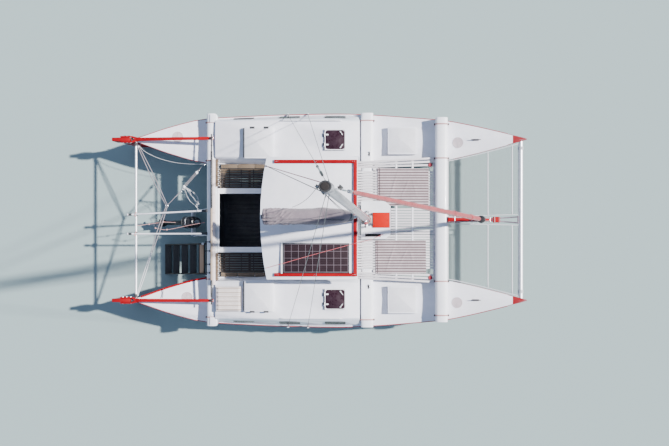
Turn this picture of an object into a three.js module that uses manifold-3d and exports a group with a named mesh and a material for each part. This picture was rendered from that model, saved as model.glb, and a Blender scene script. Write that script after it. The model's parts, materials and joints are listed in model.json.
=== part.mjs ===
// A sailing catamaran of the plywood double-canoe kind: two slim V-sectioned hulls held apart by lashed
// beams, a cockpit tub under a hard roof, slatted decks, bow nets, a raked mast and an outboard motor.
// Millimetres. +X towards the bows, +Y to port, +Z up, origin amidships on the waterline.

import * as THREE from "three";
import { mergeVertices } from "three/addons/utils/BufferGeometryUtils.js";
import Module from "manifold-3d";

const wasm = await Module();
wasm.setup();

// Driving dimensions

const HULL_CENTRE_Y = 1865;
const GAP = 0.3;
const PLY = 18;
const PORT = 1;
const STARBOARD = -1;
const DEGREE = Math.PI / 180;

// Hull stations from stern to bow, measured from the hull's own centre plane. HULL_LINES runs through them.
const HULL_STATIONS = [
  { x: -4570, deck: 20, sheer: 1150, chine: 15, chineZ: 1130, keel: 1115 },
  { x: -4460, deck: 55, sheer: 1140, chine: 16, chineZ: 620, keel: 560 },
  { x: -4370, deck: 85, sheer: 1132, chine: 22, chineZ: 150, keel: 10 },
  { x: -4290, deck: 112, sheer: 1124, chine: 34, chineZ: -20, keel: -330 },
  { x: -3760, deck: 300, sheer: 1072, chine: 96, chineZ: -70, keel: -440 },
  { x: -2900, deck: 515, sheer: 985, chine: 190, chineZ: -105, keel: -540 },
  { x: -2000, deck: 575, sheer: 945, chine: 256, chineZ: -120, keel: -600 },
  { x: -1000, deck: 620, sheer: 930, chine: 292, chineZ: -125, keel: -625 },
  { x: 200, deck: 640, sheer: 930, chine: 300, chineZ: -125, keel: -630 },
  { x: 1000, deck: 610, sheer: 942, chine: 282, chineZ: -120, keel: -615 },
  { x: 1800, deck: 550, sheer: 978, chine: 240, chineZ: -105, keel: -570 },
  { x: 2670, deck: 465, sheer: 1055, chine: 172, chineZ: -60, keel: -450 },
  { x: 3300, deck: 340, sheer: 1130, chine: 104, chineZ: 40, keel: -190 },
  { x: 3900, deck: 192, sheer: 1212, chine: 46, chineZ: 480, keel: 400 },
  { x: 4250, deck: 100, sheer: 1260, chine: 20, chineZ: 880, keel: 840 },
  { x: 4570, deck: 16, sheer: 1300, chine: 10, chineZ: 1275, keel: 1262 },
];
const STEPS_PER_STATION = 3;
const KEEL_HALF = 12;
const STRAKE_DEPTH = 60;
const STRAKE_STEP = 12;
const DECK_CROWN = 25;
const FULL_CROWN_HALF = 400;

// The living space cut from each hull, as runs with their own floor height.
const HULL_WALL = 24;
const BERTH_RUNS = [
  { from: -2500, to: -1700, floor: 120 },
  { from: -1720, to: -300, floor: -330 },
  { from: -320, to: 600, floor: 120 },
];
const CABIN_LIP = 70;

// Cabin trunks, as sections that start at the deck's edge and lean in to the roof.
const CABIN_AFT_X = -2630;
const CABIN_FRONT_X = 700;
const CABIN_STATIONS = [
  { x: CABIN_AFT_X, foot: 520, top: 430, roofZ: 1310 },
  { x: -1000, foot: 604, top: 446, roofZ: 1335 },
  { x: 200, foot: 622, top: 446, roofZ: 1335 },
  { x: CABIN_FRONT_X, foot: 606, top: 420, roofZ: 1310 },
];
const CABIN_FOOT_Z = 915;
const CABIN_CROWN = 22;
const CABIN_CREST = 1335 + CABIN_CROWN;
const WINDOW_LENGTH = 440;
const WINDOW_HEIGHT = 105;
const WINDOW_Z = 1135;
const WINDOW_XS = [-2000, -930, 130];

// Hatches over the hulls. across is the opening's middle, measured inboard from the hull's centre.
const COMPANION = { x: -1600, across: 101, length: 600, width: 640, rise: 36 };
const ROOF_HATCH = { x: 145, across: 28, length: 400, width: 400, rise: 20 };
const FORE_HATCH = { x: 1692, across: 7, length: 600, width: 560, depth: 520, rise: 46 };
const HATCH_RIM = 20;
const RIM_DEPTH = 64;
const LID_GAP = 6;
const LID_SKIRT = 14;

// Beams that tie the hulls together.
const MAST_BEAM = { x: 870, width: 280, bottom: 975, top: 1150, half: 2500 };
const FORWARD_BEAM = { x: 2600, width: 280, bottom: 1095, top: 1330, half: 2370 };
const AFT_BEAM = { x: -2740, width: 200, bottom: 1010, top: 1270, half: 2460 };
const BOW_TUBE = { x: 4440, z: 1230, radius: 48, half: 1840 };
const STERN_TUBE = { x: -4500, z: 1174, radius: 26, half: 1850 };

// Cockpit tub and the roof over it.
const TUB = { aft: -2636, front: 690, outer: 745, inner: 632, floor: 430, keel: 400, rim: 1040, foot: 560 };
const ROOF = { front: 685, aftMiddle: -1500, aftCorner: -1360, half: 1380, z: 1920, crown: 45, thick: 32 };
const ROOF_POSTS = { x: -1290, y: 1240, radius: 24 };
const FRONT_WALL = { x: 560, half: 1230, bottom: TUB.rim + GAP, thick: 20 };
const WALL_WINDOWS = { width: 560, height: 330, centreZ: 1640, pitch: 730 };
const RAIL = { width: 75, height: 32, rise: 48 };
const PORT_RAIL = { from: -1180, to: 660, y: 1270 };
const STARBOARD_RAIL = { from: -1180, to: 665, y: -1270 };
const FRONT_RAIL_X = 640;
const PANEL = { aft: -980, front: 500, inner: -565, outer: -1235, thick: 22, z: 1976 };

// Slatted decks.
const BENCH = { from: -2630, to: 690, inner: 760, outer: 1212, pitch: 58, top: 960 };
const SLAT = { width: 44, thick: 22, pitch: 62 };
const BEARER = { width: 50, depth: 46 };
const BENCH_BEARER_XS = [-2500, -1900, -1300, -700, -100, 500];
const DECK = {
  aft: 600,
  front: FORWARD_BEAM.x - FORWARD_BEAM.width / 2 - GAP,
  top: MAST_BEAM.top + SLAT.thick + GAP,
};
const DECK_BEARER_XS = [1090, 1550, 1930, DECK.front - BEARER.width / 2];
const SIDE_SLATS = { inner: 345, outer: 1180 };
const CENTRE_SLATS = { half: 330, from: 1430 };
const FLARED_SLATS = [
  { aft: 1207, front: 1262 },
  { aft: 1261, front: 1340 },
  { aft: 1315, front: 1418 },
];

// Mast, boom and standing rigging.
const MAST = { footX: 870, footZ: 1290, headX: 580, headZ: 9750, radius: 68, chord: 1.25 };
const MAST_SIDES = 16;
const HOUNDS_Z = 9480;
const SHROUD_RADIUS = 5;
const SHROUD_FEET_X = [-1000, -530];
const SHROUD_FOOT_Z = 930;
const CHAINPLATE = { width: 40, thick: 36, out: 16, wireOut: 24, bottom: 640, top: 900 };
const STAY_FOOT = { x: 3510, z: 1440 };
const STAY_HEAD_Z = 9400;
const SAIL_FOOT_Z = 1680;
const SAIL_HEAD_Z = 8650;
const SAIL_RADIUS = 56;
const BOOM = { tackX: 700, endX: -1380, z: 2400, radius: 38 };
const COVER_SECTIONS = [
  { x: -1370, half: 165, bottom: 2450, top: 2655 },
  { x: -1200, half: 188, bottom: 2446, top: 2700 },
  { x: -600, half: 196, bottom: 2446, top: 2730 },
  { x: -50, half: 206, bottom: 2446, top: 2800 },
  { x: 420, half: 150, bottom: 2446, top: 2960 },
  { x: 640, half: 96, bottom: 2450, top: 3080 },
];

// Steering gear. The axis leans aft at the top by the sternpost's rake.
const RUDDER_AXIS = { footX: -4372, footZ: -200, headX: -4650, headZ: 1250 };
const RUDDER_NOSE = 24;
const RUDDER_HEAD_NOSE = 46;
const RUDDER_TAIL = 0.35;
const RUDDER_HEAD_TAIL = 0.85;
const RUDDER_PROFILE = [
  { z: 1265, chord: 385, nose: RUDDER_HEAD_NOSE, tail: RUDDER_HEAD_TAIL },
  { z: 960, chord: 400, nose: RUDDER_HEAD_NOSE, tail: RUDDER_HEAD_TAIL },
  { z: 840, chord: 410, nose: RUDDER_NOSE, tail: RUDDER_TAIL },
  { z: -100, chord: 430, nose: RUDDER_NOSE, tail: RUDDER_TAIL },
  { z: -560, chord: 410, nose: RUDDER_NOSE, tail: RUDDER_TAIL },
  { z: -750, chord: 300, nose: RUDDER_NOSE - 6, tail: RUDDER_TAIL },
];
const TILLER_END_X = -2690;
const TILLER = { width: 66, height: 38, headZ: 1310, endZ: 1400, prong: 30, prongLength: 230 };
const TILLER_BAR = { radius: 16, z: 1450, half: 1960 };

// Outboard motor, drawn upright about its tilt pin and parked tilted up.
const MOTOR_PIVOT = { x: -3450, y: -30, z: 450 };
const MOTOR_TILT = 60 * DEGREE;
const SWIVEL_BACK = 95;
const SLED = { armY: 300, armWidth: 40, board: 35, boardTop: 425, boardBottom: 40 };
const BOARD_X = -3352;

const SHAFT_Z = -745;
const BLADE = [
  [-26, 20],
  [26, 20],
  [44, 88],
  [20, 114],
  [-20, 114],
  [-44, 80],
];
const BLADE_PITCH = 52;

const LADDER = {
  hinge: { x: -2905, z: 955 },
  foot: { x: -4080, z: 30 },
  port: -530,
  starboard: -1265,
  rail: 32,
  depth: 80,
  treadWidth: 150,
  treadThick: 28,
};
const LADDER_TREADS = 5;
const LADDER_FIRST = 170;
const LADDER_PITCH = 312;

const STERN_POLES = [
  { name: "port_stern_pole", aft: { x: -4680, y: 120 }, fore: { x: -2850, y: 215 } },
  { name: "starboard_stern_pole", aft: { x: -4680, y: -325 }, fore: { x: -2850, y: -320 } },
];
const POLE = { z: 1224, radius: 20, ball: 32 };

const SPAR = { from: 2742, to: 3760, halfWidth: 66, bottom: 1235, top: 1345 };
const FORK = { spread: 70, radius: 17 };
const NET = { aft: 2752, front: 4380, inner: 78, aftZ: 1150, frontZ: 1236, thick: 12, edge: 26 };

const LOCKER = { aft: 740, front: 1420, port: 430, starboard: -450, top: 1285, wall: 20 };
const LOCKER_LID = { x: 1205, y: -10, length: 390, width: 350, thick: 24 };

const CLEAT = { x: 3400, length: 240, width: 46, base: 10, post: 30, height: 62 };
const CUSHION = { x: -2310, y: -1830, length: 585, width: 590, thick: 60, low: 1362 };

const COLOURS = {
  hullWhite: { color: 0xe9ebf2, roughness: 0.38, metalness: 0 },
  deckWhite: { color: 0xe6e6ee, roughness: 0.6, metalness: 0 },
  red: { color: 0xc8102a, roughness: 0.4, metalness: 0 },
  darkRed: { color: 0x8e1a2c, roughness: 0.5, metalness: 0 },
  aluminium: { color: 0xb9bcc0, roughness: 0.35, metalness: 0.9 },
  steel: { color: 0xc9ccd0, roughness: 0.22, metalness: 1 },
  slatWood: { color: 0xcfc9c4, roughness: 0.75, metalness: 0 },
  benchWood: { color: 0x8d8373, roughness: 0.8, metalness: 0 },
  acrylic: { color: 0x3c3238, roughness: 0.1, metalness: 0 },
  solar: { color: 0x2c2533, roughness: 0.2, metalness: 0.1 },
  black: { color: 0x17181b, roughness: 0.4, metalness: 0 },
  cover: { color: 0x8c858d, roughness: 0.9, metalness: 0 },
  sail: { color: 0xd99a90, roughness: 0.85, metalness: 0 },
  net: { color: 0xb9c8c6, roughness: 0.9, metalness: 0 },
  cushion: { color: 0xe2d9cf, roughness: 0.9, metalness: 0 },
  tread: { color: 0x8a6a49, roughness: 0.7, metalness: 0 },
};

// Solids from three.js geometry

function solid(geometry) {
  const bare = geometry.clone();
  bare.deleteAttribute("normal");
  bare.deleteAttribute("uv");
  const merged = mergeVertices(bare, 1e-3);
  return new wasm.Manifold(
    new wasm.Mesh({
      numProp: 3,
      vertProperties: new Float32Array(merged.attributes.position.array),
      triVerts: new Uint32Array(merged.index.array),
    }),
  );
}

function join(...solids) {
  return solids.reduce((sum, next) => sum.add(next));
}

function cut(body, ...tools) {
  return tools.reduce((rest, tool) => rest.subtract(tool), body);
}

function geometryOf(manifold) {
  const made = manifold.getMesh();
  const geometry = new THREE.BufferGeometry();
  geometry.setAttribute("position", new THREE.BufferAttribute(new Float32Array(made.vertProperties), 3));
  geometry.setIndex(new THREE.BufferAttribute(new Uint32Array(made.triVerts), 1));
  const flat = geometry.toNonIndexed();
  flat.computeVertexNormals();
  return flat;
}

function box(x0, x1, y0, y1, z0, z1) {
  const shape = new THREE.BoxGeometry(x1 - x0, y1 - y0, z1 - z0);
  shape.translate((x0 + x1) / 2, (y0 + y1) / 2, (z0 + z1) / 2);
  return solid(shape);
}

function rod(start, end, radius, sides = 12, endRadius = radius) {
  const from = new THREE.Vector3(...start);
  const along = new THREE.Vector3(...end).sub(from);
  const shape = new THREE.CylinderGeometry(endRadius, radius, along.length(), sides);
  const turn = new THREE.Quaternion().setFromUnitVectors(
    new THREE.Vector3(0, 1, 0),
    along.clone().normalize(),
  );
  shape.applyQuaternion(turn);
  shape.translate(from.x + along.x / 2, from.y + along.y / 2, from.z + along.z / 2);
  return solid(shape);
}

function ball(centre, radius) {
  const shape = new THREE.SphereGeometry(radius, 12, 8);
  shape.translate(...centre);
  return solid(shape);
}

// A closed loft through rings of equal length, with fans over its two ends.
function loft(rings) {
  const count = rings[0].length;
  const points = rings.flat();
  const faces = [];
  for (let r = 0; r + 1 < rings.length; r++) {
    for (let i = 0; i < count; i++) {
      const a = r * count + i;
      const b = r * count + ((i + 1) % count);
      faces.push(a, b, b + count, a, b + count, a + count);
    }
  }
  const last = (rings.length - 1) * count;
  for (let i = 1; i + 1 < count; i++) {
    faces.push(0, i + 1, i);
    faces.push(last, last + i, last + i + 1);
  }
  const geometry = new THREE.BufferGeometry();
  geometry.setAttribute("position", new THREE.BufferAttribute(new Float32Array(points.flat()), 3));
  geometry.setIndex(faces);
  const made = solid(geometry);
  if (made.volume() > 0) return made;
  const turned = [];
  for (let i = 0; i < faces.length; i += 3) turned.push(faces[i], faces[i + 2], faces[i + 1]);
  geometry.setIndex(turned);
  return solid(geometry);
}

function extruded(outline, depth) {
  const shape = new THREE.Shape(outline.map(([a, b]) => new THREE.Vector2(a, b)));
  return new THREE.ExtrudeGeometry(shape, { depth, bevelEnabled: false });
}

// A prism of an outline drawn in X and Z, running along Y.
function prismAlongY(outline, y0, y1) {
  const shape = extruded(outline, y1 - y0);
  shape.rotateX(90 * DEGREE);
  shape.translate(0, y1, 0);
  return solid(shape);
}

// A prism of an outline drawn in X and Y, standing between two heights.
function plate(outline, z0, z1) {
  const shape = extruded(outline, z1 - z0);
  shape.translate(0, 0, z0);
  return solid(shape);
}

function between(a, b, share) {
  return a + (b - a) * share;
}

// The row of a station table at x, with every column worked out between its neighbours.
function stationAt(table, x) {
  const last = table.length - 1;
  const next = Math.min(last, Math.max(1, table.findIndex((row) => row.x >= x)));
  const a = table[next - 1];
  const b = table[next];
  const share = (x - a.x) / (b.x - a.x);
  return Object.fromEntries(Object.keys(a).map((key) => [key, between(a[key], b[key], share)]));
}

// The slope of one column at each row of a table, nought at a peak, so that a curve through it never overshoots.
function slopes(table, key) {
  const rises = table.slice(1).map((row, i) => (row[key] - table[i][key]) / (row.x - table[i].x));
  return table.map((row, i) => {
    const before = rises[Math.max(0, i - 1)];
    const after = rises[Math.min(rises.length - 1, i)];
    return before * after <= 0 ? 0 : (2 * before * after) / (before + after);
  });
}

// A station table with more rows, on a smooth curve through the given ones.
function faired(table, steps) {
  const keys = Object.keys(table[0]).filter((key) => key !== "x");
  const tilts = Object.fromEntries(keys.map((key) => [key, slopes(table, key)]));
  const rows = [];
  for (let i = 0; i + 1 < table.length; i++) {
    const a = table[i];
    const b = table[i + 1];
    const run = b.x - a.x;
    for (let step = 0; step < steps; step++) {
      const t = step / steps;
      const ease = t * t * (3 - 2 * t);
      const row = { x: between(a.x, b.x, t) };
      for (const key of keys) {
        const bend = t * (1 - t) * ((1 - t) * tilts[key][i] - t * tilts[key][i + 1]);
        row[key] = between(a[key], b[key], ease) + run * bend;
      }
      rows.push(row);
    }
  }
  return [...rows, table[table.length - 1]];
}

const HULL_LINES = faired(HULL_STATIONS, STEPS_PER_STATION);

const pieces = new THREE.Group();

function add(name, manifold, look, parent = pieces) {
  const mesh = new THREE.Mesh(geometryOf(manifold), new THREE.MeshStandardMaterial(COLOURS[look]));
  mesh.name = name;
  parent.add(mesh);
  return mesh;
}

// Hulls

// One hull section: keel, chine, topside, the strake's step, the strake and the crowned deck.
function hullRing(row, centreY) {
  const step = Math.min(STRAKE_STEP, row.deck / 4);
  const strake = Math.min(STRAKE_DEPTH, (row.sheer - row.chineZ) / 2);
  const crown = DECK_CROWN * Math.min(1, row.deck / FULL_CROWN_HALF);
  const half = [
    [Math.min(KEEL_HALF, row.chine * 0.6), row.keel],
    [row.chine, row.chineZ],
    [row.deck - step, row.sheer - strake],
    [row.deck, row.sheer - strake + step * 0.4],
    [row.deck, row.sheer - step * 0.5],
    [row.deck - step, row.sheer],
  ];
  const starboard = half.map(([y, z]) => [row.x, centreY - y, z]).reverse();
  const port = half.map(([y, z]) => [row.x, centreY + y, z]);
  return [...starboard, ...port, [row.x, centreY, row.sheer + crown]];
}

// The room inside a hull over one run, between its floor and the deck.
function hullRoom(centreY, run) {
  const xs = [run.from, ...HULL_LINES.map((row) => row.x), run.to]
    .filter((x) => x >= run.from && x <= run.to)
    .sort((a, b) => a - b)
    .filter((x, i, all) => i === 0 || x > all[i - 1]);
  const rings = xs.map((x) => {
    const row = stationAt(HULL_LINES, x);
    const high = row.sheer + 60;
    const wide = row.deck - HULL_WALL - CABIN_LIP;
    const share = (run.floor - row.chineZ) / (row.sheer - row.chineZ);
    const low = run.floor > row.chineZ
      ? between(row.chine, row.deck, share)
      : between(KEEL_HALF, row.chine, (run.floor - row.keel) / (row.chineZ - row.keel));
    const floorHalf = Math.max(40, Math.min(wide, low - HULL_WALL * 1.6));
    const midZ = Math.max(run.floor + 10, row.chineZ + 20);
    const midHalf = Math.min(wide, Math.max(floorHalf + 2, between(row.chine, row.deck, 0.14) - HULL_WALL * 1.6));
    return [
      [x, centreY - floorHalf, run.floor],
      [x, centreY + floorHalf, run.floor],
      [x, centreY + midHalf, midZ],
      [x, centreY + wide, row.sheer - 160],
      [x, centreY + wide, high],
      [x, centreY - wide, high],
      [x, centreY - wide, row.sheer - 160],
      [x, centreY - midHalf, midZ],
    ];
  });
  return loft(rings);
}

function hatchBox(hatch, side, grow, z0, z1) {
  const y = side * (HULL_CENTRE_Y - hatch.across);
  const halfL = hatch.length / 2 + grow;
  const halfW = hatch.width / 2 + grow;
  return box(hatch.x - halfL, hatch.x + halfL, y - halfW, y + halfW, z0, z1);
}

function hullBlock(side) {
  return loft(HULL_LINES.map((row) => hullRing(row, side * HULL_CENTRE_Y)));
}

// The foredeck rim's top, level, and clear of the rising deck at its forward end.
function foreRimTop() {
  const front = stationAt(HULL_LINES, FORE_HATCH.x + FORE_HATCH.length / 2 + 50);
  return front.sheer + DECK_CROWN + FORE_HATCH.rise;
}

function hullSolid(side) {
  const centreY = side * HULL_CENTRE_Y;
  let hull = hullBlock(side);
  const fore = stationAt(HULL_LINES, FORE_HATCH.x);
  const foreTop = foreRimTop();
  hull = join(hull, hatchBox(FORE_HATCH, side, HATCH_RIM, fore.sheer - 40, foreTop));
  for (const x of SHROUD_FEET_X) {
    const y = side * (HULL_CENTRE_Y + stationAt(HULL_LINES, x).deck + CHAINPLATE.out);
    const halfT = CHAINPLATE.thick / 2;
    const halfW = CHAINPLATE.width / 2;
    hull = join(hull, box(x - halfW, x + halfW, y - halfT, y + halfT, CHAINPLATE.bottom, CHAINPLATE.top));
  }
  for (const beam of [MAST_BEAM, FORWARD_BEAM, AFT_BEAM]) {
    const row = stationAt(HULL_LINES, beam.x);
    const halfW = beam.width / 2;
    const halfPad = row.deck * 0.82;
    const top = beam.bottom - GAP;
    hull = join(hull, box(beam.x - halfW, beam.x + halfW, centreY - halfPad, centreY + halfPad, row.sheer - 60, top));
  }
  const rooms = BERTH_RUNS.map((run) => hullRoom(centreY, run));
  const locker = hatchBox(FORE_HATCH, side, 0, fore.sheer - FORE_HATCH.depth, foreTop + 10);
  return cut(hull, ...rooms, locker);
}

// Cabin trunks, hollow, with their windows and two hatchways cut.

function cabinRing(row, centreY, wall) {
  const foot = row.foot - wall;
  const top = row.top - wall * 0.8;
  const roof = row.roofZ - wall;
  const low = CABIN_FOOT_Z - wall * 2;
  return [
    [row.x, centreY - foot, low],
    [row.x, centreY + foot, low],
    [row.x, centreY + top + 12, roof - 30],
    [row.x, centreY + top - 22, roof],
    [row.x, centreY, roof + CABIN_CROWN],
    [row.x, centreY - top + 22, roof],
    [row.x, centreY - top - 12, roof - 30],
  ];
}

function cabinSolid(side) {
  const centreY = side * HULL_CENTRE_Y;
  const outer = loft(CABIN_STATIONS.map((row) => cabinRing(row, centreY, 0)));
  const inside = CABIN_STATIONS.map((row, i) => {
    const inset = i === 0 ? PLY : i === CABIN_STATIONS.length - 1 ? -PLY : 0;
    return { ...row, x: row.x + inset };
  });
  const inner = loft(inside.map((row) => cabinRing(row, centreY, PLY)));
  const cornerY = side * (HULL_CENTRE_Y + 700);
  const chamferY = side * (HULL_CENTRE_Y + 380);
  const chamfer = plate(
    [
      [CABIN_FRONT_X + 20, chamferY],
      [CABIN_FRONT_X + 20, cornerY],
      [CABIN_FRONT_X - 130, cornerY],
      [CABIN_FRONT_X - 40, side * (HULL_CENTRE_Y + 560)],
    ],
    CABIN_FOOT_Z - 60,
    1500,
  );
  const chamferedInner = cut(inner, chamfer.translate([-PLY * 1.4, -side * PLY * 1.4, 0]));
  const hatches = [COMPANION, ROOF_HATCH];
  const rims = hatches.map((hatch) =>
    hatchBox(hatch, side, HATCH_RIM, CABIN_CREST - RIM_DEPTH, CABIN_CREST + hatch.rise),
  );
  const holes = hatches.map((hatch) => hatchBox(hatch, side, 0, CABIN_CREST - 140, CABIN_CREST + 200));
  const windows = WINDOW_XS.map((x) =>
    box(
      x - WINDOW_LENGTH / 2,
      x + WINDOW_LENGTH / 2,
      side > 0 ? centreY + 300 : centreY - 700,
      side > 0 ? centreY + 700 : centreY - 300,
      WINDOW_Z - WINDOW_HEIGHT / 2,
      WINDOW_Z + WINDOW_HEIGHT / 2,
    ),
  );
  const below = hullBlock(side).translate([0, 0, GAP]);
  return cut(join(cut(outer, chamfer), ...rims), chamferedInner, ...holes, ...windows, below);
}

// A capped lid: a panel with a skirt that drops round the hatch's rim.
function lidSolid(hatch, side, overhang, panelZ, thick, skirt) {
  const gap = HATCH_RIM + LID_GAP;
  const panel = hatchBox(hatch, side, gap + LID_SKIRT, panelZ - skirt, panelZ + thick);
  const space = hatchBox(hatch, side, gap, panelZ - skirt - 10, panelZ);
  const y = side * (HULL_CENTRE_Y - hatch.across);
  const halfW = hatch.width / 2 + gap + LID_SKIRT;
  const front = hatch.x + hatch.length / 2 + gap + LID_SKIRT;
  const slope = prismAlongY(
    [
      [front - overhang, panelZ + thick + 1],
      [front + 1, panelZ + thick + 1],
      [front + 1, panelZ + thick * 0.3],
    ],
    y - halfW - 1,
    y + halfW + 1,
  );
  return overhang > 0 ? cut(panel, space, slope) : cut(panel, space);
}

// Beams: a box with rounded upper edges, along Y.
function beamSolid(beam, crown) {
  const half = beam.width / 2;
  const { x, bottom, top } = beam;
  const outline = [
    [x - half + 10, bottom],
    [x + half - 10, bottom],
    [x + half, bottom + 10],
    [x + half, top - crown * 2],
    [x + half * 0.86, top - crown * 0.9],
    [x + half * 0.5, top - crown * 0.25],
    [x, top],
    [x - half * 0.5, top - crown * 0.25],
    [x - half * 0.86, top - crown * 0.9],
    [x - half, top - crown * 2],
    [x - half, bottom + 10],
  ];
  return prismAlongY(outline, -beam.half, beam.half);
}

function buildHulls() {
  for (const [side, word] of [[PORT, "port"], [STARBOARD, "starboard"]]) {
    add(`${word}_hull`, hullSolid(side), "hullWhite");
    add(`${word}_cabin`, cabinSolid(side), "deckWhite");
    const lids = [
      [`${word}_companion_lid`, lidSolid(COMPANION, side, 70, CABIN_CREST + COMPANION.rise + 6, 26, 34), "deckWhite"],
      [`${word}_roof_hatch`, lidSolid(ROOF_HATCH, side, 0, CABIN_CREST + ROOF_HATCH.rise + 6, 16, 12), "acrylic"],
      [`${word}_foredeck_lid`, lidSolid(FORE_HATCH, side, 0, foreRimTop() + 6, 26, 32), "deckWhite"],
    ];
    for (const [name, lid, look] of lids) add(name, lid, look);
    const deck = stationAt(HULL_LINES, CLEAT.x);
    const y = side * HULL_CENTRE_Y;
    const deckZ = deck.sheer + DECK_CROWN * Math.min(1, deck.deck / FULL_CROWN_HALF);
    const halfL = CLEAT.length / 2;
    const halfW = CLEAT.width / 2;
    const base = box(CLEAT.x - 75, CLEAT.x + 75, y - halfW, y + halfW, deckZ - 20, deckZ + CLEAT.base);
    const underfoot = hullBlock(side).translate([0, 0, GAP]);
    const posts = [-45, 45].map((dx) =>
      rod([CLEAT.x + dx, y, deckZ], [CLEAT.x + dx, y, deckZ + CLEAT.height], CLEAT.post / 2, 10),
    );
    const horn = box(CLEAT.x - halfL, CLEAT.x + halfL, y - 12, y + 12, deckZ + 44, deckZ + CLEAT.height + 2);
    add(`${word}_bow_cleat`, cut(join(base, ...posts, horn), underfoot), "aluminium");
  }
}

// Rudders, tillers and the bar that joins them

function axisX(z) {
  const rise = (z - RUDDER_AXIS.footZ) / (RUDDER_AXIS.headZ - RUDDER_AXIS.footZ);
  return between(RUDDER_AXIS.footX, RUDDER_AXIS.headX, rise);
}

function rudderSolid(side) {
  const y = side * HULL_CENTRE_Y;
  const rings = RUDDER_PROFILE.map(({ z, chord, nose, tail }) => {
    const x = axisX(z);
    return [
      [x + nose, y, z],
      [x + nose * 0.7, y - nose * 0.72, z],
      [x, y - nose, z],
      [x - chord * 0.6, y - nose * 0.9, z],
      [x - chord, y - nose * tail, z],
      [x - chord, y + nose * tail, z],
      [x - chord * 0.6, y + nose * 0.9, z],
      [x, y + nose, z],
      [x + nose * 0.7, y + nose * 0.72, z],
    ];
  });
  return loft(rings);
}

function tillerSolid(side) {
  const y = side * HULL_CENTRE_Y;
  const cheek = RUDDER_HEAD_NOSE + GAP;
  const headX = RUDDER_AXIS.headX;
  const forkX = headX + TILLER.prongLength;
  const low = TILLER.headZ - 90;
  const outer = cheek + TILLER.prong;
  const half = TILLER.width / 2;
  const fork = plate(
    [
      [headX - 190, y - outer],
      [headX + 80, y - outer],
      [forkX + 40, y - half + 5],
      [forkX + 40, y + half - 5],
      [headX + 80, y + outer],
      [headX - 190, y + outer],
      [headX - 190, y + cheek],
      [headX + 70, y + cheek],
      [forkX - 90, y + 5],
      [forkX - 90, y - 5],
      [headX + 70, y - cheek],
      [headX - 190, y - cheek],
    ],
    low + 4,
    low + TILLER.height * 1.4 - 4,
  );
  const bar = loft(
    [
      { x: forkX - 40, z: low, w: half + 4, h: TILLER.height * 1.4 },
      { x: -3600, z: low + 110, w: half + 2, h: TILLER.height * 1.1 },
      { x: TILLER_END_X - 40, z: TILLER.endZ - 8, w: half, h: TILLER.height },
      { x: TILLER_END_X + 40, z: TILLER.endZ - 8, w: half, h: TILLER.height },
    ].map(({ x, z, w, h }) => [
      [x, y - w, z],
      [x, y + w, z],
      [x, y + w, z + h],
      [x, y - w, z + h],
    ]),
  );
  return join(bar, fork);
}

function tillerBarSolid() {
  const { half, z, radius } = TILLER_BAR;
  const bar = rod([TILLER_END_X, -half, z + 6], [TILLER_END_X, half, z + 6], radius, 12);
  const lugs = [PORT, STARBOARD].map((s) => {
    const y = s * HULL_CENTRE_Y;
    return rod([TILLER_END_X, y, z - 14], [TILLER_END_X, y, z + 22], 26, 12);
  });
  return join(bar, ...lugs);
}

function buildSteering() {
  for (const [side, word] of [[PORT, "port"], [STARBOARD, "starboard"]]) {
    add(`${word}_rudder`, rudderSolid(side), "red");
    add(`${word}_tiller`, tillerSolid(side), "red");
  }
  add("tiller_bar", tillerBarSolid(), "black");
}

// Beams, tubes, spar and nets

function buildBeams() {
  add("mast_beam", beamSolid(MAST_BEAM, 18), "deckWhite");
  add("forward_beam", beamSolid(FORWARD_BEAM, 26), "deckWhite");
  const ladderLugs = [LADDER.port + 18, LADDER.starboard - 34].map((y) =>
    box(LADDER.hinge.x - 22, AFT_BEAM.x - AFT_BEAM.width / 2 + 20, y, y + 16, LADDER.hinge.z - 25, AFT_BEAM.bottom + 5),
  );
  add("aft_beam", join(beamSolid(AFT_BEAM, 22), ...ladderLugs), "deckWhite");
  const across = (tube, sides) => rod([tube.x, -tube.half, tube.z], [tube.x, tube.half, tube.z], tube.radius, sides);
  const bows = [PORT, STARBOARD].map((side) => hullBlock(side).translate([0, -side * GAP, 0]));
  add("bow_tube", cut(across(BOW_TUBE, 20), ...bows), "aluminium");
  add("stern_tube", across(STERN_TUBE, 14), "aluminium");
  for (const { name, aft, fore } of STERN_POLES) {
    const pole = rod([aft.x, aft.y, POLE.z], [fore.x, fore.y, POLE.z], POLE.radius, 12);
    add(name, join(pole, ball([aft.x, aft.y, POLE.z], POLE.ball)), "deckWhite");
  }
}

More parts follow.
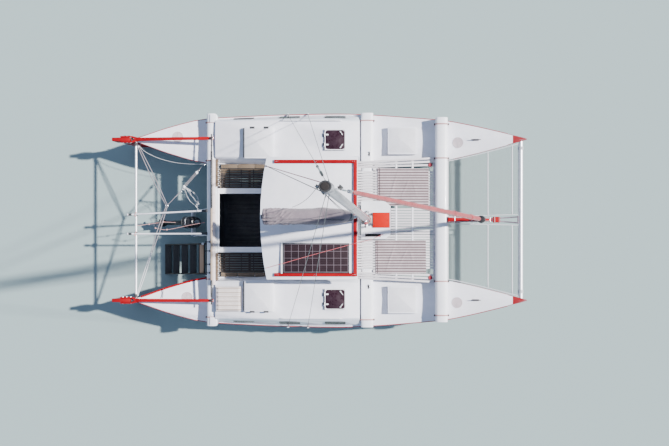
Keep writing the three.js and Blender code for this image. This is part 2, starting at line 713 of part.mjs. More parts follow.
function buildBowGear() {
  const { from, to, halfWidth, bottom, top } = SPAR;
  const spar = loft([
    [[from, -halfWidth, bottom], [from, halfWidth, bottom], [from, halfWidth, top], [from, -halfWidth, top]],
    [[to, -40, bottom + 20], [to, 40, bottom + 20], [to, 40, top - 20], [to, -40, top - 20]],
  ]);
  add("bow_spar", spar, "red");
  const tipX = BOW_TUBE.x - BOW_TUBE.radius - 2;
  const midZ = (bottom + top) / 2;
  const legs = [-1, 1].map((s) =>
    rod([to + 10, s * 22, midZ], [tipX - 12, s * FORK.spread, BOW_TUBE.z], FORK.radius, 10),
  );
  const root = box(to + GAP, to + 60, -42, 42, bottom + 26, top - 26);
  const foot = box(tipX - 30, tipX, -FORK.spread - 22, FORK.spread + 22, BOW_TUBE.z - 20, BOW_TUBE.z + 20);
  add("spar_fork", join(root, foot, ...legs), "steel");
  for (const [side, word] of [[PORT, "port"], [STARBOARD, "starboard"]]) {
    const aftRow = stationAt(HULL_LINES, NET.aft);
    const frontRow = stationAt(HULL_LINES, NET.front);
    const outerAft = HULL_CENTRE_Y - aftRow.deck - NET.edge;
    const outerFront = HULL_CENTRE_Y - frontRow.deck - NET.edge;
    const rings = [
      [NET.aft, NET.inner, outerAft, NET.aftZ],
      [NET.front, NET.inner + 40, outerFront, NET.frontZ],
    ].map(([x, inner, outer, z]) => [
      [x, side * inner, z - NET.thick],
      [x, side * outer, z - NET.thick],
      [x, side * outer, z],
      [x, side * inner, z],
    ]);
    add(`${word}_bow_net`, loft(rings), "net");
  }
}

// Slatted decks and benches

function slat(x0, x1, yAft, yFront, top) {
  const w = SLAT.width;
  return plate([[x0, yAft], [x1, yFront], [x1, yFront + w], [x0, yAft + w]], top - SLAT.thick, top);
}

function slatDeck(edges, x0, x1, top, bearerXs, flared = []) {
  const slats = flared.map(({ aft, front }) => slat(x0, x1, aft, front, top));
  const pitch = edges.pitch ?? SLAT.pitch;
  const count = Math.floor((edges.outer - edges.inner - SLAT.width) / pitch) + 1;
  for (let i = 0; i < count; i++) {
    const y = edges.inner + i * pitch;
    slats.push(slat(x0, x1, y, y, top));
  }
  const low = top - SLAT.thick - BEARER.depth;
  const halfB = BEARER.width / 2;
  const bearers = bearerXs.map((x) => {
    const last = flared[flared.length - 1];
    const outer = last ? between(last.aft, last.front, (x - x0) / (x1 - x0)) + SLAT.width : edges.outer;
    return box(x - halfB, x + halfB, edges.inner, outer, low, top - SLAT.thick + 2);
  });
  return join(...slats, ...bearers);
}

function mirrorY(manifold) {
  return manifold.mirror([0, 1, 0]);
}

function buildDecks() {
  const bench = slatDeck(BENCH, BENCH.from, BENCH.to, BENCH.top, BENCH_BEARER_XS);
  add("port_bench_slats", bench, "benchWood");
  add("starboard_bench_slats", mirrorY(bench), "benchWood");
  const side = slatDeck(SIDE_SLATS, DECK.aft, DECK.front, DECK.top, DECK_BEARER_XS, FLARED_SLATS);
  add("port_deck_slats", side, "slatWood");
  add("starboard_deck_slats", mirrorY(side), "slatWood");
  const centreEdges = { inner: -CENTRE_SLATS.half, outer: CENTRE_SLATS.half };
  const middle = slatDeck(centreEdges, CENTRE_SLATS.from, DECK.front, DECK.top, DECK_BEARER_XS.slice(1));
  add("centre_deck_slats", middle, "slatWood");
}

// Cockpit tub, roof and what stands between them

function tubRing(x, grow) {
  const outer = TUB.outer - grow;
  const foot = TUB.foot - grow;
  return [
    [x, -foot, TUB.keel + grow],
    [x, foot, TUB.keel + grow],
    [x, outer, TUB.keel + 260],
    [x, outer, TUB.rim],
    [x, -outer, TUB.rim],
    [x, -outer, TUB.keel + 260],
  ];
}

function tubSolid() {
  const shell = loft([tubRing(TUB.aft, 0), tubRing(TUB.front, 0)]);
  const wellFoot = TUB.foot - 70;
  const well = [TUB.aft + 46, TUB.front - 40].map((x) => [
    [x, -wellFoot, TUB.floor],
    [x, wellFoot, TUB.floor],
    [x, TUB.inner, TUB.keel + 240],
    [x, TUB.inner, TUB.rim + 10],
    [x, -TUB.inner, TUB.rim + 10],
    [x, -TUB.inner, TUB.keel + 240],
  ]);
  return cut(shell, loft(well));
}

function roofRise(y) {
  const share = y / ROOF.half;
  return ROOF.z + ROOF.crown * (1 - share * share);
}

function roofSolid() {
  const steps = 8;
  const rings = [];
  for (let i = 0; i <= steps; i++) {
    const y = between(-ROOF.half, ROOF.half, i / steps);
    const share = Math.abs(y) / ROOF.half;
    const aft = between(ROOF.aftMiddle, ROOF.aftCorner, share * share);
    const z = roofRise(y);
    rings.push([
      [aft, y, z - ROOF.thick],
      [ROOF.front, y, z - ROOF.thick],
      [ROOF.front, y, z],
      [aft, y, z],
    ]);
  }
  return loft(rings);
}

// The roof's own solid moved by a hair, which trims what stands on it or reaches up to it.
function roofTool(shift) {
  return roofSolid().translate([0, 0, shift]);
}

function sideRail({ from, to, y }) {
  const half = RAIL.width / 2;
  const top = roofRise(Math.abs(y) + half) + RAIL.rise;
  const bar = box(from, to, y - half, y + half, top - RAIL.height, top);
  const feet = [from + 60, (from + to) / 2, to - 60].map((x) =>
    box(x - 45, x + 45, y - half * 0.6, y + half * 0.6, top - RAIL.rise - 10, top - 4),
  );
  return join(bar, ...feet);
}

function railsSolid() {
  const half = RAIL.width / 2;
  const reach = PORT_RAIL.y + half - 2;
  const steps = 10;
  const rings = [];
  for (let i = 0; i <= steps; i++) {
    const y = between(-reach, reach, i / steps);
    const top = roofRise(y) + RAIL.rise - 1;
    rings.push([
      [FRONT_RAIL_X - half, y, top - RAIL.height],
      [FRONT_RAIL_X + half, y, top - RAIL.height],
      [FRONT_RAIL_X + half, y, top],
      [FRONT_RAIL_X - half, y, top],
    ]);
  }
  const feet = [-0.6, 0, 0.6].map((share) => {
    const y = share * reach;
    const z = roofRise(y);
    return box(FRONT_RAIL_X - 24, FRONT_RAIL_X + 24, y - 50, y + 50, z - 12, z + RAIL.rise - RAIL.height + 6);
  });
  return cut(join(loft(rings), ...feet, sideRail(PORT_RAIL), sideRail(STARBOARD_RAIL)), roofTool(GAP));
}

function frontWallSolid() {
  const half = FRONT_WALL.half;
  const x0 = FRONT_WALL.x;
  const x1 = x0 + FRONT_WALL.thick;
  const wall = box(x0, x1, -half, half, FRONT_WALL.bottom, roofRise(0) - 10);
  const above = box(x0 - 5, x1 + 5, -half - 5, half + 5, roofRise(half) - ROOF.thick + 4, roofRise(0) + 50);
  const windows = [-1, 0, 1].map((i) => {
    const y = i * WALL_WINDOWS.pitch;
    const halfW = WALL_WINDOWS.width / 2;
    const halfH = WALL_WINDOWS.height / 2;
    const z = WALL_WINDOWS.centreZ;
    return box(x0 - 10, x1 + 10, y - halfW, y + halfW, z - halfH, z + halfH);
  });
  const legs = [-1, 1].map((s) => {
    const y = s * (BENCH.inner + 40);
    return box(x0, x1, y - 30, y + 30, BENCH.top + GAP, FRONT_WALL.bottom + 10);
  });
  return cut(join(wall, ...legs), ...windows, join(roofTool(-GAP), cut(above, underRoof())));
}

// The space under the roof's lower face.
function underRoof() {
  const steps = 8;
  const rings = [];
  for (let i = 0; i <= steps; i++) {
    const y = between(-ROOF.half, ROOF.half, i / steps);
    const top = roofRise(y) - ROOF.thick / 2;
    rings.push([[ROOF.aftMiddle, y, 1000], [ROOF.front, y, 1000], [ROOF.front, y, top], [ROOF.aftMiddle, y, top]]);
  }
  return loft(rings);
}

function buildCockpit() {
  add("cockpit_tub", tubSolid(), "deckWhite");
  add("hardtop_roof", roofSolid(), "deckWhite");
  add("pod_front_wall", frontWallSolid(), "deckWhite");
  for (const [side, word] of [[PORT, "port"], [STARBOARD, "starboard"]]) {
    const { x, y, radius } = ROOF_POSTS;
    const top = roofRise(y) - ROOF.thick;
    const post = rod([x, side * y, BENCH.top + 8], [x, side * y, top - 8], radius, 12);
    const foot = box(x - 50, x + 50, side * y - 40, side * y + 40, BENCH.top + GAP, BENCH.top + 10);
    const cap = box(x - 50, x + 50, side * y - 40, side * y + 40, top - 16, top + 12);
    add(`${word}_roof_post`, cut(join(post, foot, cap), roofTool(-GAP)), "aluminium");
  }
  add("roof_rails", railsSolid(), "red");
  const panel = box(PANEL.aft, PANEL.front, PANEL.outer, PANEL.inner, PANEL.z, PANEL.z + PANEL.thick);
  const panelFeet = [PANEL.aft + 120, PANEL.front - 120].flatMap((x) =>
    [PANEL.inner - 80, PANEL.outer + 80].map((y) =>
      box(x - 30, x + 30, y - 30, y + 30, roofRise(y) - 14, PANEL.z + 4),
    ),
  );
  add("solar_panel", cut(join(panel, ...panelFeet), roofTool(GAP)), "solar");
}

// Mast, boom, sails and rigging

function mastX(z) {
  return between(MAST.footX, MAST.headX, (z - MAST.footZ) / (MAST.headZ - MAST.footZ));
}

function mastRing(z, radius) {
  const ring = [];
  for (let i = 0; i < MAST_SIDES; i++) {
    const angle = (i / MAST_SIDES) * 2 * Math.PI;
    ring.push([mastX(z) + radius * MAST.chord * Math.cos(angle), radius * Math.sin(angle), z]);
  }
  return ring;
}

function buildMast() {
  const tube = loft([mastRing(MAST.footZ, MAST.radius), mastRing(MAST.headZ, MAST.radius)]);
  const hounds = loft([mastRing(HOUNDS_Z, MAST.radius + 22), mastRing(HOUNDS_Z + 60, MAST.radius + 22)]);
  const cap = loft([mastRing(MAST.headZ - 30, MAST.radius + 14), mastRing(MAST.headZ + 26, MAST.radius + 14)]);
  const goose = box(BOOM.tackX + 32, mastX(BOOM.z) + 10, -26, 26, BOOM.z - 60, BOOM.z + 60);
  add("mast", join(tube, hounds, cap, goose), "aluminium");

  const headX = mastX(HOUNDS_Z);
  for (const [side, word] of [[PORT, "port"], [STARBOARD, "starboard"]]) {
    SHROUD_FEET_X.forEach((footX, i) => {
      const deck = stationAt(HULL_LINES, footX).deck;
      const footY = side * (HULL_CENTRE_Y + deck + CHAINPLATE.wireOut);
      const headY = side * (MAST.radius + 30);
      const top = [headX - 20 + i * 46, headY, HOUNDS_Z - 8];
      const foot = [footX, footY, SHROUD_FOOT_Z];
      const wire = rod(foot, top, SHROUD_RADIUS, 8);
      const low = new THREE.Vector3(...foot);
      const up = new THREE.Vector3(...top).sub(low).normalize();
      const screwTop = low.clone().addScaledVector(up, 210);
      const screw = rod(foot, screwTop.toArray(), 13, 10);
      const eye = box(footX - 11, footX + 11, footY - 9, footY + 9, CHAINPLATE.top + GAP, SHROUD_FOOT_Z + 14);
      const place = i === 0 ? "aft" : "forward";
      add(`${word}_${place}_shroud`, join(wire, screw, eye), "steel");
    });
  }
}

function stayPoint(z) {
  const share = (z - STAY_FOOT.z) / (STAY_HEAD_Z - STAY_FOOT.z);
  const headX = mastX(STAY_HEAD_Z) + MAST.radius * MAST.chord + 26;
  return [between(STAY_FOOT.x, headX, share), 0, z];
}

function buildHeadsail() {
  const sail = rod(stayPoint(SAIL_FOOT_Z), stayPoint(SAIL_HEAD_Z), SAIL_RADIUS, 14, SAIL_RADIUS * 0.72);
  const lowTaper = rod(stayPoint(SAIL_FOOT_Z - 110), stayPoint(SAIL_FOOT_Z + 2), 26, 14, SAIL_RADIUS);
  const topTaper = rod(stayPoint(SAIL_HEAD_Z - 2), stayPoint(SAIL_HEAD_Z + 130), SAIL_RADIUS * 0.72, 14, 14);
  add("furled_jib", join(sail, lowTaper, topTaper), "sail");
  const drum = join(
    rod(stayPoint(STAY_FOOT.z - 10), stayPoint(STAY_FOOT.z + 8), 88, 20),
    rod(stayPoint(STAY_FOOT.z), stayPoint(STAY_FOOT.z + 72), 46, 16),
    rod(stayPoint(STAY_FOOT.z + 64), stayPoint(STAY_FOOT.z + 82), 84, 20),
    rod(stayPoint(STAY_FOOT.z + 76), stayPoint(SAIL_FOOT_Z - 111), 20, 12),
    rod(stayPoint(SPAR.top + 8), stayPoint(STAY_FOOT.z), 14, 10),
    box(STAY_FOOT.x - 40, STAY_FOOT.x + 100, -34, 34, SPAR.top - 12, SPAR.top + 14),
  );
  const sparTop = box(SPAR.from, SPAR.to, -SPAR.halfWidth - 5, SPAR.halfWidth + 5, SPAR.bottom, SPAR.top + GAP);
  add("furler_drum", cut(drum, sparTop), "black");
  const headZ = STAY_HEAD_Z - 10;
  const tail = join(
    rod(stayPoint(SAIL_HEAD_Z + 131), stayPoint(headZ), 7, 8),
    rod(stayPoint(SAIL_HEAD_Z + 190), stayPoint(SAIL_HEAD_Z + 290), 30, 12),
  );
  add("forestay_head", tail, "steel");
}

function buildBoom() {
  const { tackX, endX, z, radius } = BOOM;
  const boom = join(
    rod([tackX - 30, 0, z], [endX, 0, z], radius, 14),
    rod([endX - 30, 0, z], [endX + 10, 0, z], radius + 8, 14),
    box(tackX - 60, tackX + 12, -20, 20, z - 34, z + 34),
  );
  add("boom", boom, "aluminium");
  const rings = COVER_SECTIONS.map(({ x, half, bottom, top }) => {
    const tall = top - bottom;
    return [
      [x, -half * 0.55, bottom],
      [x, half * 0.55, bottom],
      [x, half, bottom + tall * 0.38],
      [x, half * 0.82, bottom + tall * 0.74],
      [x, half * 0.3, top],
      [x, -half * 0.3, top],
      [x, -half * 0.82, bottom + tall * 0.74],
      [x, -half, bottom + tall * 0.38],
    ];
  });
  add("sail_cover", loft(rings), "cover");
}

// Mast foot locker with its lid, the cushion

function buildLocker() {
  const { aft, front, port, starboard, top, wall } = LOCKER;
  const low = DECK.top + GAP;
  const outline = (grow) => [
    [aft - grow, starboard - grow],
    [front - 130, starboard - grow],
    [front + grow, starboard + 120],
    [front + grow, port - 120],
    [front - 130, port + grow],
    [aft - grow, port + grow],
  ];
  const lid = LOCKER_LID;
  const halfL = lid.length / 2;
  const halfW = lid.width / 2;
  const shell = plate(outline(0), low, top);
  const room = box(lid.x - halfL + 24, front - wall - 4, starboard + 130, port - 130, low + wall, top - wall);
  const hole = box(lid.x - halfL + 24, lid.x + halfL - 24, lid.y - halfW + 24, lid.y + halfW - 24, low + wall, top + 5);
  const step = box(lid.x - halfL - 4, lid.x + halfL + 4, lid.y - halfW - 4, lid.y + halfW + 4, top - 6, top + 5);
  const slot = box(835, 1190, starboard + 60, starboard + 120, top - 60, top + 5);
  add("mast_foot_locker", cut(shell, room, hole, step, slot), "deckWhite");
  const panel = box(lid.x - halfL, lid.x + halfL, lid.y - halfW, lid.y + halfW, top + GAP - 6, top + lid.thick);
  add("locker_lid", panel, "red");
}

function buildCushion() {
  const { x, y, length, width, thick, low } = CUSHION;
  const halfL = length / 2;
  const halfW = width / 2;
  const outline = (grow) => [
    [x - halfL - grow, y - halfW - grow],
    [x + halfL + grow, y - halfW - grow],
    [x + halfL + grow, y + halfW + grow],
    [x - halfL - grow, y + halfW + grow],
  ];
  const at = (grow, z) => outline(grow).map(([px, py]) => [px, py, z]);
  add("ribbed_cushion", loft([at(-14, low), at(0, low + 16), at(0, low + thick - 16), at(-14, low + thick)]), "cushion");
}

// Outboard motor on its sled, and the boarding ladder

function buildMotor() {
  const { x, y, z } = MOTOR_PIVOT;
  const beamUnder = AFT_BEAM.bottom - GAP;
  const arms = [-1, 1].map((s) => {
    const armY = y + s * SLED.armY;
    const half = SLED.armWidth / 2;
    return prismAlongY(
      [
        [AFT_BEAM.x - 60, beamUnder],
        [AFT_BEAM.x + 60, beamUnder],
        [AFT_BEAM.x + 40, beamUnder - 60],
        [BOARD_X + 40, SLED.boardBottom + 60],
        [BOARD_X - 30, SLED.boardBottom + 60],
        [BOARD_X - 30, SLED.boardBottom + 190],
      ],
      armY - half,
      armY + half,
    );
  });
  const span = SLED.armY;
  const board = box(BOARD_X - SLED.board, BOARD_X, y - span, y + span, SLED.boardBottom, SLED.boardTop);
  add("motor_sled", join(board, ...arms), "deckWhite");

  const tilt = new THREE.Group();
  tilt.position.set(x, y, z);
  tilt.rotation.y = MOTOR_TILT;
  pieces.add(tilt);

  const ears = [-1, 1].map((s) => {
    const earY = y + s * 81;
    return box(x - 26, BOARD_X - SLED.board - GAP, earY - 11, earY + 11, z - 130, z + 24);
  });
  const saddle = box(BOARD_X - SLED.board - 12, BOARD_X + 26, y - 92, y + 92, SLED.boardTop + GAP, SLED.boardTop + 24);
  const jaw = box(BOARD_X + GAP, BOARD_X + 26, y - 92, y + 92, SLED.boardTop - 90, SLED.boardTop + 24);
  add("motor_clamp", join(saddle, jaw, ...ears), "black");

  const pin = rod([0, -64, 0], [0, 64, 0], 14, 12);
  const yoke = box(-SWIVEL_BACK, 12, -48, 48, -40, 40);
  const swivel = rod([-SWIVEL_BACK, 0, -240], [-SWIVEL_BACK, 0, 70], 40, 16);
  add("motor_tilt_bracket", join(pin, yoke, swivel), "black", tilt);

  const legX = -SWIVEL_BACK;
  const cowl = loft(
    [
      { z: 82, front: 95, back: 250, half: 112 },
      { z: 140, front: 120, back: 285, half: 134 },
      { z: 330, front: 112, back: 275, half: 130 },
      { z: 405, front: 80, back: 225, half: 96 },
      { z: 425, front: 40, back: 160, half: 60 },
    ].map(({ z: h, front, back, half }) => [
      [legX + front, -half * 0.55, h],
      [legX + front, half * 0.55, h],
      [legX + front * 0.3, half, h],
      [legX - back * 0.6, half, h],
      [legX - back, half * 0.5, h],
      [legX - back, -half * 0.5, h],
      [legX - back * 0.6, -half, h],
      [legX + front * 0.3, -half, h],
    ]),
  );
  const leg = loft(
    [
      { z: -880, front: 30, back: 70, half: 8 },
      { z: -780, front: 40, back: 120, half: 22 },
      { z: -660, front: 46, back: 130, half: 34 },
      { z: -252, front: 60, back: 130, half: 52 },
    ].map(({ z: h, front, back, half }) => [
      [legX + front, 0, h],
      [legX + front * 0.3, half, h],
      [legX - back * 0.5, half, h],
      [legX - back, 0, h],
      [legX - back * 0.5, -half, h],
      [legX + front * 0.3, -half, h],
    ]),
  );
  const plateZ = -610;
  const cavitation = plate(
    [[legX + 60, -20], [legX + 60, 20], [legX - 60, 85], [legX - 250, 85], [legX - 250, -85], [legX - 60, -85]],
    plateZ - 12,
    plateZ,
  );
  const gearcase = rod([legX + 90, 0, SHAFT_Z], [legX - 150, 0, SHAFT_Z], 26, 14, 46);
  const back = box(legX - 130, legX - 48, -50, 50, -260, 90);
  add("outboard_motor", join(cowl, leg, cavitation, gearcase, back), "black", tilt);

  const hubX = legX - 158;
  const hub = rod([hubX, 0, SHAFT_Z], [hubX - 90, 0, SHAFT_Z], 34, 14, 24);
  const blades = [0, 1, 2].map((i) => {
    return plate(BLADE, -5, 5).transform(bladeMatrix(i * 120, hubX - 45, SHAFT_Z));
  });
  add("propeller", join(hub, ...blades), "aluminium", tilt);
}

// Places a propeller blade: pitched about its own length, then turned about the shaft along X.
function bladeMatrix(degrees, x, z) {
  const place = new THREE.Matrix4().makeTranslation(x, 0, z);
  const round = new THREE.Matrix4().makeRotationX(degrees * DEGREE);
  const pitch = new THREE.Matrix4().makeRotationY(BLADE_PITCH * DEGREE);
  return place.multiply(round).multiply(pitch).toArray();
}

function buildLadder() {
  const { hinge, foot, port, starboard, rail, depth, treadWidth, treadThick } = LADDER;
  const run = new THREE.Vector3(foot.x - hinge.x, 0, foot.z - hinge.z);
  const length = run.length();
  run.normalize();
  const up = new THREE.Vector3(-run.z, 0, run.x);
  if (up.z < 0) up.negate();
  const at = (along, across) => [
    hinge.x + run.x * along + up.x * across,
    hinge.z + run.z * along + up.z * across,
  ];
  const half = depth / 2;
  const railOutline = [at(-20, -half), at(length, -half), at(length, half), at(-20, half)];
  const rails = [
    prismAlongY(railOutline, starboard, starboard + rail),
    prismAlongY(railOutline, port - rail, port),
  ];
  const treads = [];
  for (let i = 0; i < LADDER_TREADS; i++) {
    const [cx, cz] = at(LADDER_FIRST + i * LADDER_PITCH, 0);
    treads.push(
      box(cx - treadWidth / 2, cx + treadWidth / 2, starboard + 2, port - 2, cz - treadThick / 2, cz + treadThick / 2),
    );
  }
  const pin = rod([hinge.x, starboard - 14, hinge.z], [hinge.x, port + 14, hinge.z], 12, 12);
  add("boarding_ladder", join(...rails, ...treads, pin), "tread");
}

buildHulls();
buildSteering();
buildBeams();
buildBowGear();
buildDecks();
buildCockpit();
buildMast();
buildHeadsail();
buildBoom();
buildLocker();
buildCushion();
buildMotor();
buildLadder();

export default pieces;
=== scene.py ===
"""A sailing catamaran of the lashed-beam kind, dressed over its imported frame.

Metres, +X towards the bows, +Y to port, +Z up, z = 0 at the waterline. Each class builds one sub-assembly
and dresses it; main() builds them in order.
"""

import json
import logging
import math
from collections.abc import Callable, Iterable, Sequence
from dataclasses import dataclass
from enum import Enum

import bmesh
import bpy
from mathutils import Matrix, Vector, noise


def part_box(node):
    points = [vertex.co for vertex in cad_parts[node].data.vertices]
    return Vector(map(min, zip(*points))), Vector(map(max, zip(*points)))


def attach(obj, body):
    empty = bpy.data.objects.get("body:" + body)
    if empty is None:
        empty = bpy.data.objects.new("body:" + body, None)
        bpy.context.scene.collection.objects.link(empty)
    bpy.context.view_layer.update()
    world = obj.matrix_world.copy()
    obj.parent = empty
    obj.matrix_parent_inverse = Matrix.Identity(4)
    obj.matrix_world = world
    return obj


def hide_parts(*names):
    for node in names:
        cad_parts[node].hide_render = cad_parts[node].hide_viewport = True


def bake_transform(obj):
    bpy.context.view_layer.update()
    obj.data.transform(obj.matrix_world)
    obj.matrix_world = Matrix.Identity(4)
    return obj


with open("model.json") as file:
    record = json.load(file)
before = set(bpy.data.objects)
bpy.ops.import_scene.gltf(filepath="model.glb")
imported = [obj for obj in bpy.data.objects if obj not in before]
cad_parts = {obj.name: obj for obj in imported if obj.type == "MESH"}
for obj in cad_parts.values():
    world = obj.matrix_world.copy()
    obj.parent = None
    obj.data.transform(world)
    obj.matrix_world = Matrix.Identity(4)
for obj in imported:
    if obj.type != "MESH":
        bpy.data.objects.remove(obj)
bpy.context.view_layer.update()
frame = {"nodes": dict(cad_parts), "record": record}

log = logging.getLogger("catamaran")
Point = tuple[float, float, float]
Colour = tuple[float, float, float]

# Middles of the hulls (y), of the bow and stern tubes (x, z) and of the stern poles (z).
HULL_CENTRE = 1.865
BOW_TUBE = (4.440, 1.230)
STERN_TUBE = (-4.500, 1.174)
POLE_Z = 1.224
# Top of the mast's locker (z), and the bow spar's aft end (x) and length.
LOCKER_TOP = 1.2855
SPAR_AFT = 2.742
SPAR_LENGTH = 1.018
# Deck edge: x, half breadth from the hull's centre plane, height.
SHEER_LINE = (
    (-4.570, 0.020, 1.150), (-4.460, 0.055, 1.140), (-4.370, 0.085, 1.132), (-4.290, 0.112, 1.124),
    (-3.760, 0.300, 1.072), (-2.900, 0.515, 0.985), (-2.000, 0.575, 0.945), (-1.000, 0.620, 0.930),
    (0.200, 0.640, 0.930), (1.000, 0.610, 0.942), (1.800, 0.550, 0.978), (2.670, 0.465, 1.055),
    (3.300, 0.340, 1.130), (3.900, 0.192, 1.212), (4.250, 0.100, 1.260), (4.570, 0.016, 1.300),
)
DECK_CROWN = 0.025


class Side(Enum):
    """The two sides of the boat; the value is the sign of Y."""

    PORT = 1
    STARBOARD = -1

    @property
    def word(self) -> str:
        """The side's name as node names spell it."""
        return self.name.lower()

    @property
    def centre(self) -> float:
        """Y of this side's hull centre plane."""
        return self.value * HULL_CENTRE


SIDES = (Side.PORT, Side.STARBOARD)


# Measuring


def blend_rows(table: Sequence[Sequence[float]], x: float) -> list[float]:
    """Works out a table's columns at x between its two nearest rows.

    Args:
        table: Rows whose first column is x, rising.
        x: Where to read it.

    Returns:
        The other columns at x.
    """
    for low, high in zip(table, table[1:]):
        if x <= high[0]:
            break
    share = min(1.0, max(0.0, (x - low[0]) / (high[0] - low[0])))
    return [a + (b - a) * share for a, b in zip(low[1:], high[1:])]


def deck_height(x: float, across: float) -> float:
    """Height of a hull's crowned deck.

    Args:
        x: Station.
        across: Distance from the hull's centre plane.

    Returns:
        The deck's z there.
    """
    half, sheer = blend_rows(SHEER_LINE, x)
    crown = DECK_CROWN * min(1.0, half / 0.4)
    return sheer + crown * max(0.0, 1 - abs(across) / half)


def roof_height(y: float) -> float:
    """Height of the hard roof's crowned top at y."""
    return 1.920 + 0.045 * (1 - (y / 1.380) ** 2)


def mast_x(z: float) -> float:
    """X of the raked mast's middle line at height z."""
    return 0.870 - 0.290 * (z - 1.290) / 8.460


def spline(a: Vector, b: Vector, c: Vector, d: Vector, t: float) -> Vector:
    """A point on a smooth curve, a share t of the way from b to c; a and d are their outer neighbours."""
    bend = (2 * a - 5 * b + 4 * c - d) * t * t
    return 0.5 * (2 * b + (c - a) * t + bend + (3 * b - a - 3 * c + d) * t ** 3)


def smooth_path(points: Sequence[Point], per: int = 6) -> list[Point]:
    """Runs a Catmull-Rom curve through points.

    Args:
        points: The points it passes.
        per: Steps between neighbours.

    Returns:
        The finer points.
    """
    knots = [Vector(p) for p in points]
    knots = [knots[0] * 2 - knots[1], *knots, knots[-1] * 2 - knots[-2]]
    made: list[Point] = []
    for a, b, c, d in zip(knots, knots[1:], knots[2:], knots[3:]):
        for step in range(per):
            t = step / per
            made.append(tuple(spline(a, b, c, d, t)))
    made.append(tuple(knots[-2]))
    return made


def hanging(start: Point, end: Point, sag: float, steps: int = 12) -> list[Point]:
    """Points of a line that hangs between two points.

    Args:
        start: One end.
        end: The other end.
        sag: How far its middle hangs below the straight line.
        steps: How many stretches it has.

    Returns:
        The points from start to end.
    """
    a, b = Vector(start), Vector(end)
    line = []
    for step in range(steps + 1):
        t = step / steps
        point = a.lerp(b, t)
        point.z -= sag * 4 * t * (1 - t)
        line.append(tuple(point))
    return line


# Modelling


def pick(*objects: bpy.types.Object) -> None:
    """Selects only these objects and makes the first one active."""
    bpy.ops.object.select_all(action="DESELECT")
    for item in objects:
        item.select_set(True)
    bpy.context.view_layer.objects.active = objects[0]


def settle(name: str, smooth: float | None = 35.0) -> bpy.types.Object:
    """Names the active object and moves its place, turn and size into its mesh.

    Args:
        name: The piece's name.
        smooth: Angle in degrees under which edges shade smooth, or None for flat faces.

    Returns:
        The object, at the origin.
    """
    piece = bpy.context.view_layer.objects.active
    pick(piece)
    bpy.ops.object.transform_apply(location=True, rotation=True, scale=True)
    piece.name = name
    piece.data.name = name
    if smooth is not None:
        bpy.ops.object.shade_smooth_by_angle(angle=math.radians(smooth))
    return piece


def choose(piece: bpy.types.Object, test: Callable[[Vector, Vector], bool]) -> None:
    """Opens a piece in edit mode with the faces selected that pass a test.

    Args:
        piece: The piece.
        test: Takes a face's middle and its normal.
    """
    pick(piece)
    bpy.ops.object.mode_set(mode="EDIT")
    bpy.ops.mesh.select_mode(type="FACE")
    bpy.ops.mesh.select_all(action="DESELECT")
    mesh = bmesh.from_edit_mesh(piece.data)
    for face in mesh.faces:
        face.select_set(test(face.calc_center_median(), face.normal))
    bmesh.update_edit_mesh(piece.data)


def leave_edit() -> None:
    """Goes back to object mode."""
    bpy.ops.object.mode_set(mode="OBJECT")


def round_edges(piece: bpy.types.Object, width: float, segments: int = 2, angle: float = 40.0) -> None:
    """Rounds a piece's sharp edges with a bevel modifier and applies it.

    Args:
        piece: The piece.
        width: The bevel's width.
        segments: Its steps.
        angle: Edges sharper than this many degrees are rounded.
    """
    pick(piece)
    bevel = piece.modifiers.new("rounding", "BEVEL")
    bevel.width = width
    bevel.segments = segments
    bevel.limit_method = "ANGLE"
    bevel.angle_limit = math.radians(angle)
    bevel.harden_normals = False
    bpy.ops.object.modifier_apply(modifier=bevel.name)


def subdivide(piece: bpy.types.Object, levels: int) -> None:
    """Applies a subdivision surface of that many levels."""
    pick(piece)
    rule = piece.modifiers.new("smoothing", "SUBSURF")
    rule.levels = rule.render_levels = levels
    bpy.ops.object.modifier_apply(modifier=rule.name)


def thicken(piece: bpy.types.Object, thickness: float, offset: float = 0.0) -> None:
    """Gives a surface its thickness with a solidify modifier and applies it."""
    pick(piece)
    wall = piece.modifiers.new("wall", "SOLIDIFY")
    wall.thickness = thickness
    wall.offset = offset
    bpy.ops.object.modifier_apply(modifier=wall.name)


def block(name: str, low: Point, high: Point, bevel: float = 0.004, segments: int = 2) -> bpy.types.Object:
    """Makes a rectangular piece with rounded edges.

    Args:
        name: The piece's name.
        low: Its lowest corner.
        high: Its highest corner.
        bevel: How far its edges are rounded.
        segments: Steps round an edge.

    Returns:
        The piece.
    """
    bpy.ops.object.select_all(action="DESELECT")
    middle = [(a + b) / 2 for a, b in zip(low, high)]
    size = [b - a for a, b in zip(low, high)]
    bpy.ops.mesh.primitive_cube_add(size=1.0, location=middle, scale=size)
    bpy.ops.object.transform_apply(location=True, rotation=True, scale=True)
    if bevel > 0:
        bpy.ops.object.mode_set(mode="EDIT")
        bpy.ops.mesh.select_all(action="SELECT")
        bpy.ops.mesh.bevel(offset=min(bevel, min(size) * 0.45), segments=segments, affect="EDGES")
        leave_edit()
    return settle(name)


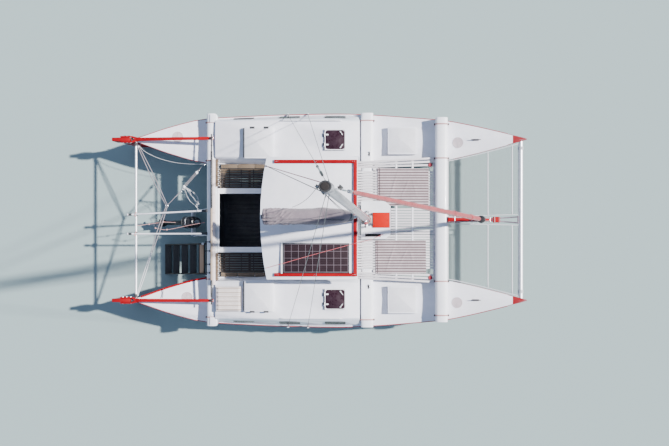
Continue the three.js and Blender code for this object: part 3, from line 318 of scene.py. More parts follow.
def rod(name: str, start: Point, end: Point, radius: float, end_radius: float | None = None, sides: int = 16,
        bevel: float = 0.0) -> bpy.types.Object:
    """Makes a round bar or cone between two points, its rims rounded.

    Args:
        name: The piece's name.
        start: The middle of one end.
        end: The middle of the other end.
        radius: Radius at the start.
        end_radius: Radius at the end, if it differs.
        sides: Sides round it.
        bevel: How far both rims are rounded.

    Returns:
        The piece.
    """
    a, b = Vector(start), Vector(end)
    bpy.ops.object.select_all(action="DESELECT")
    bpy.ops.mesh.primitive_cone_add(
        vertices=sides, radius1=radius, radius2=radius if end_radius is None else end_radius,
        depth=(b - a).length, location=(a + b) / 2, rotation=(b - a).to_track_quat("Z", "Y").to_euler())
    bpy.ops.object.transform_apply(location=True, rotation=True, scale=True)
    if bevel > 0:
        piece = bpy.context.view_layer.objects.active
        axis = (b - a).normalized()
        choose(piece, lambda middle, normal: abs(normal.dot(axis)) > 0.9)
        bpy.ops.mesh.region_to_loop()
        bpy.ops.mesh.bevel(offset=bevel, segments=2, affect="EDGES")
        leave_edit()
    return settle(name)


def turned(name: str, start: Point, axis: Point, profile: Sequence[tuple[float, float]],
           sides: int = 24) -> bpy.types.Object:
    """Turns a profile about an axis: a rim is extruded and scaled from each step of it to the next.

    Args:
        name: The piece's name.
        start: Where the profile's zero height is.
        axis: The direction that it rises in.
        profile: Rows of height and radius, from the foot up.
        sides: Sides round it.

    Returns:
        The piece.
    """
    (height, radius), *rest = profile
    bpy.ops.object.select_all(action="DESELECT")
    bpy.ops.mesh.primitive_circle_add(vertices=sides, radius=radius, location=(0, 0, height), fill_type="NGON")
    bpy.ops.object.transform_apply(location=True, rotation=True, scale=True)
    bpy.ops.object.mode_set(mode="EDIT")
    bpy.ops.mesh.select_all(action="SELECT")
    for next_height, next_radius in rest:
        bpy.ops.mesh.extrude_region_move(TRANSFORM_OT_translate={"value": (0, 0, next_height - height)})
        share = next_radius / radius
        bpy.ops.transform.resize(value=(share, share, 1), center_override=(0, 0, next_height))
        height, radius = next_height, next_radius
    bpy.ops.mesh.select_all(action="SELECT")
    bpy.ops.mesh.normals_make_consistent(inside=False)
    leave_edit()
    piece = bpy.context.view_layer.objects.active
    piece.rotation_euler = Vector(axis).to_track_quat("Z", "Y").to_euler()
    piece.location = start
    return settle(name)


def ring(name: str, middle: Point, axis: Point, major: float, minor: float, around: int = 24,
         section: int = 8) -> bpy.types.Object:
    """Makes a round ring of round section about an axis."""
    bpy.ops.object.select_all(action="DESELECT")
    bpy.ops.mesh.primitive_torus_add(
        major_radius=major, minor_radius=minor, major_segments=around, minor_segments=section, location=middle,
        rotation=Vector(axis).to_track_quat("Z", "Y").to_euler())
    return settle(name, 60.0)


def ball(name: str, middle: Point, radius: float, squash: float = 1.0, segments: int = 16) -> bpy.types.Object:
    """Makes a ball, flattened along Z by squash."""
    bpy.ops.object.select_all(action="DESELECT")
    bpy.ops.mesh.primitive_uv_sphere_add(
        segments=segments, ring_count=segments // 2, radius=radius, location=middle, scale=(1, 1, squash))
    return settle(name, 60.0)


def slab(name: str, outline: Sequence[tuple[float, float]], low: float, high: float,
         bevel: float = 0.003) -> bpy.types.Object:
    """Stands an outline drawn in X and Y between two heights: a flat face is shaped, extruded and bevelled.

    Args:
        name: The piece's name.
        outline: Its corners in order.
        low: Height of its underside.
        high: Height of its top.
        bevel: How far its edges are rounded.

    Returns:
        The piece.
    """
    bpy.ops.object.select_all(action="DESELECT")
    bpy.ops.mesh.primitive_circle_add(vertices=len(outline), radius=1.0, fill_type="NGON")
    piece = bpy.context.view_layer.objects.active
    for vertex, (x, y) in zip(piece.data.vertices, outline):
        vertex.co = (x, y, low)
    bpy.ops.object.mode_set(mode="EDIT")
    bpy.ops.mesh.select_all(action="SELECT")
    bpy.ops.mesh.extrude_region_move(TRANSFORM_OT_translate={"value": (0, 0, high - low)})
    bpy.ops.mesh.select_all(action="SELECT")
    bpy.ops.mesh.normals_make_consistent(inside=False)
    if bevel > 0:
        bpy.ops.mesh.bevel(offset=bevel, segments=2, affect="EDGES")
    leave_edit()
    return settle(name)


def surface(name: str, rows: Sequence[Sequence[Point]], closed: bool = False, capped: bool = False,
            smooth: float | None = 60.0) -> bpy.types.Object:
    """Makes a surface through rows of points, with a UV map: u along the rows, v round them.

    Args:
        name: The piece's name.
        rows: Rows of equal length.
        closed: True where each row is a ring.
        capped: True to close both ends of a tube.
        smooth: Shading angle, as in settle().

    Returns:
        The piece.
    """
    count = len(rows[0])
    last = count if closed else count - 1
    faces = [(r * count + i, r * count + (i + 1) % count, (r + 1) * count + (i + 1) % count, (r + 1) * count + i)
             for r in range(len(rows) - 1) for i in range(last)]
    corners = [((r / (len(rows) - 1), i / last), (r / (len(rows) - 1), (i + 1) / last),
                ((r + 1) / (len(rows) - 1), (i + 1) / last), ((r + 1) / (len(rows) - 1), i / last))
               for r in range(len(rows) - 1) for i in range(last)]
    if capped:
        faces += [tuple(range(count))[::-1], tuple((len(rows) - 1) * count + i for i in range(count))]
        corners += [((0.0, 0.0),) * count, ((1.0, 0.0),) * count]
    mesh = bpy.data.meshes.new(name)
    mesh.from_pydata([p for row in rows for p in row], [], faces)
    layer = mesh.uv_layers.new(name="UVMap")
    for polygon, uvs in zip(mesh.polygons, corners):
        for loop, uv in zip(polygon.loop_indices, uvs):
            layer.data[loop].uv = uv
    piece = bpy.data.objects.new(name, mesh)
    bpy.context.collection.objects.link(piece)
    pick(piece)
    if closed:
        bpy.ops.object.mode_set(mode="EDIT")
        bpy.ops.mesh.select_all(action="SELECT")
        bpy.ops.mesh.normals_make_consistent(inside=False)
        leave_edit()
    return settle(name, smooth)


def tube(name: str, path: Sequence[Point], radii: Sequence[float] | float, sides: int = 8,
         capped: bool = True) -> bpy.types.Object:
    """Sweeps a ring along a path without twisting it; UV u is the length in metres.

    Args:
        name: The piece's name.
        path: The middle line.
        radii: The radius, or one for each point.
        sides: Sides round it.
        capped: True to close its ends.

    Returns:
        The piece.
    """
    points = [Vector(p) for p in path]
    sizes = [radii] * len(points) if isinstance(radii, float) else list(radii)
    tangent = (points[1] - points[0]).normalized()
    across = tangent.orthogonal().normalized()
    rows, lengths, length = [], [], 0.0
    for i, point in enumerate(points):
        ahead = points[min(i + 1, len(points) - 1)] - points[max(i - 1, 0)]
        new = ahead.normalized()
        across = (tangent.rotation_difference(new) @ across).normalized()
        across = (across - new * across.dot(new)).normalized()
        tangent = new
        beside = tangent.cross(across)
        rows.append([tuple(point + (across * math.cos(a) + beside * math.sin(a)) * sizes[i])
                     for a in (2 * math.pi * k / sides for k in range(sides))])
        lengths.append(length)
        if i + 1 < len(points):
            length += (points[i + 1] - point).length
    piece = surface(name, rows, closed=True, capped=capped)
    share = length / max(1, len(rows) - 1)
    for loop in piece.data.uv_layers[0].data:
        row = min(len(lengths) - 1, round(loop.uv.x * (len(rows) - 1)))
        loop.uv.x = lengths[row] if share > 0 else 0.0
    return piece


def joined(name: str, parts: Iterable[bpy.types.Object]) -> bpy.types.Object:
    """Joins pieces into one object with that name."""
    parts = list(parts)
    pick(*parts)
    if len(parts) > 1:
        bpy.ops.object.join()
    parts[0].name = name
    parts[0].data.name = name
    return parts[0]


def copied(piece: bpy.types.Object, name: str, offset: Point) -> bpy.types.Object:
    """Makes a copy of a piece with its own mesh, moved by an offset in the mesh."""
    pick(piece)
    bpy.ops.object.duplicate(linked=False)
    twin = bpy.context.view_layer.objects.active
    twin.location = offset
    return settle(name, None)



def refined(name: str, node: str, bevel: float = 0.004, segments: int = 2, angle: float = 40.0,
            smooth: float = 38.0) -> bpy.types.Object:
    """Copies a node's solid, joins its loose triangles into faces and rounds its edges.

    Args:
        name: The new piece's name.
        node: The node that it stands for.
        bevel: How far its edges are rounded, or 0 for none.
        segments: Steps round an edge.
        angle: Edges sharper than this many degrees are rounded.
        smooth: Shading angle, as in settle().

    Returns:
        The piece.
    """
    pick(frame["nodes"][node])
    bpy.ops.object.duplicate(linked=False)
    piece = bpy.context.view_layer.objects.active
    world = piece.matrix_world.copy()
    piece.parent = None
    piece.matrix_world = world
    piece.data.materials.clear()
    bpy.ops.object.mode_set(mode="EDIT")
    bpy.ops.mesh.select_all(action="SELECT")
    bpy.ops.mesh.remove_doubles(threshold=0.00005)
    bpy.ops.mesh.customdata_custom_splitnormals_clear()
    bpy.ops.mesh.dissolve_limited(angle_limit=math.radians(0.6))
    leave_edit()
    if bevel > 0:
        round_edges(piece, bevel, segments, angle)
    return settle(name, smooth)


def body_of(node: str) -> str:
    """The body that a node rides on."""
    return next(body for body, nodes in frame["record"]["behaviour"]["bodies"].items() if node in nodes)


# Shader graphs and the effects that several finishes share

Socket = bpy.types.NodeSocket


class Graph:
    """A node tree with short calls that add a node and join it up."""

    def __init__(self, tree: bpy.types.NodeTree) -> None:
        """Takes the tree that it adds to."""
        self.tree = tree

    def feed(self, socket: Socket, value: object) -> None:
        """Links a socket to another, or sets its own value."""
        if isinstance(value, bpy.types.NodeSocket):
            self.tree.links.new(value, socket)
        elif isinstance(value, tuple) and len(value) == 3 and socket.type == "RGBA":
            socket.default_value = (*value, 1.0)
        else:
            socket.default_value = value

    def add(self, kind: str, inputs: dict[str | int, object] | None = None, **settings: object) -> bpy.types.Node:
        """Adds a node.

        Args:
            kind: Its Blender type.
            inputs: Values or sockets for its inputs.
            settings: Its own settings.

        Returns:
            The node.
        """
        node = self.tree.nodes.new(kind)
        for key, value in settings.items():
            setattr(node, key, value)
        for key, value in (inputs or {}).items():
            self.feed(node.inputs[key], value)
        return node

    def math(self, operation: str, a: object, b: object = 0.0, clamp: bool = False) -> Socket:
        """Adds a Math node and gives its result."""
        return self.add("ShaderNodeMath", {0: a, 1: b}, operation=operation, use_clamp=clamp).outputs[0]

    def noise(self, vector: Socket, scale: float | Socket, detail: float = 3.0, rough: float = 0.55) -> Socket:
        """Adds a noise texture and gives its value."""
        inputs = {"Vector": vector, "Scale": scale, "Detail": detail, "Roughness": rough}
        return self.add("ShaderNodeTexNoise", inputs).outputs["Fac"]

    def stretch(self, vector: Socket, scale: Point, turn: Point = (0, 0, 0), place: Point = (0, 0, 0)) -> Socket:
        """Adds a Mapping node that moves, turns and stretches coordinates."""
        return self.add("ShaderNodeMapping", {"Vector": vector, "Location": place, "Rotation": turn,
                                              "Scale": scale}).outputs[0]

    def span(self, value: Socket, low: float, high: float, to_low: float = 0.0, to_high: float = 1.0) -> Socket:
        """Maps a value's range to another one, clamped."""
        return self.add("ShaderNodeMapRange", {"Value": value, "From Min": low, "From Max": high,
                                               "To Min": to_low, "To Max": to_high}).outputs[0]

    def mix(self, share: object, a: object, b: object) -> Socket:
        """Mixes two colours."""
        node = self.add("ShaderNodeMix", data_type="RGBA")
        for index, value in ((0, share), (6, a), (7, b)):
            self.feed(node.inputs[index], value)
        return node.outputs[2]

    def split(self, vector: Socket) -> tuple[Socket, Socket, Socket]:
        """Takes a vector apart."""
        node = self.add("ShaderNodeSeparateXYZ", {0: vector})
        return node.outputs[0], node.outputs[1], node.outputs[2]

    def place(self) -> Socket:
        """Object coordinates."""
        return self.add("ShaderNodeTexCoord").outputs["Object"]

    def unwrapped(self) -> Socket:
        """The piece's own UV map."""
        return self.add("ShaderNodeTexCoord").outputs["UV"]

    def facing(self) -> tuple[Socket, Socket, Socket]:
        """The surface's normal, taken apart."""
        return self.split(self.add("ShaderNodeNewGeometry").outputs["Normal"])


class Effect(Enum):
    """Effects over a surface that several finishes use, each one shader node group."""

    MOTTLE = "slow colour change"
    SPECKLE = "fine grit"
    GRAIN = "wood grain"
    WEAVE = "crossed threads"
    GRIME = "settled dust"
    LAY = "twisted strands"
    STREAK = "run-down marks"
    WORN = "edge wear"

    def group(self) -> bpy.types.ShaderNodeTree:
        """The group, built the first time that it is asked for."""
        found = bpy.data.node_groups.get(self.value)
        return found if found else self._built()

    def _built(self) -> bpy.types.ShaderNodeTree:
        """Builds the group: inputs Vector and Scale, outputs Mask and Height."""
        tree = bpy.data.node_groups.new(self.value, "ShaderNodeTree")
        tree.interface.new_socket("Vector", in_out="INPUT", socket_type="NodeSocketVector")
        scale = tree.interface.new_socket("Scale", in_out="INPUT", socket_type="NodeSocketFloat")
        scale.default_value = 1.0
        tree.interface.new_socket("Mask", in_out="OUTPUT", socket_type="NodeSocketFloat")
        tree.interface.new_socket("Height", in_out="OUTPUT", socket_type="NodeSocketFloat")
        graph = Graph(tree)
        source = graph.add("NodeGroupInput")
        target = graph.add("NodeGroupOutput")
        mask, height = getattr(self, "_" + self.name.lower())(graph, source.outputs[0], source.outputs[1])
        graph.feed(target.inputs[0], mask)
        graph.feed(target.inputs[1], height)
        return tree

    def _mottle(self, graph: Graph, vector: Socket, scale: Socket) -> tuple[Socket, Socket]:
        """Two slow noises over each other."""
        coarse = graph.noise(vector, scale, 4.0, 0.6)
        fine = graph.noise(vector, graph.math("MULTIPLY", scale, 7.3), 3.0)
        both = graph.math("ADD", graph.math("MULTIPLY", coarse, 0.7), graph.math("MULTIPLY", fine, 0.3))
        return graph.span(both, 0.38, 0.62), both

    def _speckle(self, graph: Graph, vector: Socket, scale: Socket) -> tuple[Socket, Socket]:
        """Grains of grit under paint."""
        cells = graph.add("ShaderNodeTexVoronoi", {"Vector": vector, "Scale": scale})
        grain = graph.span(cells.outputs["Distance"], 0.55, 0.1)
        return grain, graph.math("MULTIPLY", grain, graph.noise(vector, scale, 2.0))

    def _grain(self, graph: Graph, vector: Socket, scale: Socket) -> tuple[Socket, Socket]:
        """Long fibres along X with slower bands between them."""
        fibre = graph.noise(graph.stretch(vector, (1.2, 60.0, 60.0)), scale, 5.0, 0.6)
        band = graph.noise(graph.stretch(vector, (0.5, 14.0, 14.0)), scale, 2.0, 0.5)
        both = graph.math("ADD", graph.math("MULTIPLY", fibre, 0.6), graph.math("MULTIPLY", band, 0.4))
        return graph.span(both, 0.36, 0.64), fibre

    def _weave(self, graph: Graph, vector: Socket, scale: Socket) -> tuple[Socket, Socket]:
        """Threads that cross over and under each other."""
        x, y, z = graph.split(vector)
        along = graph.math("SINE", graph.math("MULTIPLY", graph.math("ADD", x, z), scale))
        across = graph.math("SINE", graph.math("MULTIPLY", graph.math("ADD", y, z), scale))
        height = graph.math("MULTIPLY", along, across)
        return graph.span(height, -0.6, 0.6), height

    def _grime(self, graph: Graph, vector: Socket, scale: Socket) -> tuple[Socket, Socket]:
        """Dust that lies on faces that look up, in drifts."""
        _, _, up = graph.facing()
        drift = graph.span(graph.noise(vector, scale, 6.0, 0.65), 0.42, 0.72)
        mask = graph.math("MULTIPLY", drift, graph.span(up, 0.2, 0.9), clamp=True)
        return mask, drift

    def _lay(self, graph: Graph, vector: Socket, scale: Socket) -> tuple[Socket, Socket]:
        """Strands that wind round a rope: UV u is the length, v goes round."""
        u, v, _ = graph.split(vector)
        turns = graph.math("ADD", graph.math("MULTIPLY", u, scale), graph.math("MULTIPLY", v, 3.0))
        wave = graph.math("SINE", graph.math("MULTIPLY", turns, 2 * math.pi))
        return graph.span(wave, -0.2, 0.9), graph.math("ABSOLUTE", wave)

    def _streak(self, graph: Graph, vector: Socket, scale: Socket) -> tuple[Socket, Socket]:
        """Faint marks that run down from an edge on upright faces."""
        _, _, up = graph.facing()
        upright = graph.span(graph.math("ABSOLUTE", up), 0.7, 0.2)
        run = graph.noise(graph.stretch(vector, (1.0, 1.0, 0.08)), scale, 5.0, 0.6)
        mask = graph.math("MULTIPLY", graph.span(run, 0.5, 0.72), upright, clamp=True)
        return mask, run

    def _worn(self, graph: Graph, vector: Socket, scale: Socket) -> tuple[Socket, Socket]:
        """Edges rubbed bare here and there."""
        edge = graph.span(graph.add("ShaderNodeNewGeometry").outputs["Pointiness"], 0.53, 0.60)
        patch = graph.span(graph.noise(vector, scale, 5.0, 0.6), 0.40, 0.60)
        mask = graph.math("MULTIPLY", edge, patch, clamp=True)
        return mask, edge


# Finishes


@dataclass(frozen=True)
class Finish:
    """What a surface is made of. Its material is built once under its own name."""

    name: str
    colour: Colour
    shade: Colour
    roughness: float = 0.5

    def material(self) -> bpy.types.Material:
        """The material, built the first time that it is asked for."""
        found = bpy.data.materials.get(self.name)
        if found:
            return found
        made = bpy.data.materials.new(self.name)
        made.use_nodes = True
        made.node_tree.nodes.clear()
        made.diffuse_color = (*self.colour, 1.0)
        graph = Graph(made.node_tree)
        shader = graph.add("ShaderNodeBsdfPrincipled")
        shader.inputs["Roughness"].default_value = self.roughness
        self.dress(graph, shader)
        output = graph.add("ShaderNodeOutputMaterial")
        graph.feed(output.inputs["Surface"], shader.outputs[0])
        return made

    def dress(self, graph: Graph, shader: bpy.types.Node) -> None:
        """Fills the shader's inputs."""
        mask, _ = self.effect(graph, Effect.MOTTLE, graph.place(), 2.0)
        graph.feed(shader.inputs["Base Color"], graph.mix(mask, self.colour, self.shade))

    @staticmethod
    def effect(graph: Graph, effect: Effect, vector: Socket, scale: float) -> tuple[Socket, Socket]:
        """Places an effect's group in a material and gives its mask and its height."""
        node = graph.add("ShaderNodeGroup", node_tree=effect.group())
        graph.feed(node.inputs["Vector"], vector)
        node.inputs["Scale"].default_value = scale
        return node.outputs["Mask"], node.outputs["Height"]

    @staticmethod
    def relief(graph: Graph, shader: bpy.types.Node, height: Socket, distance: float, strength: float = 1.0) -> None:
        """Puts a height on the surface as bump, distance deep in metres."""
        bump = graph.add("ShaderNodeBump", {"Height": height, "Distance": distance, "Strength": strength})
        graph.feed(shader.inputs["Normal"], bump.outputs[0])


@dataclass(frozen=True)
class Paint(Finish):
    """Brushed or sprayed paint, with grit in it where it is walked on."""

    grit: float = 0.0
    grime: float = 0.25
    dust: Colour = (0.42, 0.40, 0.38)
    coat: float = 0.0
    shine: float = 0.5

    def dress(self, graph: Graph, shader: bpy.types.Node) -> None:
        """Slow colour change, drifts of dust, marks that run down and rubbed edges."""
        place = graph.place()
        colour = self.base(graph, place)
        drift, _ = self.effect(graph, Effect.GRIME, place, 1.7)
        runs, _ = self.effect(graph, Effect.STREAK, place, 5.0)
        colour = graph.mix(graph.math("MULTIPLY", drift, self.grime), colour, self.dust)
        colour = graph.mix(graph.math("MULTIPLY", runs, self.grime * 0.8), colour, self.dust)
        worn, _ = self.effect(graph, Effect.WORN, place, 24.0)
        colour = graph.mix(graph.math("MULTIPLY", worn, 0.35), colour, self.shade)
        graph.feed(shader.inputs["Base Color"], colour)
        uneven, slow = self.effect(graph, Effect.MOTTLE, place, 6.0)
        graph.feed(shader.inputs["Roughness"], graph.span(uneven, 0, 1, self.roughness - 0.06, self.roughness + 0.1))
        shader.inputs["Coat Weight"].default_value = self.coat
        shader.inputs["Specular IOR Level"].default_value = self.shine
        if self.grit > 0:
            _, grain = self.effect(graph, Effect.SPECKLE, place, 420.0)
            self.relief(graph, shader, grain, 0.0011 * self.grit)
        else:
            self.relief(graph, shader, slow, 0.0016)

    def base(self, graph: Graph, place: Socket) -> Socket:
        """The paint's own colour before dust and wear."""
        patches, _ = self.effect(graph, Effect.MOTTLE, place, 1.3)
        return graph.mix(patches, self.colour, self.shade)


@dataclass(frozen=True)
class HullPaint(Paint):
    """Hull paint: red at the bow's tip and a dull bottom paint below the water."""

    tip: Colour = (0.26, 0.0, 0.003)
    tip_from: float = 4.128
    bottom: Colour = (0.16, 0.035, 0.03)

    def base(self, graph: Graph, place: Socket) -> Socket:
        """White with its two other zones."""
        patches, _ = self.effect(graph, Effect.MOTTLE, place, 1.3)
        white = graph.mix(patches, self.colour, self.shade)
        x, _, z = graph.split(place)
        under = graph.span(z, 0.075, 0.069)
        fouled = graph.mix(under, white, self.bottom)
        return graph.mix(graph.span(x, self.tip_from, self.tip_from + 0.006), fouled, self.tip)


@dataclass(frozen=True)
class Timber(Finish):
    """Sawn planks that run along X, each plank of its own tone; swapped lays the grain along Y."""

    pitch: float = 0.062
    start: float = 0.0
    contrast: float = 0.5
    swapped: bool = False

    def dress(self, graph: Graph, shader: bpy.types.Node) -> None:
        """Grain, and one tone a plank."""
        place = graph.place()
        if self.swapped:
            place = graph.stretch(place, (1, 1, 1), (0, 0, math.pi / 2))
        fibre, height = self.effect(graph, Effect.GRAIN, place, 1.6)
        _, y, _ = graph.split(place)
        plank = graph.math("FLOOR", graph.math("DIVIDE", graph.math("SUBTRACT", y, self.start), self.pitch))
        tone = graph.add("ShaderNodeTexWhiteNoise", {"W": plank}, noise_dimensions="1D").outputs["Value"]
        share = graph.math("ADD", graph.math("MULTIPLY", fibre, self.contrast), graph.math("MULTIPLY", tone, 0.4),
                           clamp=True)
        colour = graph.mix(share, self.colour, self.shade)
        drift, _ = self.effect(graph, Effect.GRIME, place, 3.0)
        graph.feed(shader.inputs["Base Color"], graph.mix(graph.math("MULTIPLY", drift, 0.3), colour, self.shade))
        graph.feed(shader.inputs["Roughness"], graph.span(fibre, 0, 1, self.roughness - 0.1, self.roughness + 0.1))
        self.relief(graph, shader, height, 0.0012)


@dataclass(frozen=True)
class Metal(Finish):
    """Bare or anodised metal with fine scratches."""

    polish: float = 1.0

    def dress(self, graph: Graph, shader: bpy.types.Node) -> None:
        """Scratches change its roughness, weather its colour."""
        place = graph.place()
        dull, _ = self.effect(graph, Effect.MOTTLE, place, 9.0)
        scratch = graph.noise(graph.stretch(place, (90.0, 90.0, 6.0)), 3.0, 4.0, 0.7)
        graph.feed(shader.inputs["Base Color"], graph.mix(dull, self.colour, self.shade))
        graph.feed(shader.inputs["Roughness"],
                   graph.span(scratch, 0.3, 0.7, self.roughness - 0.08, self.roughness + 0.14))
        shader.inputs["Metallic"].default_value = self.polish
        self.relief(graph, shader, scratch, 0.0002)


@dataclass(frozen=True)
class Moulding(Finish):
    """Moulded plastic or rubber with a fine grain and scuffed edges."""

    grain: float = 700.0

    def dress(self, graph: Graph, shader: bpy.types.Node) -> None:
        """Fine grain, dust and scuffs."""
        place = graph.place()
        mask, _ = self.effect(graph, Effect.MOTTLE, place, 8.0)
        worn, _ = self.effect(graph, Effect.WORN, place, 40.0)
        colour = graph.mix(mask, self.colour, self.shade)
        scuffed = tuple(min(1.0, part * 2.2 + 0.04) for part in self.shade)
        graph.feed(shader.inputs["Base Color"], graph.mix(graph.math("MULTIPLY", worn, 0.6), colour, scuffed))
        graph.feed(shader.inputs["Roughness"], graph.span(mask, 0, 1, self.roughness - 0.05, self.roughness + 0.12))
        _, height = self.effect(graph, Effect.SPECKLE, place, self.grain)
        self.relief(graph, shader, height, 0.0003)


@dataclass(frozen=True)
class Glazing(Finish):
    """Smoked acrylic sheet."""

    clear: float = 0.0

    def dress(self, graph: Graph, shader: bpy.types.Node) -> None:
        """Dark, with a bloom of salt."""
        place = graph.place()
        salt, _ = self.effect(graph, Effect.GRIME, place, 9.0)
        graph.feed(shader.inputs["Base Color"], graph.mix(graph.math("MULTIPLY", salt, 0.2), self.colour, self.shade))
        graph.feed(shader.inputs["Roughness"], graph.span(salt, 0, 1, self.roughness, self.roughness + 0.25))
        shader.inputs["Specular IOR Level"].default_value = 0.3
        shader.inputs["Transmission Weight"].default_value = self.clear
        shader.inputs["IOR"].default_value = 1.49


@dataclass(frozen=True)
class SolarCells(Finish):
    """Dark cells with silver lines between them, on faces that look up; the frame is bare metal."""

    low: tuple[float, float] = (-0.980, -1.235)
    size: tuple[float, float] = (1.480, 0.670)
    counts: tuple[int, int] = (9, 4)
    line: Colour = (0.17, 0.14, 0.16)

    def dress(self, graph: Graph, shader: bpy.types.Node) -> None:
        """A grid of cells with two bars down each one."""
        place = graph.place()
        x, y, _ = graph.split(place)
        cell_x = graph.math("DIVIDE", graph.math("SUBTRACT", x, self.low[0] + 0.028),
                            (self.size[0] - 0.056) / self.counts[0])
        cell_y = graph.math("DIVIDE", graph.math("SUBTRACT", y, self.low[1] + 0.028),
                            (self.size[1] - 0.056) / self.counts[1])
        gap = graph.math("MAXIMUM", self._line(graph, cell_x, 0.030), self._line(graph, cell_y, 0.030))
        bar = self._line(graph, graph.math("MULTIPLY", cell_y, 3.0), 0.03)
        finger = graph.math("MULTIPLY", self._line(graph, graph.math("MULTIPLY", cell_x, 24.0), 0.08), 0.10)
        wires = graph.math("MAXIMUM", graph.math("MULTIPLY", bar, 0.2), finger)
        tone, _ = self.effect(graph, Effect.MOTTLE, place, 5.0)
        cells = graph.mix(tone, self.colour, self.shade)
        colour = graph.mix(gap, graph.mix(wires, cells, self.line), self.line)
        graph.feed(shader.inputs["Base Color"], colour)
        graph.feed(shader.inputs["Roughness"], graph.span(gap, 0, 1, self.roughness, 0.4))
        shader.inputs["Specular IOR Level"].default_value = 0.3
        self.relief(graph, shader, gap, 0.0004)

    @staticmethod
    def _line(graph: Graph, value: Socket, width: float) -> Socket:
        """One where a value is near a whole number, else nought."""
        near = graph.math("ABSOLUTE", graph.math("SUBTRACT", graph.math("FRACT", value), 0.5))
        return graph.span(near, 0.5 - width, 0.5 - width * 0.5)


@dataclass(frozen=True)
class Cloth(Finish):
    """Woven cloth with threads of a real width."""

    thread: float = 0.0022
    sheen: float = 0.25
    depth: float = 0.0006

    def dress(self, graph: Graph, shader: bpy.types.Node) -> None:
        """Weave, with its crossings a little darker, and faded patches."""
        place = graph.place()
        mask, height = self.effect(graph, Effect.WEAVE, place, math.pi / self.thread)
        faded, _ = self.effect(graph, Effect.MOTTLE, place, 3.0)
        colour = self.base(graph, place, faded)
        threads = tuple(part * 0.78 for part in self.shade)
        graph.feed(shader.inputs["Base Color"], graph.mix(graph.math("MULTIPLY", mask, 0.25), colour, threads))
        shader.inputs["Sheen Weight"].default_value = self.sheen
        shader.inputs["Sheen Roughness"].default_value = 0.5
        self.relief(graph, shader, height, self.depth)

    def base(self, graph: Graph, place: Socket, faded: Socket) -> Socket:
        """The cloth's colour before its threads."""
        return graph.mix(faded, self.colour, self.shade)


@dataclass(frozen=True)
class RolledSail(Cloth):
    """A sail rolled on its stay: UV u is the length, v goes round, and the seam winds with the roll."""

    pitch: float = 0.34
    light: Colour = (0.28, 0.030, 0.035)

    def base(self, graph: Graph, place: Socket, faded: Socket) -> Socket:
        """A dark seam and a pale fold that wind round the roll."""
        u, v, _ = graph.split(graph.unwrapped())
        turn = graph.math("FRACT", graph.math("SUBTRACT", graph.math("DIVIDE", u, self.pitch), v))
        cloth = graph.mix(faded, self.colour, self.shade)
        dark = tuple(part * 0.5 for part in self.shade)
        seam = graph.span(turn, 0.0, 0.09, 1.0, 0.0)
        pale = graph.math("MULTIPLY", graph.span(turn, 0.10, 0.16), graph.span(turn, 0.34, 0.26))
        return graph.mix(graph.math("MULTIPLY", pale, 0.75), graph.mix(seam, cloth, dark), self.light)


@dataclass(frozen=True)
class Striped(Cloth):
    """Cloth with stripes along X, as wide as stripe, and pale between them."""

    stripe: float = 0.062
    start: float = 0.0
    share: float = 0.3
    swapped: bool = False

    def base(self, graph: Graph, place: Socket, faded: Socket) -> Socket:
        """Stripes of the shade over the colour."""
        x, y, _ = graph.split(place)
        along = x if self.swapped else y
        turn = graph.math("FRACT", graph.math("DIVIDE", graph.math("SUBTRACT", along, self.start), self.stripe))
        wave = graph.math("ABSOLUTE", graph.math("SUBTRACT", turn, 0.5))
        band = graph.span(wave, self.share * 0.5 + 0.04, self.share * 0.5 - 0.04)
        pale = graph.mix(graph.math("MULTIPLY", faded, 0.3), self.colour, self.shade)
        return graph.mix(band, pale, self.shade)


@dataclass(frozen=True)
class Rope(Finish):
    """Laid or braided rope: UV u is the length in metres."""

    turns: float = 40.0
    fleck: float = 0.5

    def dress(self, graph: Graph, shader: bpy.types.Node) -> None:
        """Strands that wind round it, their tracer in the shade colour."""
        mask, height = self.effect(graph, Effect.LAY, graph.unwrapped(), self.turns)
        fuzz, _ = self.effect(graph, Effect.MOTTLE, graph.place(), 60.0)
        tracer = graph.math("MULTIPLY", mask, self.fleck)
        colour = graph.mix(tracer, self.colour, self.shade)
        dirt = tuple(part * 0.6 for part in self.colour)
        graph.feed(shader.inputs["Base Color"], graph.mix(graph.math("MULTIPLY", fuzz, 0.35), colour, dirt))
        shader.inputs["Sheen Weight"].default_value = 0.2
        self.relief(graph, shader, height, 0.0009)


WHITE_HULL = HullPaint("hull_white_paint", (0.80, 0.82, 0.88), (0.72, 0.75, 0.83), 0.34, coat=0.3, grime=0.12)
WHITE_DECK = Paint("deck_white_paint", (0.82, 0.82, 0.87), (0.74, 0.75, 0.82), 0.56, grit=0.8, grime=0.16)
WHITE_GRIP = Paint("deck_grip_paint", (0.76, 0.76, 0.80), (0.68, 0.68, 0.73), 0.66, grit=1.6, grime=0.2)
WHITE_GLOSS = Paint("beam_white_paint", (0.88, 0.88, 0.91), (0.80, 0.81, 0.86), 0.36, coat=0.25, grime=0.1)
BLUSH_GRIP = Paint("inspection_plate_plastic", (0.52, 0.45, 0.47), (0.42, 0.36, 0.39), 0.6, grit=1.2, grime=0.2)
RED_PAINT = Paint("red_gloss_paint", (0.34, 0.0, 0.004), (0.25, 0.0, 0.004), 0.5, grime=0.0, shine=0.2)
DARK_RED = Paint("dark_red_paint", (0.34, 0.022, 0.035), (0.26, 0.018, 0.03), 0.5, grime=0.08)
# Near-black paint for the cockpit well, its duckboards and the locker's slot: partly the well's dark paint, partly
# painted shade of these deep places.
WELL_PAINT_AND_SHADE = Paint("cockpit_well_paint", (0.012, 0.012, 0.015), (0.02, 0.02, 0.024), 0.7, grit=1.2, grime=0.04)
PALE_TIMBER = Timber("painted_slat_timber", (0.72, 0.70, 0.72), (0.52, 0.48, 0.50), 0.66, start=0.314)
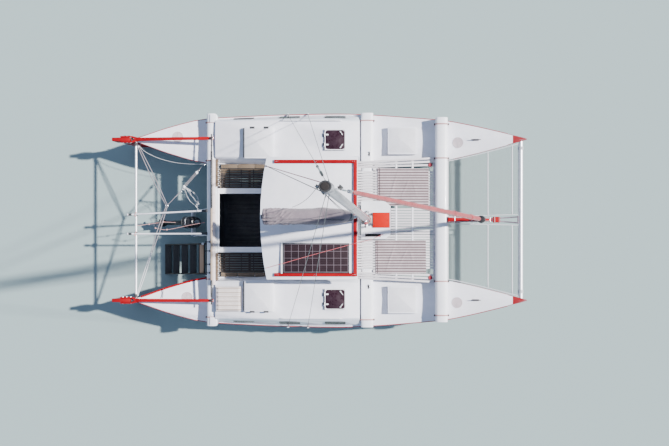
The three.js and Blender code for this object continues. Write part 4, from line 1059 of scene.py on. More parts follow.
# Near-black bench timber: painted shade of the hard roof over the benches.
SHADED_BENCH_TIMBER = Timber("weathered_bench_timber", (0.060, 0.047, 0.040), (0.024, 0.018, 0.016), 0.75, pitch=0.058,
                      start=0.753)
# Tan seat timber: the ledges' and foot boards' own colour, and painted sunlight on the port bench's outboard slats.
SEAT_AND_SUNLIT_TIMBER = Timber("worn_seat_timber", (0.165, 0.120, 0.080), (0.075, 0.052, 0.034), 0.75, pitch=0.058)
# The top tread's timber in a brightened tone: painted sunlight.
SUNLIT_TREAD_TIMBER = Timber("oiled_tread_timber", (0.66, 0.43, 0.27), (0.42, 0.26, 0.15), 0.6, pitch=0.12, swapped=True)
BATTEN_TIMBER = Timber("bleached_batten_timber", (0.84, 0.76, 0.76), (0.60, 0.48, 0.44), 0.7, pitch=0.12,
                       swapped=True)
# Near-black timber: painted shade on the ladder, its lower treads and the bench battens.
SHADED_TIMBER = Timber("wet_tread_timber", (0.035, 0.026, 0.02), (0.016, 0.012, 0.01), 0.5, pitch=0.12, swapped=True)
FORK_ALLOY = Metal("dull_fork_alloy", (0.26, 0.22, 0.26), (0.15, 0.12, 0.15), 0.5, polish=0.6)
PALE_ALLOY = Metal("anodised_alloy", (0.66, 0.67, 0.69), (0.50, 0.51, 0.54), 0.36, polish=0.85)
CLEAT_ALLOY = Metal("weathered_cleat_alloy", (0.16, 0.15, 0.16), (0.08, 0.075, 0.085), 0.5, polish=0.7)
TUBE_ALLOY = Metal("painted_tube_alloy", (0.80, 0.80, 0.83), (0.70, 0.70, 0.75), 0.32, polish=0.35)
STEEL = Metal("stainless_steel", (0.68, 0.68, 0.70), (0.50, 0.50, 0.53), 0.22)
BRONZE = Metal("propeller_alloy", (0.42, 0.42, 0.43), (0.30, 0.29, 0.29), 0.3)
BLACK_FITTING = Moulding("black_fitting_plastic", (0.016, 0.016, 0.018), (0.03, 0.03, 0.032), 0.45)
BROWN_CAP = Moulding("masthead_cap_rubber", (0.0085, 0.0045, 0.0035), (0.005, 0.003, 0.003), 0.7)
WHITE_PLASTIC = Moulding("white_fitting_plastic", (0.80, 0.80, 0.82), (0.68, 0.68, 0.70), 0.4)
MOTOR_SHELL = Moulding("motor_cowl_paint", (0.010, 0.010, 0.012), (0.018, 0.018, 0.02), 0.26, grain=260.0)
SMOKED = Glazing("smoked_acrylic_sheet", (0.022, 0.008, 0.014), (0.10, 0.07, 0.09), 0.25)
CLEAR_PANE = Glazing("tinted_pane", (0.10, 0.09, 0.10), (0.4, 0.4, 0.4), 0.08, clear=0.75)
CELLS = SolarCells("solar_cell_glass", (0.014, 0.007, 0.009), (0.024, 0.012, 0.015), 0.3)
COVER_CANVAS = Cloth("woven_cover_canvas", (0.250, 0.205, 0.228), (0.190, 0.152, 0.172), 0.85)
SAIL_CLOTH = RolledSail("rolled_sail_cloth", (0.38, 0.050, 0.055), (0.27, 0.030, 0.036), 0.75, thread=0.0012)
MAT_CLOTH = Striped("striped_mat_cloth", (0.56, 0.48, 0.50), (0.115, 0.075, 0.080), 0.9, start=0.327, share=0.44)
CUSHION_CLOTH = Striped("ribbed_cushion_cloth", (0.80, 0.74, 0.71), (0.40, 0.32, 0.27), 0.9, stripe=0.590 / 6,
                        start=-2.125, share=0.22)
NET_CORD = Rope("braided_net_cord", (0.20, 0.23, 0.22), (0.12, 0.14, 0.14), 0.8)
WHITE_ROPE = Rope("white_rope", (0.74, 0.74, 0.76), (0.26, 0.28, 0.32), 0.8, fleck=0.6)
GREY_ROPE = Rope("worn_bridle_rope", (0.30, 0.27, 0.29), (0.10, 0.09, 0.10), 0.8, fleck=0.6)
RED_ROPE = Rope("red_rope", (0.50, 0.035, 0.05), (0.72, 0.60, 0.60), 0.75, fleck=0.35)
PINK_ROPE = Rope("faded_red_rope", (0.55, 0.26, 0.25), (0.70, 0.56, 0.54), 0.8)
DARK_ROPE = Rope("dark_rope", (0.045, 0.035, 0.042), (0.16, 0.12, 0.13), 0.8, fleck=0.4)
TAN_ROPE = Rope("tarred_lashing", (0.42, 0.33, 0.25), (0.25, 0.18, 0.13), 0.85)


SLOT_FINISHES: dict[str, tuple[Finish, ...]] = {
    "net_cord": (WHITE_ROPE, RED_ROPE, PINK_ROPE, TAN_ROPE, GREY_ROPE, DARK_ROPE, NET_CORD,),
    "rig_steel": (STEEL, CLEAT_ALLOY,),
    "fitting_black": (BLACK_FITTING, WELL_PAINT_AND_SHADE,),
    "deck_white": (WHITE_PLASTIC, WHITE_GRIP, BLUSH_GRIP, WHITE_DECK,),
    "hull_white": (WHITE_GLOSS,),
}
USUAL_SLOTS = {finish.name: slot for slot, finishes in SLOT_FINISHES.items() for finish in finishes}


def dress(piece: bpy.types.Object, finish: Finish, body: str = "boat", slot: str = "",
          stands_for: Sequence[str] = ()) -> bpy.types.Object:
    """Gives a piece its material, its body and its slot.

    Args:
        piece: The finished piece.
        finish: What it is made of.
        body: The body that it rides on.
        slot: The record's material slot, or the finish's usual one when left out; not used, as place() does nothing
            with it.
        stands_for: The nodes that it replaces.

    Returns:
        The piece.
    """
    piece.data.materials.clear()
    piece.data.materials.append(finish.material())
    return place(piece, body, slot or USUAL_SLOTS.get(finish.name, ""), stands_for)


def place(piece: bpy.types.Object, body: str, slot: str = "", stands_for: Sequence[str] = ()) -> bpy.types.Object:
    """Puts a piece on its body and hides the nodes that it replaces."""
    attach(piece, body)
    if stands_for:
        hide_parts(*stands_for)
    return piece


def second_finish(piece: bpy.types.Object, finish: Finish, test: Callable[[Vector, Vector], bool]) -> None:
    """Gives the faces that pass a test another material.

    Args:
        piece: A piece that has its first material.
        finish: The other finish.
        test: Takes a face's middle and its normal.
    """
    piece.data.materials.append(finish.material())
    index = len(piece.data.materials) - 1
    for face in piece.data.polygons:
        if test(face.center, face.normal):
            face.material_index = index


def stood_for(node: str, finish: Finish, slot: str, bevel: float = 0.004, **shape: float) -> bpy.types.Object:
    """Replaces a node by a finer copy of itself in a finish.

    Args:
        node: The node.
        finish: What it is made of.
        slot: The record's material slot.
        bevel: How far its edges are rounded.
        shape: More of refined()'s arguments.

    Returns:
        The copy.
    """
    piece = refined(node + "_shape", node, bevel, **shape)
    return dress(piece, finish, body_of(node), slot, [node])


def fair_sheer() -> tuple[tuple[float, float, float], ...]:
    """The sheer line with two more rows in each gap, on a smooth curve that never overshoots."""
    tilts = []
    for column in (1, 2):
        rises = [(b[column] - a[column]) / (b[0] - a[0]) for a, b in zip(SHEER_LINE, SHEER_LINE[1:])]
        pairs = zip([rises[0], *rises], [*rises, rises[-1]])
        tilts.append([0.0 if a * b <= 0 else 2 * a * b / (a + b) for a, b in pairs])
    rows = []
    for i, (a, b) in enumerate(zip(SHEER_LINE, SHEER_LINE[1:])):
        for t in (0.0, 1 / 3, 2 / 3):
            ease = t * t * (3 - 2 * t)
            row = [a[0] + (b[0] - a[0]) * t]
            for tilt, p, q in zip(tilts, a[1:], b[1:]):
                bend = t * (1 - t) * ((1 - t) * tilt[i] - t * tilt[i + 1])
                row.append(p + (q - p) * ease + (b[0] - a[0]) * bend)
            rows.append(tuple(row))
    return (*rows, SHEER_LINE[-1])


FAIR_SHEER = fair_sheer()


# Sub-assemblies


@dataclass
class Hulls:
    """Both hulls with their edge strips, inspection plates and cleats."""

    strip: float = 0.013
    plate_radius: float = 0.125
    fore_plates: tuple[tuple[float, float], ...] = ((2.988, 1.807), (2.970, -1.924))
    aft_plates: tuple[tuple[float, float], ...] = ((-3.555, 1.948), (-3.339, -1.800))
    cleat_x: float = 3.400

    def build(self) -> None:
        """Builds and dresses both sides."""
        for side in SIDES:
            self.shell(side)
            self.edge_strips(side)
            self.cleat(side)
        for i, (x, y) in enumerate(self.fore_plates + self.aft_plates):
            self.inspection_plate(f"inspection_plate_{i + 1}", x, y)

    def shell(self, side: Side) -> None:
        """The hull: glossy sides and a gritty deck."""
        hull = stood_for(f"{side.word}_hull", WHITE_HULL, "hull_white", 0.0, smooth=24.0)
        second_finish(hull, WHITE_DECK, lambda middle, normal: normal.z > 0.75 and middle.z > 0.85
                      and middle.x < WHITE_HULL.tip_from - 0.2)

    def edge_strips(self, side: Side) -> None:
        """Rounded rubbing strips along the deck's edges, as thick as the real ones."""
        runs = [("outer", side.value, -4.52, 4.17, self.strip),
                ("inner_bow", -side.value, 2.76, 4.17, self.strip * 0.6),
                ("inner_stern", -side.value, -4.40, -2.86, self.strip * (1.9 if side is Side.STARBOARD else 0.8))]
        for word, out, aft, fore, size in runs:
            path = []
            for x, half, sheer in FAIR_SHEER:
                if aft <= x <= fore:
                    path.append((x, side.centre + out * (half - 0.001), sheer - 0.012))
            strip = tube(f"{side.word}_{word}_strip", path, size, 8)
            dress(strip, RED_PAINT if word == "inner_stern" and side is Side.STARBOARD else DARK_RED,
                  slot="red_paint")

    def inspection_plate(self, name: str, x: float, y: float) -> None:
        """A round screwed plate set in the deck, with a raised rim and two key holes."""
        half, _ = blend_rows(FAIR_SHEER, x)
        side = math.copysign(1.0, y)
        across = abs(y) - HULL_CENTRE
        z = deck_height(x, across) - 0.001
        slope = (deck_height(x, abs(across) + 0.05) - deck_height(x, abs(across))) / 0.05
        lean = (0.0, -slope * math.copysign(1.0, across) * side, 1.0)
        rise = (deck_height(x + 0.1, across) - deck_height(x - 0.1, across)) / 0.2
        axis = (-rise, lean[1], 1.0)
        r = min(self.plate_radius, half * 0.5)
        cover = turned(name, (x, y, z), axis, [(-0.004, r), (0.006, r), (0.009, r - 0.004), (0.009, r - 0.014),
                                               (0.005, r - 0.018), (0.005, r * 0.30), (0.008, r * 0.27),
                                               (0.008, r * 0.10)], 32)
        bars = [block("bar", (x - 0.004, y - r * 0.8, z + 0.004), (x + 0.004, y + r * 0.8, z + 0.0085), 0.001)]
        for k in range(10):
            turn = 2 * math.pi * k / 10
            at = Vector((x + math.cos(turn) * (r - 0.009), y + math.sin(turn) * (r - 0.009), z + 0.008))
            bars.append(ball("screw", tuple(at), 0.0035, 0.6, 8))
        dress(joined(name, [cover, *bars]), BLUSH_GRIP)

    def cleat(self, side: Side) -> None:
        """A two-horned mooring cleat, its bar turned up at both ends."""
        x, y = self.cleat_x, side.centre
        z = deck_height(x, 0.0)
        bar = tube(
            "bar",
            smooth_path(
                [
                    (x - 0.118, y, z + 0.056), (x - 0.07, y, z + 0.052), (x, y, z + 0.051), (x + 0.07, y, z + 0.052),
                    (x + 0.118, y, z + 0.056),
                ],
                3,
            ),
            [0.005, 0.0075, 0.0095, 0.0105, 0.011, 0.0115, 0.012, 0.0115, 0.011, 0.0105, 0.0095, 0.0075, 0.005], 12,
        )
        parts = [bar, block("foot", (x - 0.074, y - 0.022, z - 0.004), (x + 0.074, y + 0.022, z + 0.009), 0.003)]
        for dx in (-0.045, 0.045):
            parts.append(turned("post", (x + dx, y, z + 0.004), (0, 0, 1),
                                [(0.0, 0.019), (0.008, 0.013), (0.03, 0.010), (0.046, 0.012)], 16))
            parts += [ball("bolt", (x + dx * 1.42, y + dy, z + 0.0105), 0.006, 0.4, 8) for dy in (-0.013, 0.013)]
        dress(joined(f"{side.word}_mooring_cleat", parts), CLEAT_ALLOY, slot="rig_steel",
              stands_for=[f"{side.word}_bow_cleat"])


@dataclass
class Cabins:
    """Cabin trunks with panes, hatches, hinged lids and the hardware on them."""

    window_xs: tuple[float, ...] = (-2.000, -0.930, 0.130)
    pane: tuple[float, float] = (0.470, 0.135)
    crest: float = 1.357

    def build(self) -> None:
        """Builds and dresses both sides."""
        for side in SIDES:
            cabin = stood_for(f"{side.word}_cabin", WHITE_HULL, "deck_white", 0.006, smooth=30.0)
            second_finish(cabin, WHITE_DECK, lambda middle, normal: normal.z > 0.8)
            self.panes(side)
            self.companion(side)
            self.roof_hatch(side)
            self.foredeck_lid(side)
            self.trim(side)

    def wall(self, side: Side, x: float, z: float) -> float:
        """Y of the cabin's outer wall at a station and a height."""
        foot, top, roof = blend_rows(((-2.630, 0.520, 0.430, 1.310), (-1.000, 0.604, 0.446, 1.335),
                                      (0.200, 0.622, 0.446, 1.335), (0.700, 0.606, 0.420, 1.310)), x)
        share = (z - 0.915) / (roof - 0.030 - 0.915)
        return side.centre + side.value * (foot + (top + 0.012 - foot) * share)

    def panes(self, side: Side) -> None:
        """Smoked panes screwed over the slot windows, each in a dark gasket."""
        for i, x in enumerate(self.window_xs):
            half_l, half_h = self.pane[0] / 2, self.pane[1] / 2
            rows = []
            for z in (1.135 - half_h, 1.135 + half_h):
                rows.append(
                    [(x + dx, self.wall(side, x + dx, z) + side.value * 0.006, z) for dx in (-half_l, half_l)],
                )
            sheet = surface(f"{side.word}_window_{i + 1}", rows, smooth=None)
            thicken(sheet, 0.008, 0.0)
            round_edges(sheet, 0.003, 2)
            dress(sheet, CLEAR_PANE, slot="smoked_acrylic")
            path = []
            for dx, dz in ((-1, -0.7), (-1, 0.7), (-0.93, 1), (0.93, 1), (1, 0.7), (1, -0.7), (0.93, -1), (-0.93, -1),
                           (-1, -0.7)):
                z = 1.135 + dz * half_h
                path.append((x + dx * half_l, self.wall(side, x + dx * half_l, z) + side.value * 0.010, z))
            dress(tube(f"{side.word}_gasket_{i + 1}", path, 0.007, 6), BLACK_FITTING)

    def companion(self, side: Side) -> None:
        """The hinged lid: a gritty top panel, a sloped fore strip, black hinges and a handle."""
        word, y = side.word, side.value * (HULL_CENTRE - 0.101)
        stood_for(f"{word}_companion_lid", WHITE_DECK, "deck_white", 0.009, segments=3)
        body = body_of(f"{word}_companion_lid")
        _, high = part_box(f"{word}_companion_lid")
        panel = slab(f"{word}_companion_grip", self._rounded(-1.925, -1.345, y - 0.335, y + 0.335, 0.03),
                     high[2] - 0.002,
                     high[2] + 0.0022, 0.001)
        dress(panel, WHITE_GRIP, body)
        bar = block(
            f"{word}_companion_grab", (-1.972, y - 0.340, high[2] - 0.032), (-1.938, y + 0.340, high[2] - 0.004),
            0.006,
        )
        dress(bar, BLACK_FITTING, body)
        edge = y + side.value * 0.352
        for k, x in enumerate((-1.760, -1.440)):
            parts = [block("leaf", (x - 0.055, edge - 0.030, high[2] - 0.001),
                           (x + 0.055, edge + 0.012, high[2] + 0.005), 0.002),
                     rod("pin", (x - 0.055, edge + side.value * 0.012, high[2]),
                         (x + 0.055, edge + side.value * 0.012, high[2]),
                         0.008, sides=12)]
            parts += [ball("screw", (x + dx, edge - 0.012, high[2] + 0.005), 0.006, 0.4, 8) for dx in (-0.035, 0.035)]
            dress(joined(f"{word}_companion_hinge_{k + 1}", parts), BLACK_FITTING, body)

    @staticmethod
    def _rounded(x0: float, x1: float, y0: float, y1: float, r: float, steps: int = 4) -> list[tuple[float, float]]:
        """Outline of a rectangle with round corners."""
        outline = []
        for cx, cy, first in ((x1 - r, y1 - r, 0), (x0 + r, y1 - r, 90), (x0 + r, y0 + r, 180),
                              (x1 - r, y0 + r, 270)):
            for step in range(steps + 1):
                turn = math.radians(first + 90 * step / steps)
                outline.append((cx + r * math.cos(turn), cy + r * math.sin(turn)))
        return outline

    def roof_hatch(self, side: Side) -> None:
        """A smoked sheet with round corners in a white frame, two hinge arms and two handles."""
        word, y = side.word, side.value * (HULL_CENTRE - 0.028)
        node = f"{word}_roof_hatch"
        body = body_of(node)
        low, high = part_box(node)
        x0, x1, y0, y1 = low[0], high[0], low[1], high[1]
        skirt = refined(f"{word}_hatch_frame", node, 0.0)
        choose(skirt, lambda middle, normal: normal.z > 0.9 and middle.z > high[2] - 0.002)
        bpy.ops.mesh.inset(thickness=0.018)
        bpy.ops.mesh.extrude_region_move(TRANSFORM_OT_translate={"value": (0, 0, -0.006)})
        leave_edit()
        round_edges(skirt, 0.003, 2)
        dress(skirt, WHITE_PLASTIC, body, "deck_white", [node])
        second_finish(skirt, SMOKED, lambda middle, normal: normal.z < -0.9)
        sheet = slab(f"{word}_hatch_sheet", self._rounded(x0 + 0.020, x1 - 0.020, y0 + 0.020, y1 - 0.020, 0.055, 6),
                     high[2] - 0.008, high[2] + 0.004, 0.003)
        dress(sheet, SMOKED, body, "smoked_acrylic")
        parts = []
        for dy in (-0.115, 0.115):
            parts.append(block("arm", (x0 - 0.004, y + dy - 0.015, high[2] - 0.004),
                               (x0 + 0.085, y + dy + 0.015, high[2] + 0.009), 0.004))
            parts.append(rod("knuckle", (x0 - 0.006, y + dy - 0.045, high[2] + 0.002),
                             (x0 - 0.006, y + dy + 0.045, high[2] + 0.002),
                             0.009, sides=12, bevel=0.002))
            sign = math.copysign(1.0, dy)
            boss = (x1 - 0.120, y + sign * 0.180, high[2] + 0.003)
            parts.append(rod("handle", (boss[0], boss[1], boss[2] + 0.011),
                             (x1 - 0.066, y + sign * 0.105, boss[2] + 0.013), 0.010,
                             0.008, sides=12, bevel=0.002))
            parts.append(turned("boss", boss, (0, 0, 1), [(0, 0.017), (0.011, 0.015), (0.016, 0.010)], 16))
        dress(joined(f"{word}_hatch_fittings", parts), WHITE_PLASTIC, body)
        hinge = [rod("pin", (x0 - 0.008, y - 0.225, high[2] - 0.025), (x0 - 0.008, y + 0.225, high[2] - 0.025),
                     0.0062, sides=12)]
        hinge += [block("leaf", (x0 - 0.052, y + dy - 0.03, self.crest + 0.002),
                        (x0 - 0.008, y + dy + 0.03, self.crest + 0.008), 0.002)
                  for dy in (-0.105, 0.105)]
        dress(joined(f"{word}_hatch_hinges", hinge), BLACK_FITTING)

    def foredeck_lid(self, side: Side) -> None:
        """The foredeck locker's lid with a gritty panel, a sill and two latches."""
        word, y = side.word, side.value * (HULL_CENTRE - 0.007)
        node = f"{word}_foredeck_lid"
        body = body_of(node)
        low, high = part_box(node)
        stood_for(node, WHITE_DECK, "deck_white", 0.009, segments=3)
        panel = slab(f"{word}_foredeck_grip",
                     self._rounded(low[0] + 0.035, high[0] - 0.035, low[1] + 0.035, high[1] - 0.035,
                                                            0.03), high[2] - 0.002, high[2] + 0.0022, 0.001)
        dress(panel, WHITE_GRIP, body)
        parts = [block("latch", (low[0] - 0.004, y + dy - 0.028, high[2] - 0.028),
                       (low[0] + 0.004, y + dy + 0.028, high[2] - 0.004), 0.002)
                 for dy in (-0.18, 0.18)]
        dress(joined(f"{word}_foredeck_latches", parts), STEEL, body)
        sill = block(f"{word}_foredeck_sill", (low[0] - 0.046, low[1] + 0.01, deck_height(low[0], 0.25) - 0.02),
                     (low[0] - 0.016, high[1] - 0.01, deck_height(low[0], 0.0) + 0.014), 0.005)
        dress(sill, WHITE_DECK)

    def trim(self, side: Side) -> None:
        """A grab rail along the outer edge of the cabin's top."""
        word = side.word
        for out, tag in ((side.value, "outer"), (-side.value, "inner")):
            if tag == "inner":
                continue
            parts = []
            y = side.centre + out * 0.418
            xs = [-1.05 + 0.32 * k for k in range(5)]
            parts.append(tube("rail",
                              smooth_path([(xs[0] - 0.05, y, 1.332), (xs[0], y, 1.374), (0.0 - 0.4, y, 1.380),
                                           (xs[-1], y, 1.374),
                                                   (xs[-1] + 0.05, y, 1.332)], 4), 0.011, 10))
            parts += [turned("post", (x, y, 1.326), (0, 0, 1),
                             [(0, 0.022), (0.006, 0.020), (0.012, 0.011), (0.05, 0.010)], 12) for x in xs]
            dress(joined(f"{word}_grab_rail", parts), WHITE_PLASTIC)


@dataclass(frozen=True)
class Beam:
    """One cross beam: its place, its section and the hull's deck under it."""

    node: str
    x: float
    width: float
    bottom: float
    top: float
    crown: float
    turns: int = 3

    def over(self, y: float, lift: float, z_aft: float, z_fore: float) -> list[Point]:
        """A path over the beam's back from deck to deck, clear of it by lift."""
        half = self.width / 2
        back = [(-1.0, self.top - self.crown * 2), (-0.86, self.top - self.crown * 0.9),
                (-0.5, self.top - self.crown * 0.25), (0.0, self.top), (0.5, self.top - self.crown * 0.25),
                (0.86, self.top - self.crown * 0.9), (1.0, self.top - self.crown * 2)]
        path = [(self.x - half - lift - 0.012, y, z_aft)]
        path += [(self.x + share * (half + lift), y, z + lift * (1.1 - abs(share))) for share, z in back]
        return [*path, (self.x + half + lift + 0.012, y, z_fore)]


@dataclass
class Beams:
    """The lashed cross beams and the two tubes at the ends of the boat."""

    mast_beam: Beam = Beam("mast_beam", 0.870, 0.280, 0.975, 1.150, 0.018)
    forward_beam: Beam = Beam("forward_beam", 2.600, 0.280, 1.095, 1.330, 0.026)
    aft_beam: Beam = Beam("aft_beam", -2.740, 0.200, 1.010, 1.270, 0.022)
    lashing: float = 0.0048
    eyes: tuple[tuple[float, float], ...] = ((0.918, 1.541), (0.902, -1.552))

    def build(self) -> None:
        """Builds and dresses the beams and tubes."""
        for beam in (self.mast_beam, self.forward_beam, self.aft_beam):
            stood_for(beam.node, WHITE_GLOSS, "hull_white", 0.006, segments=3, smooth=45.0)
            for side in SIDES:
                for out in (1, -1):
                    self.lashed(beam, side, out)
        self.end_blocks()
        self.oval_eyes()
        self.tubes()

    def lashed(self, beam: Beam, side: Side, out: int) -> None:
        """Turns of rope over a beam from one side of it to the other, with a dark knot at its fore and its aft foot.
        """
        half, _ = blend_rows(FAIR_SHEER, beam.x)
        across = half * (0.74 if out > 0 else -0.93)
        pitch = self.lashing * 2.15
        path: list[Point] = []
        for k in range(beam.turns):
            y = side.centre + side.value * (across + (k - (beam.turns - 1) / 2) * pitch)
            near = abs(across)
            turn = beam.over(y, self.lashing, deck_height(beam.x - beam.width / 2, near) - 0.004,
                             deck_height(beam.x + beam.width / 2, near) - 0.004)
            path += turn if k % 2 == 0 else turn[::-1]
        name = f"{beam.node}_{side.word}_lashing_{'out' if out > 0 else 'in'}"
        dress(tube(name, path, self.lashing, 8), PINK_ROPE)
        y = side.centre + side.value * across
        knots = [
            ball(
                "knot", (beam.x + fore * (beam.width / 2 + 0.016), y, beam.top - beam.crown * 2 - 0.020), 0.024, 0.8,
                12,
            )
            for fore in (-1, 1)
        ]
        dress(joined(name + "_knots", knots), DARK_ROPE)

    def end_blocks(self) -> None:
        """White blocks that cap the aft beam over each hull's outer edge."""
        for side in SIDES:
            y0, y1 = sorted((side.value * 2.252, side.value * 2.440))
            parts = [block("cap", (-2.765, y0, 1.246), (-2.602, y1, 1.288), 0.012, 3),
                     block("cheek", (-2.638, y0 + 0.012, 1.100), (-2.606, y1 - 0.012, 1.262), 0.008)]
            dress(joined(f"{side.word}_beam_end_block", parts), WHITE_GLOSS)

    def oval_eyes(self) -> None:
        """Oval fairleads on the mast beam: a steel rim round a dark hole."""
        for i, (x, y) in enumerate(self.eyes):
            rim = ring("rim", (0, 0, 0), (0, 0, 1), 0.034, 0.008, 28, 10)
            for vertex in rim.data.vertices:
                vertex.co = (x + vertex.co.x * 0.8, y + vertex.co.y * 1.35, 1.151 + vertex.co.z)
            dress(rim, STEEL).name = f"oval_fairlead_{i + 1}"
            rim.data.name = rim.name
            core = turned("core", (x, y, 1.1485), (0, 0, 1), [(0, 0.034), (0.003, 0.033), (0.002, 0.015)], 20)
            dress(core, BLACK_FITTING).name = f"fairlead_hole_{i + 1}"

    def tubes(self) -> None:
        """The bow and stern tubes with end caps and rope windings."""
        bow = stood_for("bow_tube", TUBE_ALLOY, "mast_alloy", 0.0, smooth=50.0)
        stern = stood_for("stern_tube", TUBE_ALLOY, "mast_alloy", 0.0, smooth=50.0)
        log.info("%s and %s smoothed", bow.name, stern.name)
        for side in SIDES:
            for name, x, z, y, r, count in (
                ("bow", *BOW_TUBE, 1.690, 0.048, 6), ("stern", *STERN_TUBE, 1.800, 0.026, 7),
                ("stern_mid", *STERN_TUBE, 0.140 if side is Side.PORT else 0.330, 0.026, 4),
            ):
                coils = [ring("coil", (x, side.value * (y - k * 0.0125), z), (0, 1, 0), r + 0.0055, 0.0058, 28, 8)
                         for k in range(count)]
                dress(joined(f"{side.word}_{name}_winding", coils), DARK_ROPE if name != "bow" else WHITE_ROPE,
                      slot="net_cord")


@dataclass
class BowGear:
    """The spar, its fork and the two nets between the bows."""

    cells: tuple[int, int] = (60, 50)
    cord: float = 0.0046
    aft: float = 2.758
    front: float = 4.378
    seams: tuple[float, ...] = (3.680, 4.240)

    def build(self) -> None:
        """Builds and dresses the bow gear."""
        stood_for("bow_spar", RED_PAINT, "red_paint", 0.010, segments=3)
        stood_for("spar_fork", FORK_ALLOY, "rig_steel", 0.003)
        self.spar_trim()
        self.spar_head()
        for side in SIDES:
            self.net(side)
            self.lacing(side)

    def spar_trim(self) -> None:
        """White edge lines and bands on the spar."""
        for side in SIDES:
            y = side.value
            line = tube(f"{side.word}_spar_edge", [(2.76, y * 0.050, 1.346), (3.72, y * 0.031, 1.3285)], 0.0045, 8)
            dress(line, WHITE_ROPE)
        bands = []
        for x in (2.90, 3.30, 3.72):
            share = (x - SPAR_AFT) / SPAR_LENGTH
            half = 0.066 + (0.040 - 0.066) * share + 0.004
            top = 1.345 - 0.020 * share + 0.004
            low = 1.235 + 0.020 * share - 0.004
            bands.append(
                tube(
                    "band", [(x, -half, low), (x, half, low), (x, half, top), (x, -half, top), (x, -half, low)],
                    0.007, 6,
                ),
            )
        dress(joined("spar_bands", bands), STEEL)

    def spar_head(self) -> None:
        """The red cloth wrapped round the fork's root ahead of the spar, with its two ties."""
        wrap = block("spar_head_wrap", (3.778, -0.066, 1.250), (3.952, 0.066, 1.330), 0.020, 4)
        dress(wrap, RED_PAINT, slot="red_paint")
        ties = [
            tube(
                "tie",
                [(x, -0.069, 1.247), (x, 0.069, 1.247), (x, 0.069, 1.333), (x, -0.069, 1.333), (x, -0.069, 1.247)],
                0.0055, 6,
            )
            for x in (3.815, 3.828, 3.925)
        ]
        dress(joined("spar_head_ties", ties), PINK_ROPE)

    def at(self, side: Side, u: float, w: float) -> Vector:
        """A point of the net's sagging surface: u from aft to the bow tube, w from the middle out."""
        x = self.aft + (self.front - self.aft) * u
        half, _ = blend_rows(FAIR_SHEER, x)
        inner = 0.084 + 0.040 * u
        outer = min(HULL_CENTRE - half - 0.038, 1.390 + 0.383 * u + 0.006)
        sag = 0.020 * math.sin(math.pi * u) * math.sin(math.pi * w)
        return Vector((x, side.value * (inner + (outer - inner) * w), 1.144 + 0.086 * u - sag))

    def net(self, side: Side) -> None:
        """Knotted netting: a grid is laid on the sagging surface and its edges become cords."""
        bpy.ops.object.select_all(action="DESELECT")
        bpy.ops.mesh.primitive_grid_add(x_subdivisions=self.cells[0], y_subdivisions=self.cells[1], size=2)
        grid = bpy.context.view_layer.objects.active
        for vertex in grid.data.vertices:
            vertex.co = self.at(side, (vertex.co.x + 1) / 2, (vertex.co.y + 1) / 2)
        wires = grid.modifiers.new("cords", "WIREFRAME")
        wires.thickness = self.cord
        wires.use_even_offset = False
        wires.use_boundary = True
        bpy.ops.object.modifier_apply(modifier=wires.name)
        net = settle(f"{side.word}_netting", 60.0)
        dress(net, NET_CORD, stands_for=[f"{side.word}_bow_net"])
        border = []
        for (u0, w0), (u1, w1) in (((0, 0), (1, 0)), ((1, 0), (1, 1)), ((1, 1), (0, 1)), ((0, 1), (0, 0))):
            line = [tuple(self.at(side, u0 + (u1 - u0) * k / 16, w0 + (w1 - w0) * k / 16)) for k in range(17)]
            border.append(tube("edge", line, 0.0085, 8))
        dress(joined(f"{side.word}_net_border", border), WHITE_ROPE)
        for k, x in enumerate(self.seams):
            u = (x - self.aft) / (self.front - self.aft)
            rows = [[tuple(self.at(side, u + du, w / 14) + Vector((0, 0, 0.003))) for w in range(15)]
                    for du in (-0.0085, 0.0085)]
            strap = surface(f"{side.word}_net_seam_{k + 1}", rows)
            thicken(strap, 0.003)
            dress(strap, WHITE_ROPE)

    def lacing(self, side: Side) -> None:
        """Cord laced between the net's border and what carries it on all four sides."""
        runs: list[list[Point]] = []
        for word, start, end, holds in (("hull", (0.02, 1.0), (0.97, 1.0), 15),
                                        ("beam", (0.0, 0.04), (0.0, 0.96), 12),
                                        ("tube", (1.0, 0.04), (1.0, 0.96), 14),
                                        ("spar", (0.03, 0.0), (0.60, 0.0), 9)):
            path: list[Point] = []
            for k in range(holds):
                share = k / (holds - 1)
                u = start[0] + (end[0] - start[0]) * share
                w = start[1] + (end[1] - start[1]) * share
                edge = self.at(side, u, w)
                half, sheer = blend_rows(FAIR_SHEER, edge.x)
                far = {"hull": (edge.x + 0.02, side.value * (HULL_CENTRE - half + 0.002), sheer - 0.045),
                       "beam": (SPAR_AFT, edge.y + 0.02, 1.165), "tube": (4.398, edge.y + 0.02, 1.252),
                       "spar": (edge.x + 0.02, side.value * (0.064 - 0.026 * (edge.x - SPAR_AFT) / SPAR_LENGTH),
                                1.262)}[word]
                path += [(edge.x, edge.y, edge.z + 0.006), far]
            runs.append(path)
        dress(joined(f"{side.word}_net_lacing", [tube("lace", run, 0.0028, 6) for run in runs]), WHITE_ROPE)


